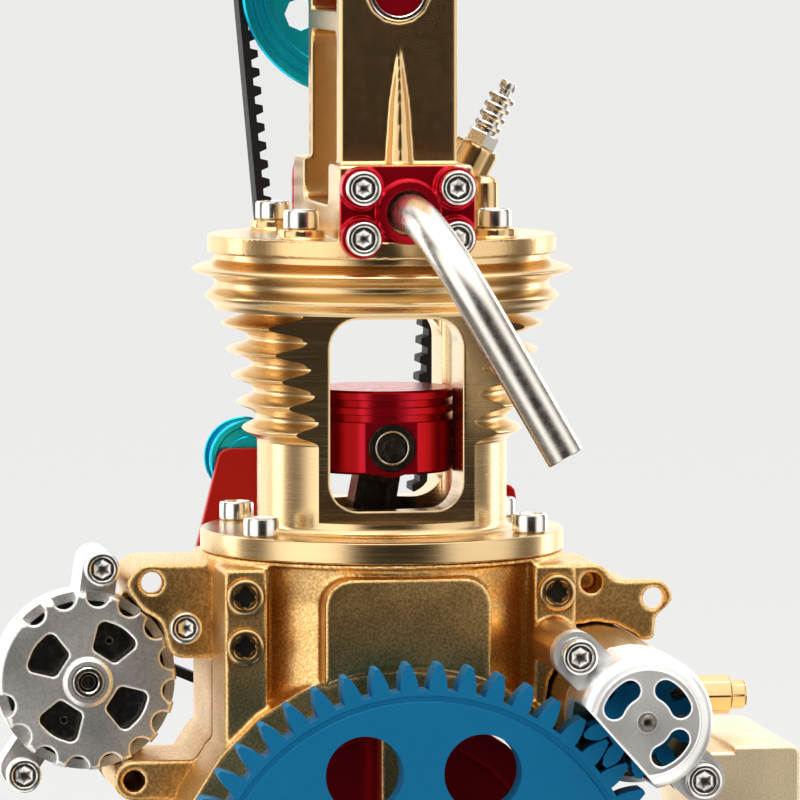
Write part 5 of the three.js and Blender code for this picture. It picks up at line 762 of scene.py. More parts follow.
def cast(
    name: str,
    solid: bpy.types.Object,
    added: Iterable[bpy.types.Object] = (),
    fineness: float = 0.34 * MM,
    rounds: int = 9,
) -> bpy.types.Object:
    """Casts a solid anew with all its inner and outer corners softened.

    Args:
        name: The new piece's name.
        solid: The solid to follow.
        added: Closed pieces that are cast in with it, and taken away.
        fineness: The size of the skin's faces, in metres.
        rounds: How often the skin is evened out.

    Returns:
        The new piece.
    """
    shape = bmesh.new()
    shape.from_mesh(solid.data)
    shape.transform(solid.matrix_world)
    for other in list(added):
        shape.from_mesh(other.data)
        bpy.data.objects.remove(other)
    piece = link(name, shape)
    skin = piece.modifiers.new("skin", "REMESH")
    skin.mode = "VOXEL"
    skin.voxel_size = fineness
    even = piece.modifiers.new("even", "SMOOTH")
    even.factor = CAST_STEP
    even.iterations = rounds
    sparse = piece.modifiers.new("sparse", "DECIMATE")
    sparse.ratio = CAST_KEPT
    return settle(piece)


def crease(piece: bpy.types.Object, limit: float = 28.0) -> None:
    """Shades a piece smooth, with its sharp edges kept."""
    for face in piece.data.polygons:
        face.use_smooth = True
    piece.data.set_sharp_from_angle(angle=math.radians(limit))


def dress(piece: bpy.types.Object, *finishes: Finish) -> None:
    """Gives a piece its materials in order."""
    piece.data.materials.clear()
    for finish in finishes:
        piece.data.materials.append(finish.material())


# Fasteners


@dataclass
class Screw:
    """A socket screw with a round head, a sunk ring, a socket and a plain shank.

    The shares say how far the head's upper edge runs in and down, as shares of the broken edge, how the
    sunk ring slopes, as a share of its depth, and how the socket's mouth and its cone are cut.
    """

    head_radius: float = 2.75 * MM
    head_height: float = 3.0 * MM
    socket: float = 2.5 * MM
    socket_depth: float = 1.7 * MM
    dish: float = 0.45 * MM
    shank_radius: float = 1.45 * MM
    shank_length: float = 6.0 * MM
    edge: float = 0.3 * MM
    points: int = 0
    steps: int = 72
    crown_shares: tuple[Flat, ...] = ((0.0, 1.4), (0.35, 0.45), (1.2, 0.0), (2.1, 0.0))
    dish_share: float = 0.6
    mouth_shares: Flat = (0.5, 0.6)
    cone_share: float = 0.2
    wave_share: float = 1 / 11

    def socket_edge(self) -> Callable[[float], float]:
        """Returns the socket's radius by angle: a hexagon, or a star if the screw has points."""
        if self.points:
            return star(self.socket / 2, self.socket * self.wave_share, self.points)
        return hexagon(self.socket)

    def rings(self) -> list[Ring]:
        """Lists the screw's rings, from the shank's end, over the head and down into the socket.

        Returns:
            The rings.
        """
        mouth, top = self.socket_edge(), self.head_height
        crown = [(self.head_radius - inset * self.edge, top - drop * self.edge) for inset, drop in self.crown_shares]
        floor = top - self.dish
        turned = [
            (self.shank_radius - self.edge, -self.shank_length),
            (self.shank_radius, -self.shank_length + self.edge),
            (self.shank_radius, 0),
            (self.head_radius - self.edge, 0),
            (self.head_radius, self.edge),
            *crown,
            (crown[-1][0] - self.dish * self.dish_share, floor),
        ]
        wider, deeper = (share * self.edge for share in self.mouth_shares)
        return [
            *(circle(radius, height, self.steps) for radius, height in turned),
            polygon(lambda turn: mouth(turn) + wider, floor, self.steps),
            polygon(mouth, floor - deeper, self.steps),
            polygon(mouth, top - self.socket_depth, self.steps),
            circle(self.socket * self.cone_share, top - self.socket_depth - self.edge, self.steps),
        ]

    def make(self, name: str, seat: Vector, axis: Axis, finish: Finish, body: str) -> bpy.types.Object:
        """Makes the screw on its seat.

        Args:
            name: The piece's name.
            seat: The middle of the face that the head stands on.
            axis: The way that the head points.
            finish: The screw's finish.
            body: The body that it rides on.

        Returns:
            The new screw.
        """
        piece = loft(name, self.rings())
        piece.data.transform(Matrix.Translation(seat) @ axis.turn())
        crease(piece)
        dress(piece, finish)
        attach(piece, body)
        return piece


# Studio


@dataclass(frozen=True)
class Glow:
    """A soft patch of light or shade in the air round the engine."""

    heading: tuple[float, float, float]
    start: float
    full: float
    strength: float


@dataclass(frozen=True)
class Lamp:
    """A soft lamp: where it hangs, its width and height, and its power in watts."""

    name: str
    place: tuple[float, float, float]
    size: tuple[float, float]
    power: float


class View(Enum):
    """How the picture's light is turned into its tones."""

    TRANSFORM = "Standard"
    LOOK = "Medium High Contrast"


@dataclass
class Studio:
    """The pale paper bowl, the soft lamps and the camera at the photograph's angle."""

    azimuth: float = math.radians(-9.0)
    elevation: float = math.radians(4.26)
    distance: float = 1.026
    target: Vector = field(default_factory=lambda: Vector((0.00292, 0.0, 0.1365)))
    focal_share: float = 6500 / 800
    sensor: float = 36.0
    reach: float = 20.0
    paper_middle: float = 0.002
    floor_radius: float = 1.2
    sweep: float = 5.0
    wall_height: float = 6.5
    sweep_steps: int = 16
    round_steps: int = 96
    paper_crease: float = 80.0
    paper: Colour = (0.13, 0.13, 0.13)
    paper_glow: float = 0.56
    paper_grain: tuple[float, float] = (400.0, 3.0)
    paper_roughness: tuple[float, float] = (0.9, 1.0)
    dim: Colour = (0.38, 0.29, 0.22)
    bright: Colour = (1.0, 0.985, 0.96)
    base: Glow = Glow((0.0, 0.0, 1.0), -2.0, -1.5, 0.30)
    front: Glow = Glow((0.0, -1.0, 0.0), 0.84, 0.965, 0.84)
    glows: tuple[Glow, ...] = (
        Glow((0.0, 1.0, 0.0), 0.55, 0.85, 0.85),
        Glow((0.0, -0.15, 1.0), 0.40, 0.75, 1.10),
        Glow((0.0, -0.35, -1.0), 0.45, 0.80, 0.75),
        Glow((-0.80, 0.60, 0.0), 0.86, 0.95, 0.20),
        Glow((0.80, 0.60, 0.0), 0.86, 0.95, 0.20),
        Glow((-0.84, -0.54, 0.05), 0.82, 0.95, 1.05),
        Glow((0.84, -0.54, 0.05), 0.82, 0.95, 0.70),
    )
    lamps: tuple[Lamp, ...] = (
        Lamp("left_rim", (-0.80, 0.45, 0.30), (0.25, 0.8), 1.4),
        Lamp("right_rim", (0.80, 0.45, 0.30), (0.25, 0.8), 1.4),
        Lamp("top_panel", (0.0, -0.10, 0.95), (0.7, 0.35), 2.4),
    )

    def floor(self) -> None:
        """Makes one round sheet of pale paper that sweeps up on all sides of the engine."""
        line = [(self.paper_middle, 0.0), (self.floor_radius / 2, 0.0), (self.floor_radius, 0.0)]
        for step in range(1, self.sweep_steps + 1):
            turn = math.pi / 2 * step / self.sweep_steps
            line.append((self.floor_radius + self.sweep * math.sin(turn), self.sweep * (1 - math.cos(turn))))
        line.append((self.floor_radius + self.sweep, self.wall_height))
        shape = bmesh.new()
        rows = [[shape.verts.new(point) for point in circle(*place, self.round_steps)] for place in line]
        shape.faces.new(rows[0])
        for lower, upper in zip(rows, rows[1:]):
            for index, corner in enumerate(lower):
                following = (index + 1) % self.round_steps
                shape.faces.new((corner, upper[index], upper[following], lower[following]))
        paper = link("paper", shape)
        crease(paper, self.paper_crease)
        graph = Graph("studio_paper")
        grain = graph.noise(graph.place(EVEN), *self.paper_grain)
        paper.data.materials.append(
            graph.surface(
                {
                    "Base Color": (*self.paper, 1),
                    "Roughness": graph.spread(grain, *self.paper_roughness),
                    "Specular IOR Level": 0.0,
                    "Emission Color": (1, 1, 1, 1),
                    "Emission Strength": self.paper_glow,
                }
            )
        )
        paper.visible_glossy = False
        paper.visible_diffuse = False
        paper.visible_shadow = False
        paper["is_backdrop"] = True

    def lamp(self, lamp: Lamp) -> None:
        """Hangs one soft lamp that points at the engine.

        Args:
            lamp: The lamp.
        """
        data = bpy.data.lights.new(lamp.name, "AREA")
        data.shape = "RECTANGLE"
        data.size, data.size_y = lamp.size
        data.energy = lamp.power
        hung = bpy.data.objects.new(lamp.name, data)
        hung.location = lamp.place
        hung.rotation_euler = (self.target - Vector(lamp.place)).to_track_quat("-Z", "Y").to_euler()
        bpy.context.scene.collection.objects.link(hung)

    def patch(self, graph: Graph, heading: bpy.types.NodeSocket, glow: Glow) -> bpy.types.NodeSocket:
        """Adds one soft patch of light to the air.

        Args:
            graph: The air's node tree.
            heading: The way that is looked.
            glow: The patch.

        Returns:
            How much of the patch's light comes that way.
        """
        dot = graph.add("ShaderNodeVectorMath", operation="DOT_PRODUCT")
        graph.tree.links.new(heading, dot.inputs[0])
        dot.inputs[1].default_value = Vector(glow.heading).normalized()
        values = {"Value": dot.outputs["Value"], "From Min": glow.start, "From Max": glow.full}
        ease = graph.add("ShaderNodeMapRange", {**values, "To Max": glow.strength}, interpolation_type="SMOOTHSTEP")
        return ease.outputs["Result"]

    def air(self) -> None:
        """Sets the light that comes from all round: dim ahead, pale above, below and behind."""
        world = bpy.data.worlds.new("studio_air")
        world.use_nodes = True
        graph = Graph.over(world.node_tree)
        heading = graph.add("ShaderNodeTexCoord").outputs["Generated"]
        level = self.patch(graph, heading, self.base)
        for glow in self.glows:
            level = graph.sum("ADD", level, self.patch(graph, heading, glow))
        front = self.patch(graph, heading, self.front)
        shade = graph.add("ShaderNodeMapRange", {"Value": front, "To Min": 1.0, "To Max": 0.0})
        strength = graph.sum("MULTIPLY", level, shade.outputs["Result"])
        colour = graph.blend(strength, self.dim, self.bright)
        background = graph.add("ShaderNodeBackground", {"Color": colour, "Strength": strength})
        output = graph.add("ShaderNodeOutputWorld")
        graph.tree.links.new(background.outputs["Background"], output.inputs["Surface"])
        bpy.context.scene.world = world

    def camera(self) -> None:
        """Sets the camera at the photograph's viewing angle."""
        data = bpy.data.cameras.new("viewpoint")
        data.sensor_width = self.sensor
        data.lens = self.sensor * self.focal_share
        data.clip_end = self.reach
        camera = bpy.data.objects.new("viewpoint", data)
        flat = math.cos(self.elevation) * self.distance
        offset = Vector(
            (math.sin(self.azimuth) * flat, -math.cos(self.azimuth) * flat, math.sin(self.elevation) * self.distance)
        )
        camera.location = self.target + offset
        camera.rotation_euler = (-offset).to_track_quat("-Z", "Y").to_euler()
        bpy.context.scene.collection.objects.link(camera)
        bpy.context.scene.camera = camera

    def build(self) -> None:
        """Sets up the whole studio."""
        self.camera()
        self.floor()
        self.air()
        for lamp in self.lamps:
            self.lamp(lamp)
        settings = bpy.context.scene.view_settings
        settings.view_transform = View.TRANSFORM.value
        settings.look = View.LOOK.value


# Sub-assemblies


@dataclass
class Assembly:
    """A group of solids that share a body and are dressed together."""

    nodes: dict[str, bpy.types.Object]
    edge: float = 0.25 * MM
    body: str = "engine_frame"

    def solid(self, name: str, finish: Finish, edge: float | None = None, limit: float = 32.0) -> None:
        """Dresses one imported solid.

        Args:
            name: The solid's name.
            finish: Its finish.
            edge: The width of its broken edges, or None for the group's own.
            limit: The least angle that counts as an edge, in degrees.
        """
        piece = self.nodes[name]
        soften(piece, self.edge if edge is None else edge, limit=limit)
        dress(piece, finish)

    def trim(
        self,
        piece: bpy.types.Object,
        finish: Finish,
        body: str | None = None,
        stands_for: str | None = None,
        edge: float | None = None,
    ) -> bpy.types.Object:
        """Finishes a made piece.

        Args:
            piece: The piece.
            finish: Its finish.
            body: The body that it rides on, or None for the group's own.
            stands_for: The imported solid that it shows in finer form, if any.
            edge: The width of its broken edges, or None to keep its edges as they are.

        Returns:
            The piece.
        """
        if edge is None:
            crease(piece)
        else:
            soften(piece, edge)
        dress(piece, finish)
        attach(piece, body or self.body)
        if stands_for:
            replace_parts(piece, stands_for)
        return piece

    def screws(self, names: Iterable[str], screw: Screw, axis: Axis, finish: Finish) -> None:
        """Puts a detailed screw in the place of each packed one.

        Args:
            names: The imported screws' names.
            screw: The detailed screw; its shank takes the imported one's length.
            axis: The way that the heads point.
            finish: Their finish.
        """
        along = 2 if axis is Axis.UP else 1
        for name in names:
            low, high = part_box(name)
            length = (high - low)[along]
            seat = (low + high) / 2
            seat[along] = high[along] if axis is not Axis.FRONT else low[along]
            seat -= axis.value * screw.head_height
            made = replace(screw, shank_length=length - screw.head_height)
            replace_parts(made.make(f"{name}_detail", seat, axis, finish, self.body), name)

    def build(self) -> None:
        """Builds the group."""
        raise NotImplementedError


@dataclass
class Stand(Assembly):
    """The base plate on its four feet, and the pan under the crankcase."""

    plate_edge: float = 0.6 * MM
    foot_edge: float = 0.5 * MM
    pan_edge: float = 0.5 * MM

    def build(self) -> None:
        """Dresses the stand."""
        self.solid("base_plate", BLACK_COAT, self.plate_edge)
        for name in self.nodes:
            if name.startswith("foot_"):
                self.solid(name, RUBBER, self.foot_edge)
        self.solid("oil_pan", GOLD, self.pan_edge)


@dataclass
class Crankcase(Assembly):
    """The two blasted halves of the case, with the screws that hold them together."""

    seat_face: float = -19.4 * MM
    column_x: float = 24.5 * MM
    heights: tuple[float, float] = (107.7 * MM, 100.0 * MM)
    ear_place: Vector = field(default_factory=lambda: Vector((-31.9 * MM, -4.0 * MM, 101.5 * MM)))
    throat_radius: float = 25.2 * MM
    throat_foot: float = 84.0 * MM
    flare_foot: float = 106.5 * MM
    flare_radius: float = 26.4 * MM
    flare_top: float = 112.4 * MM
    ring_foot: float = 109.0 * MM
    column_inner: float = 20.8 * MM
    boss_half_width: float = 13.0 * MM
    boss_top: float = 110.9 * MM
    boss_face: float = -27.4 * MM
    boss_corner: float = 4.2 * MM
    split: float = -4.0 * MM
    split_gap: float = 0.05 * MM
    drum_radius: float = 36.3 * MM
    drum_front: float = -21.5 * MM
    chamber_radius: float = 34.0 * MM
    bore: float = 12.2 * MM
    throat_core: float = 0.5 * MM
    boss_back: float = -17.0 * MM
    boss_rise: float = 25.0 * MM
    boss_edge: float = 2.2 * MM
    boss_edge_faces: int = 5
    boss_edge_limit: float = math.radians(40)
    ring_inner: float = 24.0 * MM
    ring_outer: float = 40.0 * MM
    ring_back: float = 6.0 * MM
    wide: float = 60.0 * MM
    round_steps: int = 96
    bore_steps: int = 64
    # Painted shade: a thin black disc that lies at the floor of each case screw's socket
    shade_disc_profile: tuple[Flat, ...] = ((0.2, 0.0), (1.62, 0.0), (1.62, 0.05), (0.2, 0.05))
    shade_disc_sink: float = 0.18 * MM
    shaft_height: float = 60.5 * MM
    sunk: Screw = field(
        default_factory=lambda: Screw(
            head_radius=2.9 * MM,
            head_height=1.8 * MM,
            socket=2.9 * MM,
            socket_depth=1.6 * MM,
            dish=0.5 * MM,
            shank_radius=1.2 * MM,
            shank_length=0.6 * MM,
            edge=0.36 * MM,
            points=4,
        )
    )
    ear_screw: Screw = field(
        default_factory=lambda: Screw(
            head_radius=2.55 * MM, head_height=2.4 * MM, socket=2.2 * MM, shank_length=2.0 * MM
        )
    )

    def column(self, half: float) -> Outline:
        """Returns a tall upright strip round the middle, as seen from the front."""
        return [(-half, 0.0), (half, 0.0), (half, 2 * self.wide), (-half, 2 * self.wide)]

    def drum(self, radius: float) -> Outline:
        """Returns a circle round the crankshaft, as seen from the front."""
        return disc((0.0, self.shaft_height), radius, self.round_steps)

    def throat(self) -> bpy.types.Object:
        """Turns the case's throat, flared out to the top, and cuts it to the front half.

        Returns:
            The throat.
        """
        core, bore = self.throat_core, self.bore
        profile = [
            (core, self.throat_foot),
            (self.throat_radius, self.throat_foot),
            (self.throat_radius, self.flare_foot),
            (self.flare_radius, self.flare_top),
            (core, self.flare_top),
        ]
        piece = lathe("throat", profile, ORIGIN, Axis.UP, self.round_steps)
        inner = [(core, 0.0), (bore, 0.0), (bore, 2 * self.wide), (core, 2 * self.wide)]
        cuts = [
            slab("behind", self.column(self.wide), self.split - self.split_gap, self.wide),
            slab("drum_front", self.drum(self.drum_radius), -self.wide, self.drum_front),
            slab("chamber", self.drum(self.chamber_radius), -self.wide, self.wide),
            lathe("bore", inner, ORIGIN, Axis.UP, self.bore_steps),
        ]
        return combine(piece, Work.CUT, cuts)

    def boss(self) -> bpy.types.Object:
        """Mills the raised field on the front of the throat, down to the drum.

        Returns:
            The field.
        """
        half, top, foot = self.boss_half_width, self.boss_top, self.shaft_height + self.boss_rise
        corner = self.boss_corner
        outline = rounded([(-half, foot, 0.0), (half, foot, 0.0), (half, top, corner), (-half, top, corner)])
        piece = slab("boss", outline, self.boss_face, self.boss_back)
        for face in piece.data.polygons:
            face.use_smooth = False
        soft = piece.modifiers.new("edges", "BEVEL")
        soft.width, soft.segments, soft.limit_method = self.boss_edge, self.boss_edge_faces, "ANGLE"
        soft.angle_limit = self.boss_edge_limit
        return combine(piece, Work.CUT, [slab("drum_cut", self.drum(self.drum_radius), -self.wide, 0.0)])

    def front(self) -> bpy.types.Object:
        """Casts the front half, with its throat flared out to the top and its boss stood proud.

        Returns:
            The front half.
        """
        band = [
            (self.ring_inner, self.ring_foot),
            (self.ring_outer, self.ring_foot),
            (self.ring_outer, self.flare_top),
            (self.ring_inner, self.flare_top),
        ]
        throat, boss = self.throat(), self.boss()
        ring = lathe("ring_cut", band, ORIGIN, Axis.UP, self.round_steps, closed=True)
        between = slab("between", self.column(self.column_inner), -self.wide, self.split - self.ring_back)
        solid = self.nodes["crankcase_front"].copy()
        solid.data = solid.data.copy()
        bpy.context.scene.collection.objects.link(solid)
        combine(solid, Work.CUT, [combine(ring, Work.OVERLAP, [between])])
        piece = cast("crankcase_front_cast", solid, [throat, boss])
        bpy.data.objects.remove(solid)
        return piece

    def build(self) -> None:
        """Dresses the case."""
        self.trim(self.front(), BLASTED_GOLD, stands_for="crankcase_front")
        back = cast("crankcase_back_cast", self.nodes["crankcase_back"])
        self.trim(back, BLASTED_GOLD, stands_for="crankcase_back")
        places = [(-self.column_x, height) for height in self.heights] + [(self.column_x, self.heights[0])]
        for number, (x, z) in enumerate(places, 1):
            self.sunk.make(f"case_screw_{number}", Vector((x, self.seat_face, z)), Axis.FRONT, GOLD, self.body)
            # A thin black disc sunk to the floor of each socket paints the shade inside it
            seat = Vector((x, self.seat_face - self.shade_disc_sink, z))
            socket = lathe(f"case_socket_shade_{number}", sized(self.shade_disc_profile), seat, Axis.FRONT)
            self.trim(socket, BLACK_COAT)
        self.ear_screw.make("ear_screw", self.ear_place, Axis.FRONT, STEEL, self.body)


@dataclass
class Cylinder(Assembly):
    """The finned cylinder with its sight window, and the head that stands on it."""

    foot: float = 113.2 * MM
    flange_height: float = 3.4 * MM
    flange_radius: float = 28.7 * MM
    barrel_radius: float = 19.7 * MM
    bore_radius: float = 11.6 * MM
    height: float = 46.8 * MM
    fillet: float = 1.5 * MM
    fins: int = 5
    first_fin: float = 19.1 * MM
    fin_pitch: float = 4.14 * MM
    fin_half: float = 2.0 * MM
    fin_radius: float = 22.1 * MM
    fin_growth: float = 0.83 * MM
    valley_growth: float = 0.4 * MM
    ring_rises: tuple[float, float] = (40.0 * MM, 44.2 * MM)
    ring_radii: tuple[float, float] = (27.9 * MM, 30.0 * MM)
    ring_valley: float = 26.4 * MM
    ring_half: float = 2.0 * MM
    flat_depth: float = 15.4 * MM
    flat_rise: float = 5.4 * MM
    flat_height: float = 32.4 * MM
    window_half_width: float = 10.46 * MM
    window_rise: float = 7.1 * MM
    window_height: float = 29.9 * MM
    window_corner: float = 4.4 * MM
    slope_width: float = 0.5 * MM
    slope_depth: float = 0.26 * MM
    cam_height: float = 201.2 * MM
    plate_radius: float = 27.5 * MM
    plate_inner: float = 19.0 * MM
    plate_foot: float = 160.0 * MM
    plate_top: float = 162.9 * MM
    wide: float = 40.0 * MM
    round_steps: int = 160
    rib_steps: int = 14
    rib_power: float = 1.45
    fillet_steps: int = 6
    rim_shares: tuple[Flat, ...] = ((0.0, 1.6), (0.5, 0.5), (1.6, 0.0))
    barrel_edge: float = 0.4 * MM
    cover_edge: float = 0.45 * MM
    head_fineness: float = 0.26 * MM
    head_rounds: int = 6
    ring_profile: tuple[Flat, ...] = (
        (3.95, -17.2), (3.95, -17.65), (4.1, -17.8), (4.55, -17.8), (4.75, -17.6), (4.75, -17.2)
    )

    def head_plate(self) -> bpy.types.Object:
        """Turns the round rim of the head's plate.

        Returns:
            The rim.
        """
        profile = [
            (self.plate_inner, self.plate_foot),
            (self.plate_radius, self.plate_foot),
            (self.plate_radius, self.plate_top),
            (self.plate_inner, self.plate_top),
        ]
        return lathe("head_plate", profile, ORIGIN, Axis.UP, self.round_steps, closed=True)

    def rib(self, middle: float, tip: float, root: float, half: float) -> Outline:
        """Draws one rounded fin, from its lower root to its upper one.

        Args:
            middle: The height of its tip.
            tip: The radius of its tip.
            root: The radius of its roots.
            half: Half of its height.

        Returns:
            The fin's profile.
        """
        points: Outline = []
        for step in range(self.rib_steps + 1):
            share = 2 * step / self.rib_steps - 1
            swell = ((1 + math.cos(math.pi * share)) / 2) ** self.rib_power
            points.append((root + (tip - root) * swell, middle + half * share))
        return points

    def profile(self) -> Outline:
        """Draws the cylinder from its foot, over flange, fins and rings to its crown.

        Returns:
            The closed profile, bore included.
        """
        edge = self.edge
        top = self.foot + self.flange_height
        points = [
            (self.bore_radius, self.foot),
            (self.flange_radius - edge, self.foot),
            (self.flange_radius, self.foot + edge),
        ]
        points += [(self.flange_radius - inset * edge, top - drop * edge) for inset, drop in self.rim_shares]
        reach = self.barrel_radius + self.fillet
        for step in range(self.fillet_steps + 1):
            turn = math.pi / 2 * step / self.fillet_steps
            points.append((reach - self.fillet * math.sin(turn), top + self.fillet * (1 - math.cos(turn))))
        for index in range(self.fins):
            points += self.rib(
                self.foot + self.first_fin + index * self.fin_pitch,
                self.fin_radius + index * self.fin_growth,
                self.barrel_radius + index * self.valley_growth,
                self.fin_half,
            )
        for rise, radius in zip(self.ring_rises, self.ring_radii):
            points += self.rib(self.foot + rise, radius, self.ring_valley, self.ring_half)
        crown = self.foot + self.height
        return points + [(self.ring_valley, crown), (self.bore_radius, crown)]

    def barrel(self) -> bpy.types.Object:
        """Turns the cylinder, then mills its two flats and its window.

        Returns:
            The cylinder.
        """
        piece = lathe("cylinder_turned", self.profile(), ORIGIN, Axis.UP, self.round_steps, closed=True)
        low = self.foot + self.flat_rise
        high = low + self.flat_height
        wide = self.wide
        cuts = []
        for number, (front, back) in enumerate(((-wide, -self.flat_depth), (self.flat_depth, wide)), 1):
            square = [(-wide, low), (wide, low), (wide, high), (-wide, high)]
            cuts.append(slab(f"flat_{number}", square, front, back))
        sill, lintel = self.foot + self.window_rise, self.foot + self.window_rise + self.window_height
        across, corner = self.window_half_width, self.window_corner
        frame = rounded(
            [(-across, sill, corner), (across, sill, corner), (across, lintel, corner), (-across, lintel, corner)]
        )
        cuts.append(slab("window", frame, -wide, wide))
        for word, way in (("front", 1), ("back", -1)):
            face = -way * self.flat_depth
            cuts.append(countersink(f"{word}_slope", frame, self.slope_width, self.slope_depth, face, way))
        return combine(piece, Work.CUT, cuts)

    def build(self) -> None:
        """Dresses the cylinder, the head and the cover."""
        self.trim(self.barrel(), TURNED_GOLD, stands_for="cylinder", edge=self.barrel_edge)
        packed = self.nodes["cylinder_head"]
        head = cast("cylinder_head_cast", packed, [self.head_plate()], self.head_fineness, self.head_rounds)
        self.trim(head, GOLD, stands_for="cylinder_head")
        seat = Vector((0, 0, self.cam_height))
        self.trim(lathe("cam_bearing_ring", sized(self.ring_profile), seat, Axis.BACK, closed=True), STEEL)
        self.solid("cam_cover", GOLD, self.cover_edge)
        bolts = [name for name in self.nodes if name.startswith(("cylinder_bolt_", "head_bolt_"))]
        self.screws(bolts, Screw(), Axis.UP, STEEL)


@dataclass
class ValveTrain(Assembly):
    """The camshaft, its pulley and the two valves with their springs."""

    cam_height: float = 201.2 * MM
    lift: float = 1.5 * MM
    coil_radius: float = 2.6 * MM
    wire_radius: float = 0.45 * MM
    turns: int = 6
    turn_steps: int = 30
    wire_steps: int = 12
    fine_edge: float = 0.15 * MM
    valve_edge: float = 0.1 * MM
    pulley_steps: int = 128
    rim_profile: tuple[Flat, ...] = (
        (13.05, 34.6), (13.05, 34.15), (13.3, 33.95), (13.9, 33.95), (14.15, 34.25), (14.5, 34.25), (14.75, 33.95),
        (15.5, 33.95), (15.75, 34.25), (16.1, 34.25), (16.35, 33.95), (17.25, 33.95), (17.6, 34.25), (17.6, 34.6),
    )
    hub_profile: tuple[Flat, ...] = ((2.1, 34.6), (2.1, 34.0), (2.4, 33.8), (4.1, 33.8), (4.5, 34.1), (4.5, 34.6))

    def spring(self, side: str) -> None:
        """Winds one valve spring.

        Args:
            side: The valve's side, exhaust or intake.
        """
        packed = self.nodes[f"{side}_valve_spring"]
        heights = [(packed.matrix_world @ Vector(corner)).z for corner in packed.bound_box]
        depths = [(packed.matrix_world @ Vector(corner)).y for corner in packed.bound_box]
        low, top, middle = min(heights), max(heights), (min(depths) + max(depths)) / 2
        steps = self.turn_steps * self.turns
        section = disc((self.coil_radius, 0.0), self.wire_radius, self.wire_steps)
        wire: list[Ring] = []
        for step in range(steps + 1):
            turn = FULL_TURN * self.turns * step / steps
            height = low + self.wire_radius + (top - low - 2 * self.wire_radius) * step / steps
            along, across = math.cos(turn), math.sin(turn)
            wire.append([Vector((reach * along, middle + reach * across, height + rise)) for reach, rise in section])
        coil = self.trim(loft(f"{side}_spring_coil", wire), STEEL, stands_for=f"{side}_valve_spring")
        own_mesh(coil)

    def build(self) -> None:
        """Dresses the valve train."""
        self.solid("camshaft", RED, self.fine_edge)
        self.solid("cam_pulley", CYAN, self.fine_edge)
        seat = Vector((0, 0, self.cam_height))
        for word, profile in (("rim", self.rim_profile), ("hub", self.hub_profile)):
            piece = lathe(f"cam_pulley_{word}", sized(profile), seat, Axis.BACK, self.pulley_steps, closed=True)
            self.trim(piece, CYAN, "camshaft_set")
        for side in ("exhaust", "intake"):
            self.solid(f"{side}_valve", STEEL, self.valve_edge)
            self.spring(side)


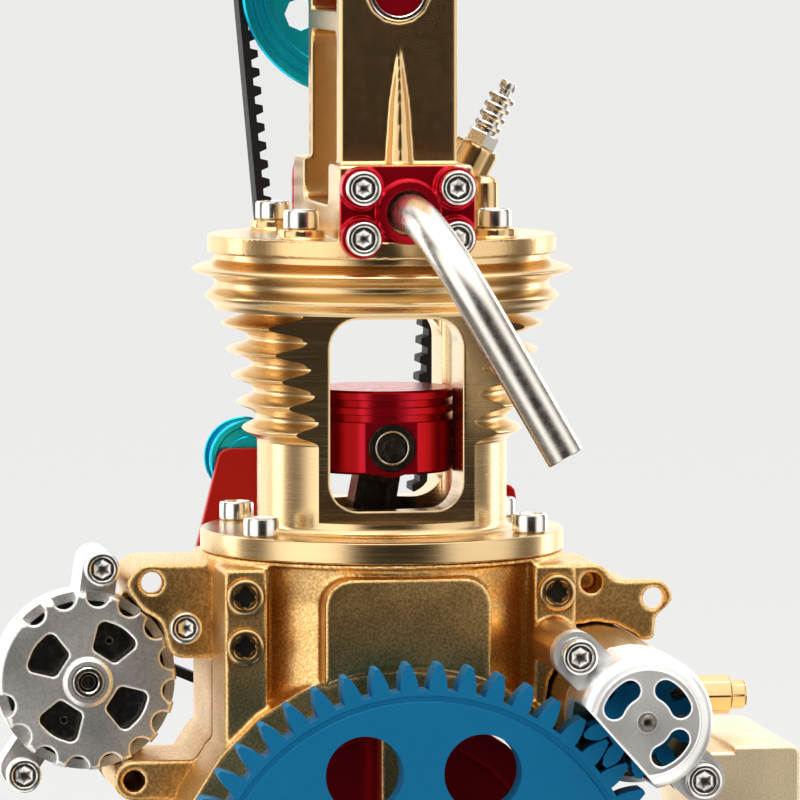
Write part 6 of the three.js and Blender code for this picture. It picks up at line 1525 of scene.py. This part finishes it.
@dataclass
class Ports(Assembly):
    """The exhaust flange and its bent pipe, the intake trumpet and the spark plug."""

    axis_height: float = 167.3 * MM
    seat_face: float = -24.6 * MM
    flange_face: float = -27.2 * MM
    half_width: float = 10.5 * MM
    half_height: float = 7.1 * MM
    corner: float = 3.0 * MM
    ring_radius: float = 4.9 * MM
    ring_rise: float = 0.8 * MM
    lobe_radius: float = 3.2 * MM
    lobe_rise: float = 0.5 * MM
    plate_drop: float = 1.0 * MM
    screw_x: float = 7.3 * MM
    screw_z: float = 3.85 * MM
    pipe_radius: float = 2.95 * MM
    pipe_wall: float = 0.5 * MM
    hole_radius: float = 3.45 * MM
    hole_reach: float = 40.0 * MM
    disc_steps: int = 64
    flange_fineness: float = 0.2 * MM
    flange_rounds: int = 6
    pipe_run: float = 1.5 * MM
    pipe_sink: float = 0.1 * MM
    pipe_edge: float = 0.12 * MM
    pipe_steps: int = 56
    bend_steps: int = 28
    trumpet_edge: float = 0.35 * MM
    bend: float = 34.0 * MM
    fall: Vector = field(default_factory=lambda: Vector((0.56, -0.15, -1.0)))
    drop: float = 36.0 * MM
    plug_tilt: float = math.radians(27)
    plug_seat: Vector = field(default_factory=lambda: Vector((15.355 * MM, 0, 176.531 * MM)))
    plug_steps: int = 48
    plug_hexagon: float = 4.7 * MM
    plug_stem: tuple[Flat, ...] = ((1.9, -6.0), (1.9, 0.0))
    plug_flats: tuple[Flat, ...] = ((0.2, 0.0), (0.0, 0.2), (0.0, 2.1), (0.3, 2.4))
    plug_neck: tuple[Flat, ...] = ((1.75, 2.4), (1.75, 2.9))
    plug_ribs: int = 4
    plug_rib: tuple[Flat, ...] = (
        (1.45, 0.05), (1.45, 0.2), (2.0, 0.35), (2.2, 0.6), (2.2, 1.05), (2.0, 1.3), (1.45, 1.45)
    )
    plug_rib_foot: float = 2.7
    plug_rib_pitch: float = 1.6
    plug_terminal: tuple[Flat, ...] = (
        (0.85, 9.3), (0.85, 9.7), (1.25, 9.9), (1.3, 10.1), (1.3, 10.9), (1.2, 11.2), (0.8, 11.35)
    )
    screw: Screw = field(
        default_factory=lambda: Screw(
            head_radius=2.7 * MM, head_height=2.2 * MM, socket=2.3 * MM, shank_length=1.0 * MM
        )
    )

    def places(self) -> Outline:
        """Returns where the four flange screws sit, in X and Z."""
        low, high = self.axis_height - self.screw_z, self.axis_height + self.screw_z
        return [(-self.screw_x, low), (-self.screw_x, high), (self.screw_x, low), (self.screw_x, high)]

    def flange(self) -> bpy.types.Object:
        """Makes the exhaust flange: a plate, four raised lobes and a ring round the pipe.

        Returns:
            The flange.
        """
        low, high = self.axis_height - self.half_height, self.axis_height + self.half_height
        half, corner, face = self.half_width, self.corner, self.flange_face
        plate = rounded([(-half, low, corner), (half, low, corner), (half, high, corner), (-half, high, corner)])
        blank = slab("exhaust_flange_detail", plate, face + self.plate_drop, self.seat_face)
        middle = (0.0, self.axis_height)
        raised = []
        for number, (x, z) in enumerate(self.places(), 1):
            lobe = disc((math.copysign(half - self.lobe_radius, x), z), self.lobe_radius)
            raised.append(slab(f"lobe_{number}", lobe, face - self.lobe_rise, face + 2 * self.lobe_rise))
        ring = disc(middle, self.ring_radius, self.disc_steps)
        raised.append(slab("ring", ring, face - self.ring_rise, face + self.ring_rise))
        combine(blank, Work.JOIN, raised)
        hole = disc(middle, self.hole_radius, self.disc_steps)
        combine(blank, Work.CUT, [slab("pipe_hole", hole, -self.hole_reach, 0.0)])
        piece = cast("exhaust_flange_cast", blank, (), self.flange_fineness, self.flange_rounds)
        bpy.data.objects.remove(blank)
        return piece

    def pipe_line(self) -> list[Vector]:
        """Draws the line down the middle of the exhaust pipe.

        Returns:
            The line's points.
        """
        start = Vector((0, self.seat_face - self.pipe_sink, self.axis_height))
        turn = Vector((0, self.flange_face - self.pipe_run, self.axis_height))
        elbow = turn + Vector((0, -self.bend / 2, 0))
        down = self.fall.normalized()
        straight = elbow + down * (self.bend / 2)
        end = elbow + down * (self.drop / -down.z)
        curve = [
            turn.lerp(elbow, share).lerp(elbow.lerp(straight, share), share)
            for share in (step / self.bend_steps for step in range(self.bend_steps + 1))
        ]
        return [start, *curve, end]

    def pipe(self) -> bpy.types.Object:
        """Bends the exhaust pipe, open at its free end.

        Returns:
            The pipe.
        """
        line = self.pipe_line()
        side = Vector((1, 0, 0))
        frames = []
        for index, point in enumerate(line):
            ahead = line[min(index + 1, len(line) - 1)] - line[max(index - 1, 0)]
            ahead.normalize()
            side = (side - ahead * side.dot(ahead)).normalized()
            frames.append((point, side.copy(), ahead.cross(side), ahead))

        def ring(radius: float, index: int, slide: float = 0.0) -> Ring:
            """Returns one ring of the pipe's skin."""
            point, across, up, ahead = frames[index]
            round_line = disc((0.0, 0.0), radius, self.pipe_steps)
            return [point + across * x + up * y + ahead * slide for x, y in round_line]

        inner, edge = self.pipe_radius - self.pipe_wall, self.pipe_edge
        rings = [ring(self.pipe_radius, index) for index in range(len(line) - 1)]
        rings += [ring(self.pipe_radius, -1, -edge), ring(self.pipe_radius - edge, -1)]
        rings += [ring(inner + edge, -1), ring(inner, -1, -edge)]
        rings += [ring(inner, index) for index in range(len(line) - 2, -1, -1)]
        return loft("exhaust_pipe_detail", rings, closed=True)

    def plug(self) -> bpy.types.Object:
        """Turns the spark plug: a hexagon, four ribs and the terminal.

        Returns:
            The plug.
        """
        flats = hexagon(self.plug_hexagon)
        feet = [self.plug_rib_foot + self.plug_rib_pitch * index for index in range(self.plug_ribs)]
        ribs = [(radius, foot + rise) for foot in feet for radius, rise in self.plug_rib]
        rings = [circle(*place, self.plug_steps) for place in sized(self.plug_stem)]
        for inset, height in sized(self.plug_flats):
            rings.append(polygon(lambda turn, inset=inset: flats(turn) - inset, height, self.plug_steps))
        for place in sized((*self.plug_neck, *ribs, *self.plug_terminal)):
            rings.append(circle(*place, self.plug_steps))
        piece = loft("spark_plug_detail", rings)
        lean = Matrix.Rotation(self.plug_tilt, 4, "Y")
        piece.data.transform(Matrix.Translation(self.plug_seat) @ lean)
        return piece

    def build(self) -> None:
        """Dresses the ports."""
        self.trim(self.flange(), RED, stands_for="exhaust_flange")
        self.solid("intake_trumpet", RED, self.trumpet_edge)
        self.trim(self.pipe(), PIPE_STEEL, stands_for="exhaust_pipe")
        self.trim(self.plug(), PIPE_STEEL, stands_for="spark_plug")
        ends = (("exhaust", self.flange_face - self.lobe_rise, Axis.FRONT), ("intake", -self.flange_face, Axis.BACK))
        for number, (x, z) in enumerate(self.places(), 1):
            for word, depth, axis in ends:
                self.screw.make(f"{word}_screw_{number}", Vector((x, depth, z)), axis, STEEL, self.body)


@dataclass
class CrankTrain(Assembly):
    """The crankshaft with its gear, the rod and the piston."""

    shaft_height: float = 60.5 * MM
    gear_face: float = -42.0 * MM
    gear_back: float = -37.0 * MM
    module: float = 1.5 * MM
    teeth: int = 50
    tip_radius: float = 38.9 * MM
    tooth_depth: float = 3.7 * MM
    backlash: float = 0.34 * MM
    shift: float = -0.3
    pressure: float = math.radians(20)
    holes: int = 8
    hole_radius: float = 6.0 * MM
    hole_circle: float = 23.8 * MM
    hub_radius: float = 9.0 * MM
    hub_face: float = -43.4 * MM
    hub_back: float = -27.3 * MM
    bore: float = 3.6 * MM
    groove_radius: float = 33.6 * MM
    groove_half: float = 0.35 * MM
    groove_depth: float = 0.35 * MM
    pin_height: float = 129.7814 * MM
    crown: float = 8.9 * MM
    skirt: float = -4.2 * MM
    piston_radius: float = 11.3 * MM
    recess_radius: float = 3.8 * MM
    flat_half_width: float = 6.6 * MM
    flat_rise: float = 4.2 * MM
    flat_share: float = 0.62
    flat_foot: float = 0.5 * MM
    flat_depth: float = 10.62 * MM
    flank_steps: int = 6
    foot_share: float = 0.82
    disc_steps: int = 56
    bore_steps: int = 40
    groove_steps: int = 160
    hub_edge: float = 0.4 * MM
    piston_steps: int = 128
    piston_edge: float = 0.35 * MM
    piston_core: float = 0.2 * MM
    piston_wall: float = 1.6 * MM
    crown_wall: float = 3.6 * MM
    ring_tops: tuple[float, ...] = (1.5 * MM, 3.8 * MM)
    ring_height: float = 1.1 * MM
    ring_depth: float = 0.7 * MM
    ring_edge: Flat = (0.15 * MM, 0.1 * MM)
    boss_radius: float = 4.7 * MM
    boss_depths: Flat = (4.2 * MM, 10.2 * MM)
    recess_depth: float = 10.4 * MM
    pin_bore: float = 2.6 * MM
    outside: float = 14.0 * MM
    pin_radius: float = 2.5 * MM
    pin_end: float = 10.85 * MM
    pin_edge: float = 0.3 * MM
    pin_face: tuple[Flat, ...] = (
        (0.25, 0.0), (0.3, -0.12), (0.8, -0.12), (0.85, 0.0), (1.3, 0.0), (1.38, -0.08), (1.75, -0.08), (1.82, 0.0),
        (2.2, 0.0), (2.5, -0.3),
    )
    bushing_profile: tuple[Flat, ...] = (
        (2.62, 10.45), (3.72, 10.45), (3.72, 10.75), (3.6, 10.87), (2.75, 10.87), (2.62, 10.75)
    )
    clip_place: Flat = (2.55 * MM, 10.92 * MM)
    clip_radius: float = 0.14 * MM
    clip_steps: int = 10
    gear_edge: float = 0.22 * MM
    web_edge: float = 0.3 * MM
    crank_pin_edge: float = 0.2 * MM
    rod_edge: float = 0.25 * MM
    groove_edge: float = 0.15 * MM

    def gear_outline(self) -> Outline:
        """Draws the toothed gear, with involute flanks.

        Returns:
            The gear's outline.
        """
        pitch = self.module * self.teeth / 2
        base = pitch * math.cos(self.pressure)
        root = pitch + self.module * (1 + self.shift) - self.tooth_depth
        thickness = self.module * (math.pi / 2 + 2 * self.shift * math.tan(self.pressure)) - self.backlash / 2
        lean = math.tan(self.pressure) - self.pressure
        flank = []
        for step in range(self.flank_steps + 1):
            radius = base + (self.tip_radius - base) * step / self.flank_steps
            roll = math.acos(min(1.0, base / radius))
            flank.append((radius, thickness / (2 * pitch) + lean - math.tan(roll) + roll))
        foot = min(flank[0][1], math.pi / self.teeth * self.foot_share)
        pitch_turn = FULL_TURN / self.teeth
        points: Outline = []
        centre = (0.0, self.shaft_height)
        for tooth in range(self.teeth):
            middle = math.pi / 2 + pitch_turn * (tooth + 0.5)
            points.append(polar(root, middle - foot, centre))
            points += [polar(radius, middle - turn, centre) for radius, turn in flank]
            points += [polar(radius, middle + turn, centre) for radius, turn in reversed(flank)]
            points.append(polar(root, middle + foot, centre))
        return points

    def gear(self) -> bpy.types.Object:
        """Cuts the gear with its eight holes and its groove.

        Returns:
            The gear.
        """
        centre = (0.0, self.shaft_height)
        first = math.pi / 2 + math.pi / self.holes
        holes = []
        for index in range(self.holes):
            middle = polar(self.hole_circle, first + FULL_TURN * index / self.holes, centre)
            holes.append(disc(middle, self.hole_radius, self.disc_steps))
        holes.append(disc(centre, self.bore, self.bore_steps))
        piece = slab("flywheel_gear_detail", self.gear_outline(), self.gear_face, self.gear_back, holes)
        inner, outer = self.groove_radius - self.groove_half, self.groove_radius + self.groove_half
        seat = Vector((0, self.gear_face, self.shaft_height))
        profile = [
            (inner - self.groove_half, self.groove_depth),
            (inner, -self.groove_depth),
            (outer, -self.groove_depth),
            (outer + self.groove_half, self.groove_depth),
        ]
        groove = lathe("groove", profile, seat, Axis.FRONT, self.groove_steps, closed=True)
        return combine(piece, Work.CUT, [groove])

    def hub(self) -> bpy.types.Object:
        """Turns the hub of the gear with a broken edge at each end.

        Returns:
            The hub.
        """
        edge = self.hub_edge
        profile = [
            (self.bore, self.hub_face),
            (self.hub_radius - edge, self.hub_face),
            (self.hub_radius, self.hub_face + edge),
            (self.hub_radius, self.hub_back - edge),
            (self.hub_radius - edge, self.hub_back),
            (self.bore, self.hub_back),
        ]
        return lathe("gear_hub", profile, Vector((0, 0, self.shaft_height)), Axis.BACK, closed=True)

    def piston_profile(self) -> Outline:
        """Draws half of the piston's section, with its two ring grooves.

        Returns:
            The closed profile.
        """
        radius, edge = self.piston_radius, self.piston_edge
        under = self.crown - self.crown_wall
        profile = [
            (self.piston_core, under),
            (self.piston_core, self.crown),
            (radius - edge, self.crown),
            (radius, self.crown - edge),
        ]
        inset, drop = self.ring_edge
        for ring_top in self.ring_tops:
            top = self.crown - ring_top
            foot = top - self.ring_height
            profile += [
                (radius, top + drop),
                (radius - inset, top),
                (radius - self.ring_depth, top),
                (radius - self.ring_depth, foot),
                (radius - inset, foot),
                (radius, foot - drop),
            ]
        inner = radius - self.piston_wall
        return profile + [(radius, self.skirt + edge), (radius - edge, self.skirt), (inner, self.skirt), (inner, under)]

    def piston(self) -> bpy.types.Object:
        """Turns the piston, then sinks a seat for the pin on each side, and mills a flat round it.

        Returns:
            The piston.
        """
        seat = Vector((0, 0, self.pin_height))
        piece = lathe("piston_detail", self.piston_profile(), seat, Axis.UP, self.piston_steps, closed=True)
        middle = (0.0, self.pin_height)
        low, high = self.pin_height + self.skirt - OVERRUN, self.pin_height + self.flat_rise
        wide, narrow, foot = self.flat_half_width, self.flat_half_width * self.flat_share, middle[1] + self.flat_foot
        flat = [(-wide, low), (wide, low), (wide, foot), (narrow, high), (-narrow, high), (-wide, foot)]

        def both(word: str, outline: Outline, near: float, far: float) -> list[bpy.types.Object]:
            """Returns one slab on the piston's front and one on its back."""
            return [slab(f"{word}_{side}", outline, *sorted((side * near, side * far))) for side in (-1, 1)]

        combine(piece, Work.JOIN, both("boss", disc(middle, self.boss_radius), *self.boss_depths))
        cuts = both("seat", disc(middle, self.recess_radius), self.recess_depth, self.outside)
        cuts.append(slab("pin_bore", disc(middle, self.pin_bore), -self.outside, self.outside))
        return combine(piece, Work.CUT, cuts + both("flat", flat, self.flat_depth, self.outside))

    def pin(self) -> bpy.types.Object:
        """Turns the wrist pin, with fine turning rings on its ends.

        Returns:
            The pin.
        """
        rise = [(radius, self.pin_end + drop) for radius, drop in sized(self.pin_face)]
        profile = [(radius, -height) for radius, height in rise] + list(reversed(rise))
        profile[len(rise) - 1] = (self.pin_radius, self.pin_edge - self.pin_end)
        return lathe("wrist_pin_detail", profile, Vector((0, 0, self.pin_height)), Axis.BACK)

    def bushings(self) -> None:
        """Turns the dark bushing round each end of the pin, and the bright ring that holds it."""
        seat = Vector((0, 0, self.pin_height))
        clip = disc(self.clip_place, self.clip_radius, self.clip_steps)
        for axis, word in ((Axis.FRONT, "front"), (Axis.BACK, "back")):
            bushing = lathe(f"pin_bushing_{word}", sized(self.bushing_profile), seat, axis, closed=True)
            self.trim(bushing, DARK_STEEL, "piston_set")
            self.trim(lathe(f"pin_clip_{word}", clip, seat, axis, closed=True), STEEL, "piston_set")

    def build(self) -> None:
        """Dresses the crank train."""
        self.trim(self.gear(), BLUE, "crank", "flywheel_gear", self.gear_edge)
        self.trim(self.hub(), BLUE, "crank")
        self.solid("crank_web_front", RED, self.web_edge)
        self.solid("crank_web_back", RED, self.web_edge)
        self.solid("crank_pin", STEEL, self.crank_pin_edge)
        self.solid("connecting_rod", DARK_STEEL, self.rod_edge)
        self.trim(self.piston(), RED, "piston_set", "piston", self.groove_edge)
        self.trim(self.pin(), DARK_STEEL, "piston_set", "wrist_pin")
        self.bushings()


@dataclass
class Starter(Assembly):
    """The starter on the right: its motor, the pinion on the gear and the cover over them."""

    centre: Flat = (33.6509 * MM, 90.3767 * MM)
    direction: float = math.radians(41.6)
    face: float = -47.0 * MM
    depth: float = 13.6 * MM
    radius: float = 10.5 * MM
    wall: float = 0.9 * MM
    shoulder: float = 2.4 * MM
    lip_radius: float = 8.25 * MM
    cut: float = 5.5 * MM
    windows: tuple[float, ...] = (math.radians(138), math.radians(42), math.radians(-48))
    window_radius: float = 5.6 * MM
    window_half: float = 1.62 * MM
    window_spread: float = math.radians(19)
    lug_reach: float = 13.7 * MM
    lug_radius: float = 3.7 * MM
    lug_face: float = -40.3 * MM
    lug_back: float = -37.1 * MM
    lug_rim: float = 0.55 * MM
    lug_angles: tuple[float, ...] = (math.radians(135), math.radians(-45))
    pocket_depth: float = 0.5 * MM
    slope_width: float = 0.42 * MM
    slope_depth: float = 0.22 * MM
    lip_foot: float = 0.25 * MM
    lip_rise: float = 0.16 * MM
    lip_step: float = 0.1 * MM
    shoulder_steps: int = 10
    cover_steps: int = 112
    hollow_corner: Flat = (0.5 * MM, 0.6 * MM)
    gear_side_back: float = -36.4 * MM
    cut_lead: float = 0.5 * MM
    cut_strip: float = 0.5 * MM
    wide: float = 60.0 * MM
    hole_radius: float = 1.5 * MM
    hole_slope: float = 0.4 * MM
    pin_sink: float = 0.3 * MM
    ring_profile: tuple[Flat, ...] = (
        (1.38, 0.2), (1.38, 0.05), (1.45, -0.02), (1.6, -0.02), (1.68, 0.05), (1.68, 0.2)
    )
    pin_radius: float = 1.3 * MM
    pin_rise: float = 0.45 * MM
    pin_dome: float = 0.6 * MM
    pin_turns: tuple[float, ...] = (0.1, 0.4, 0.7, 1.0, 1.3, 1.57)
    pin_foot: float = 0.5 * MM
    pin_core: float = 0.2 * MM
    pin_steps: int = 64
    fine_edge: float = 0.1 * MM
    motor_edge: float = 0.3 * MM
    box_edge: float = 0.5 * MM

    def lug_places(self) -> Outline:
        """Returns the middles of the two lugs."""
        return [polar(self.lug_reach, angle, self.centre) for angle in self.lug_angles]

    def dome(self) -> Outline:
        """Draws the cover's outside, from the middle of its face to its open back.

        Returns:
            The dome's profile.
        """
        flat = self.radius - self.shoulder
        line = [(AXIS_BORE, 0.0), (self.lip_radius - self.lip_foot, 0.0), (self.lip_radius, -self.lip_rise)]
        for step in range(self.shoulder_steps + 1):
            turn = math.pi / 2 * step / self.shoulder_steps
            reach = max(flat + self.shoulder * math.sin(turn), self.lip_radius + self.lip_step)
            line.append((reach, self.shoulder * (1 - math.cos(turn))))
        return line + [(self.radius, self.depth), (AXIS_BORE, self.depth)]

    def hollow(self) -> Outline:
        """Draws the cover's inside.

        Returns:
            The inside's profile.
        """
        inner, back = self.radius - self.wall, self.depth + OVERRUN
        inset, drop = self.hollow_corner
        return [
            (AXIS_BORE, self.wall),
            (self.radius - self.shoulder, self.wall),
            (inner - inset, self.wall + drop),
            (inner, self.shoulder),
            (inner, back),
            (AXIS_BORE, back),
        ]

    def gear_side(self) -> list[bpy.types.Object]:
        """Makes the tools that cut the cover's side away for the gear, and slope that edge.

        Returns:
            The two tools.
        """
        toward = self.direction + math.pi
        left, right = toward + math.pi / 2, toward - math.pi / 2
        middle = polar(self.cut, toward, self.centre)
        beyond = polar(self.wide, toward, middle)
        side = [polar(self.wide, turn, place) for place, turn in ((middle, right), (middle, left))]
        side += [polar(self.wide, turn, place) for place, turn in ((beyond, left), (beyond, right))]
        lead = polar(self.cut - self.cut_lead, toward, self.centre)
        edge = [polar(self.wide, left, lead), polar(self.wide, right, lead)]
        strip = [polar(self.cut_strip, toward, place) for place in edge]
        strip += [polar(self.wide, toward, place) for place in reversed(edge)]
        return [
            slab("gear_side", side, self.face - OVERRUN, self.gear_side_back),
            countersink("cut_slope", strip, self.slope_width, self.slope_depth, self.face),
        ]

    def cover(self) -> bpy.types.Object:
        """Makes the domed cover with its lugs, windows and the side cut away for the gear.

        Returns:
            The cover.
        """
        x, z = self.centre
        seat = Vector((x, self.face, z))
        front, behind = self.face - OVERRUN, self.face + self.wall + OVERRUN
        piece = lathe("starter_cover_detail", self.dome(), seat, Axis.BACK, self.cover_steps)
        lugs = [
            slab(f"lug_{number}", bar(self.centre, place, self.lug_radius), self.lug_face, self.lug_back)
            for number, place in enumerate(self.lug_places(), 1)
        ]
        combine(piece, Work.JOIN, lugs)
        gear_side, gear_slope = self.gear_side()
        cuts = [lathe("hollow", self.hollow(), seat, Axis.BACK), gear_side]
        for number, angle in enumerate(self.windows, 1):
            shape = bean(self.centre, self.window_radius, self.window_half, angle, self.window_spread)
            cuts.append(slab(f"slot_{number}", shape, front, behind))
            cuts.append(countersink(f"slot_slope_{number}", shape, self.slope_width, self.slope_depth, self.face))
        hole = disc(self.centre, self.hole_radius)
        mouth = grown(hole, self.hole_slope)
        cuts.append(slab("pin_hole", hole, front, behind))
        cuts.append(countersink("pin_slope", mouth, self.slope_width, self.slope_depth, self.face))
        cuts.append(gear_slope)
        for number, place in enumerate(self.lug_places(), 1):
            pocket = disc(place, self.lug_radius - self.lug_rim)
            cuts.append(slab(f"pocket_{number}", pocket, self.lug_face - OVERRUN, self.lug_face + self.pocket_depth))
        return combine(piece, Work.CUT, cuts)

    def pin(self) -> None:
        """Turns the domed end of the pinion's pin, and the bright ring round its hole."""
        x, z = self.centre
        seat = Vector((x, self.face + self.pin_sink, z))
        ring = lathe("starter_pin_ring", sized(self.ring_profile), seat, Axis.BACK, self.pin_steps, closed=True)
        self.trim(ring, SATIN_SILVER)
        dome = [
            (self.pin_radius * math.sin(turn), -self.pin_rise - self.pin_dome * math.cos(turn))
            for turn in self.pin_turns
        ]
        dome += [(self.pin_radius, self.pin_foot), (self.pin_core, self.pin_foot)]
        self.trim(lathe("starter_pin", dome, seat, Axis.BACK, self.pin_steps), DARK_STEEL, "pinion")

    def build(self) -> None:
        """Dresses the starter."""
        self.solid("starter_pinion", BLUE, self.fine_edge)
        self.trim(self.cover(), SATIN_SILVER, stands_for="starter_cover", edge=self.fine_edge)
        self.pin()
        self.solid("starter_motor", GOLD, self.motor_edge)
        self.solid("starter_stud", GOLD, self.motor_edge)
        self.solid("side_box", PAINTED_GOLD, self.box_edge)
        self.screws(("starter_screw_upper", "starter_screw_lower"), Screw(), Axis.FRONT, STEEL)


@dataclass
class Generator(Assembly):
    """The generator on the left, with its windowed cover and its rotor."""

    centre: Flat = (-46.8 * MM, 92.7 * MM)
    radius: float = 14.1 * MM
    wall: float = 1.5 * MM
    face: float = -0.6 * MM
    depth: float = 10.6 * MM
    boss_radius: float = 4.0 * MM
    boss_rise: float = 0.7 * MM
    scallops: int = 16
    scallop_phase: float = math.radians(-7)
    scallop_gaps: tuple[int, ...] = (7, 8)
    scallop_radius: float = 1.85 * MM
    scallop_depth: float = 3.0 * MM
    slope_width: float = 0.48 * MM
    slope_depth: float = 0.24 * MM
    vents: int = 4
    vent_phase: float = math.radians(57)
    vent_spreads: Flat = (math.radians(25), math.radians(22))
    vent_reaches: Flat = (5.1 * MM, 10.0 * MM)
    vent_corners: tuple[float, float, float] = (1.0 * MM, 1.2 * MM, 6.0 * MM)
    rim_edge: float = 0.7 * MM
    rim_shares: tuple[Flat, ...] = ((1.3, 0.0), (0.4, 0.45), (0.0, 1.3))
    boss_shares: Flat = (0.2, 0.5)
    cover_steps: int = 144
    hollow_steps: int = 96
    notch_steps: int = 28
    bearing_seat: float = 2.7 * MM
    shaft_hole: float = 1.6 * MM
    bearing_profile: tuple[Flat, ...] = (
        (1.55, 0.0), (1.55, -0.75), (1.75, -0.95), (2.25, -0.95), (2.45, -0.7), (2.45, 0.0)
    )
    bearing_steps: int = 72
    fine_edge: float = 0.1 * MM
    body_edge: float = 0.3 * MM
    rotor_edge: float = 0.15 * MM
    lug_turns: tuple[float, float] = (math.radians(82), math.radians(236))
    lug_reach: float = 17.8 * MM
    lug_radius: float = 2.8 * MM
    lug_inset: float = 3.6 * MM

    def vent(self, middle: float) -> Outline:
        """Draws one rounded window, wider towards the rim.

        Args:
            middle: The angle of the window's middle.

        Returns:
            The window's outline.
        """
        inner, outer = self.vent_spreads
        near, far = self.vent_reaches
        inner_corner, outer_corner, crest = self.vent_corners
        corners_of = (
            (near, -inner, inner_corner),
            (far, -outer, outer_corner),
            (far / math.cos(outer / 2), 0.0, crest),
            (far, outer, outer_corner),
            (near, inner, inner_corner),
        )
        return rounded([(*polar(reach, middle + turn, self.centre), radius) for reach, turn, radius in corners_of])

    def blank(self) -> bpy.types.Object:
        """Turns the cover's outside and joins its two arms.

        Returns:
            The cover, still solid.
        """
        edge, rise = self.rim_edge, self.boss_rise
        inset, drop = self.boss_shares
        profile = [
            (AXIS_BORE, -rise),
            (self.boss_radius - edge, -rise),
            (self.boss_radius - inset * edge, -drop * rise),
            (self.boss_radius, 0.0),
            *((self.radius - reach * edge, depth * edge) for reach, depth in self.rim_shares),
            (self.radius, self.depth),
            (AXIS_BORE, self.depth),
        ]
        x, z = self.centre
        piece = lathe("generator_cover_detail", profile, Vector((x, self.face, z)), Axis.BACK, self.cover_steps)
        lugs = []
        for number, turn in enumerate(self.lug_turns, 1):
            start, end = (polar(reach, turn, self.centre) for reach in (self.radius - self.wall, self.lug_reach))
            arm = bar(start, end, self.lug_radius)
            lugs.append(slab(f"arm_{number}", arm, self.face + self.lug_inset, self.face + self.depth))
        return combine(piece, Work.JOIN, lugs)

    def cover(self) -> bpy.types.Object:
        """Cuts the cover's rim scallops, its four windows and its bore.

        Returns:
            The cover.
        """
        piece = self.blank()
        front, behind, back = self.face - OVERRUN, self.face + self.wall + OVERRUN, self.face + self.depth
        inside = disc(self.centre, self.radius - self.wall, self.hollow_steps)
        cuts = [slab("hollow", inside, self.face + self.wall, back + OVERRUN)]
        openings = []
        for index in range(self.scallops):
            if index not in self.scallop_gaps:
                turn = self.scallop_phase + FULL_TURN * index / self.scallops
                middle = polar(self.radius - self.rim_edge / 2, turn, self.centre)
                notch = disc(middle, self.scallop_radius, self.notch_steps)
                openings.append((f"scallop_{index}", notch, self.face + self.scallop_depth))
        for index in range(self.vents):
            openings.append((f"vent_{index}", self.vent(self.vent_phase + FULL_TURN * index / self.vents), behind))
        for name, shape, end in openings:
            cuts.append(slab(name, shape, front, end))
            cuts.append(countersink(f"{name}_slope", shape, self.slope_width, self.slope_depth, self.face))
        outside = self.face - 2 * OVERRUN
        cuts.append(slab("bearing_seat", disc(self.centre, self.bearing_seat), outside, self.face))
        cuts.append(slab("shaft_hole", disc(self.centre, self.shaft_hole), outside, back))
        return combine(piece, Work.CUT, cuts)

    def build(self) -> None:
        """Dresses the generator."""
        self.trim(self.cover(), SATIN_NICKEL, stands_for="generator_cover", edge=self.fine_edge)
        x, z = self.centre
        seat = Vector((x, self.face, z))
        profile = sized(self.bearing_profile)
        self.trim(lathe("generator_bearing", profile, seat, Axis.BACK, self.bearing_steps, closed=True), STEEL)
        self.solid("generator_body", NICKEL, self.body_edge)
        self.solid("generator_rotor", DARK_STEEL, self.rotor_edge)
        self.screws(("generator_screw_upper", "generator_screw_lower"), Screw(), Axis.FRONT, STEEL)


@dataclass
class BeltDrives(Assembly):
    """The belts at the back, with their pulleys and the tensioner."""

    roller_place: Vector = field(default_factory=lambda: Vector((-16.395 * MM, 39.0 * MM, 124.4 * MM)))
    roller_side: tuple[Flat, ...] = (
        (1.7, 3.9), (3.6, 3.9), (3.8, 3.6), (5.2, 3.6), (5.4, 3.9), (6.2, 3.9), (6.5, 3.7), (6.5, 3.45), (6.3, 3.3),
        (5.5, 3.2),
    )
    tooth_edge: float = 0.25 * MM
    belt_edge: float = 0.3 * MM
    pulley_edge: float = 0.15 * MM
    bracket_edge: float = 0.3 * MM

    def roller(self) -> bpy.types.Object:
        """Turns the tensioner roller with its two flanges.

        Returns:
            The roller.
        """
        side = sized(self.roller_side)
        profile = [(radius, -depth) for radius, depth in side] + list(reversed(side))
        return lathe("tensioner_roller_turned", profile, self.roller_place, Axis.BACK, closed=True)

    def build(self) -> None:
        """Dresses the drives."""
        self.solid("timing_belt", RUBBER, self.tooth_edge)
        self.solid("generator_belt", RUBBER, self.belt_edge)
        self.solid("crank_pulley", CYAN, self.pulley_edge)
        self.trim(self.roller(), CYAN, "idler", "tensioner_roller")
        self.solid("tensioner_bracket", BRIGHT_RED, self.bracket_edge)


def corners() -> list[list[float]]:
    """Returns the shown object's lowest and highest corners as plain lists."""
    return [[float(value) for value in corner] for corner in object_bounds()]


def main() -> None:
    """Dresses every sub-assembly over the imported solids, then sets up the studio."""
    logging.basicConfig(level=logging.INFO, format="%(name)s: %(message)s")
    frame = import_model()
    for kind in (Stand, Crankcase, Cylinder, ValveTrain, Ports, CrankTrain, Starter, Generator, BeltDrives):
        kind(frame["nodes"]).build()
        LOG.info("%s is dressed", kind.__name__)
    Studio().build()


if __name__ == "__main__":
    main()
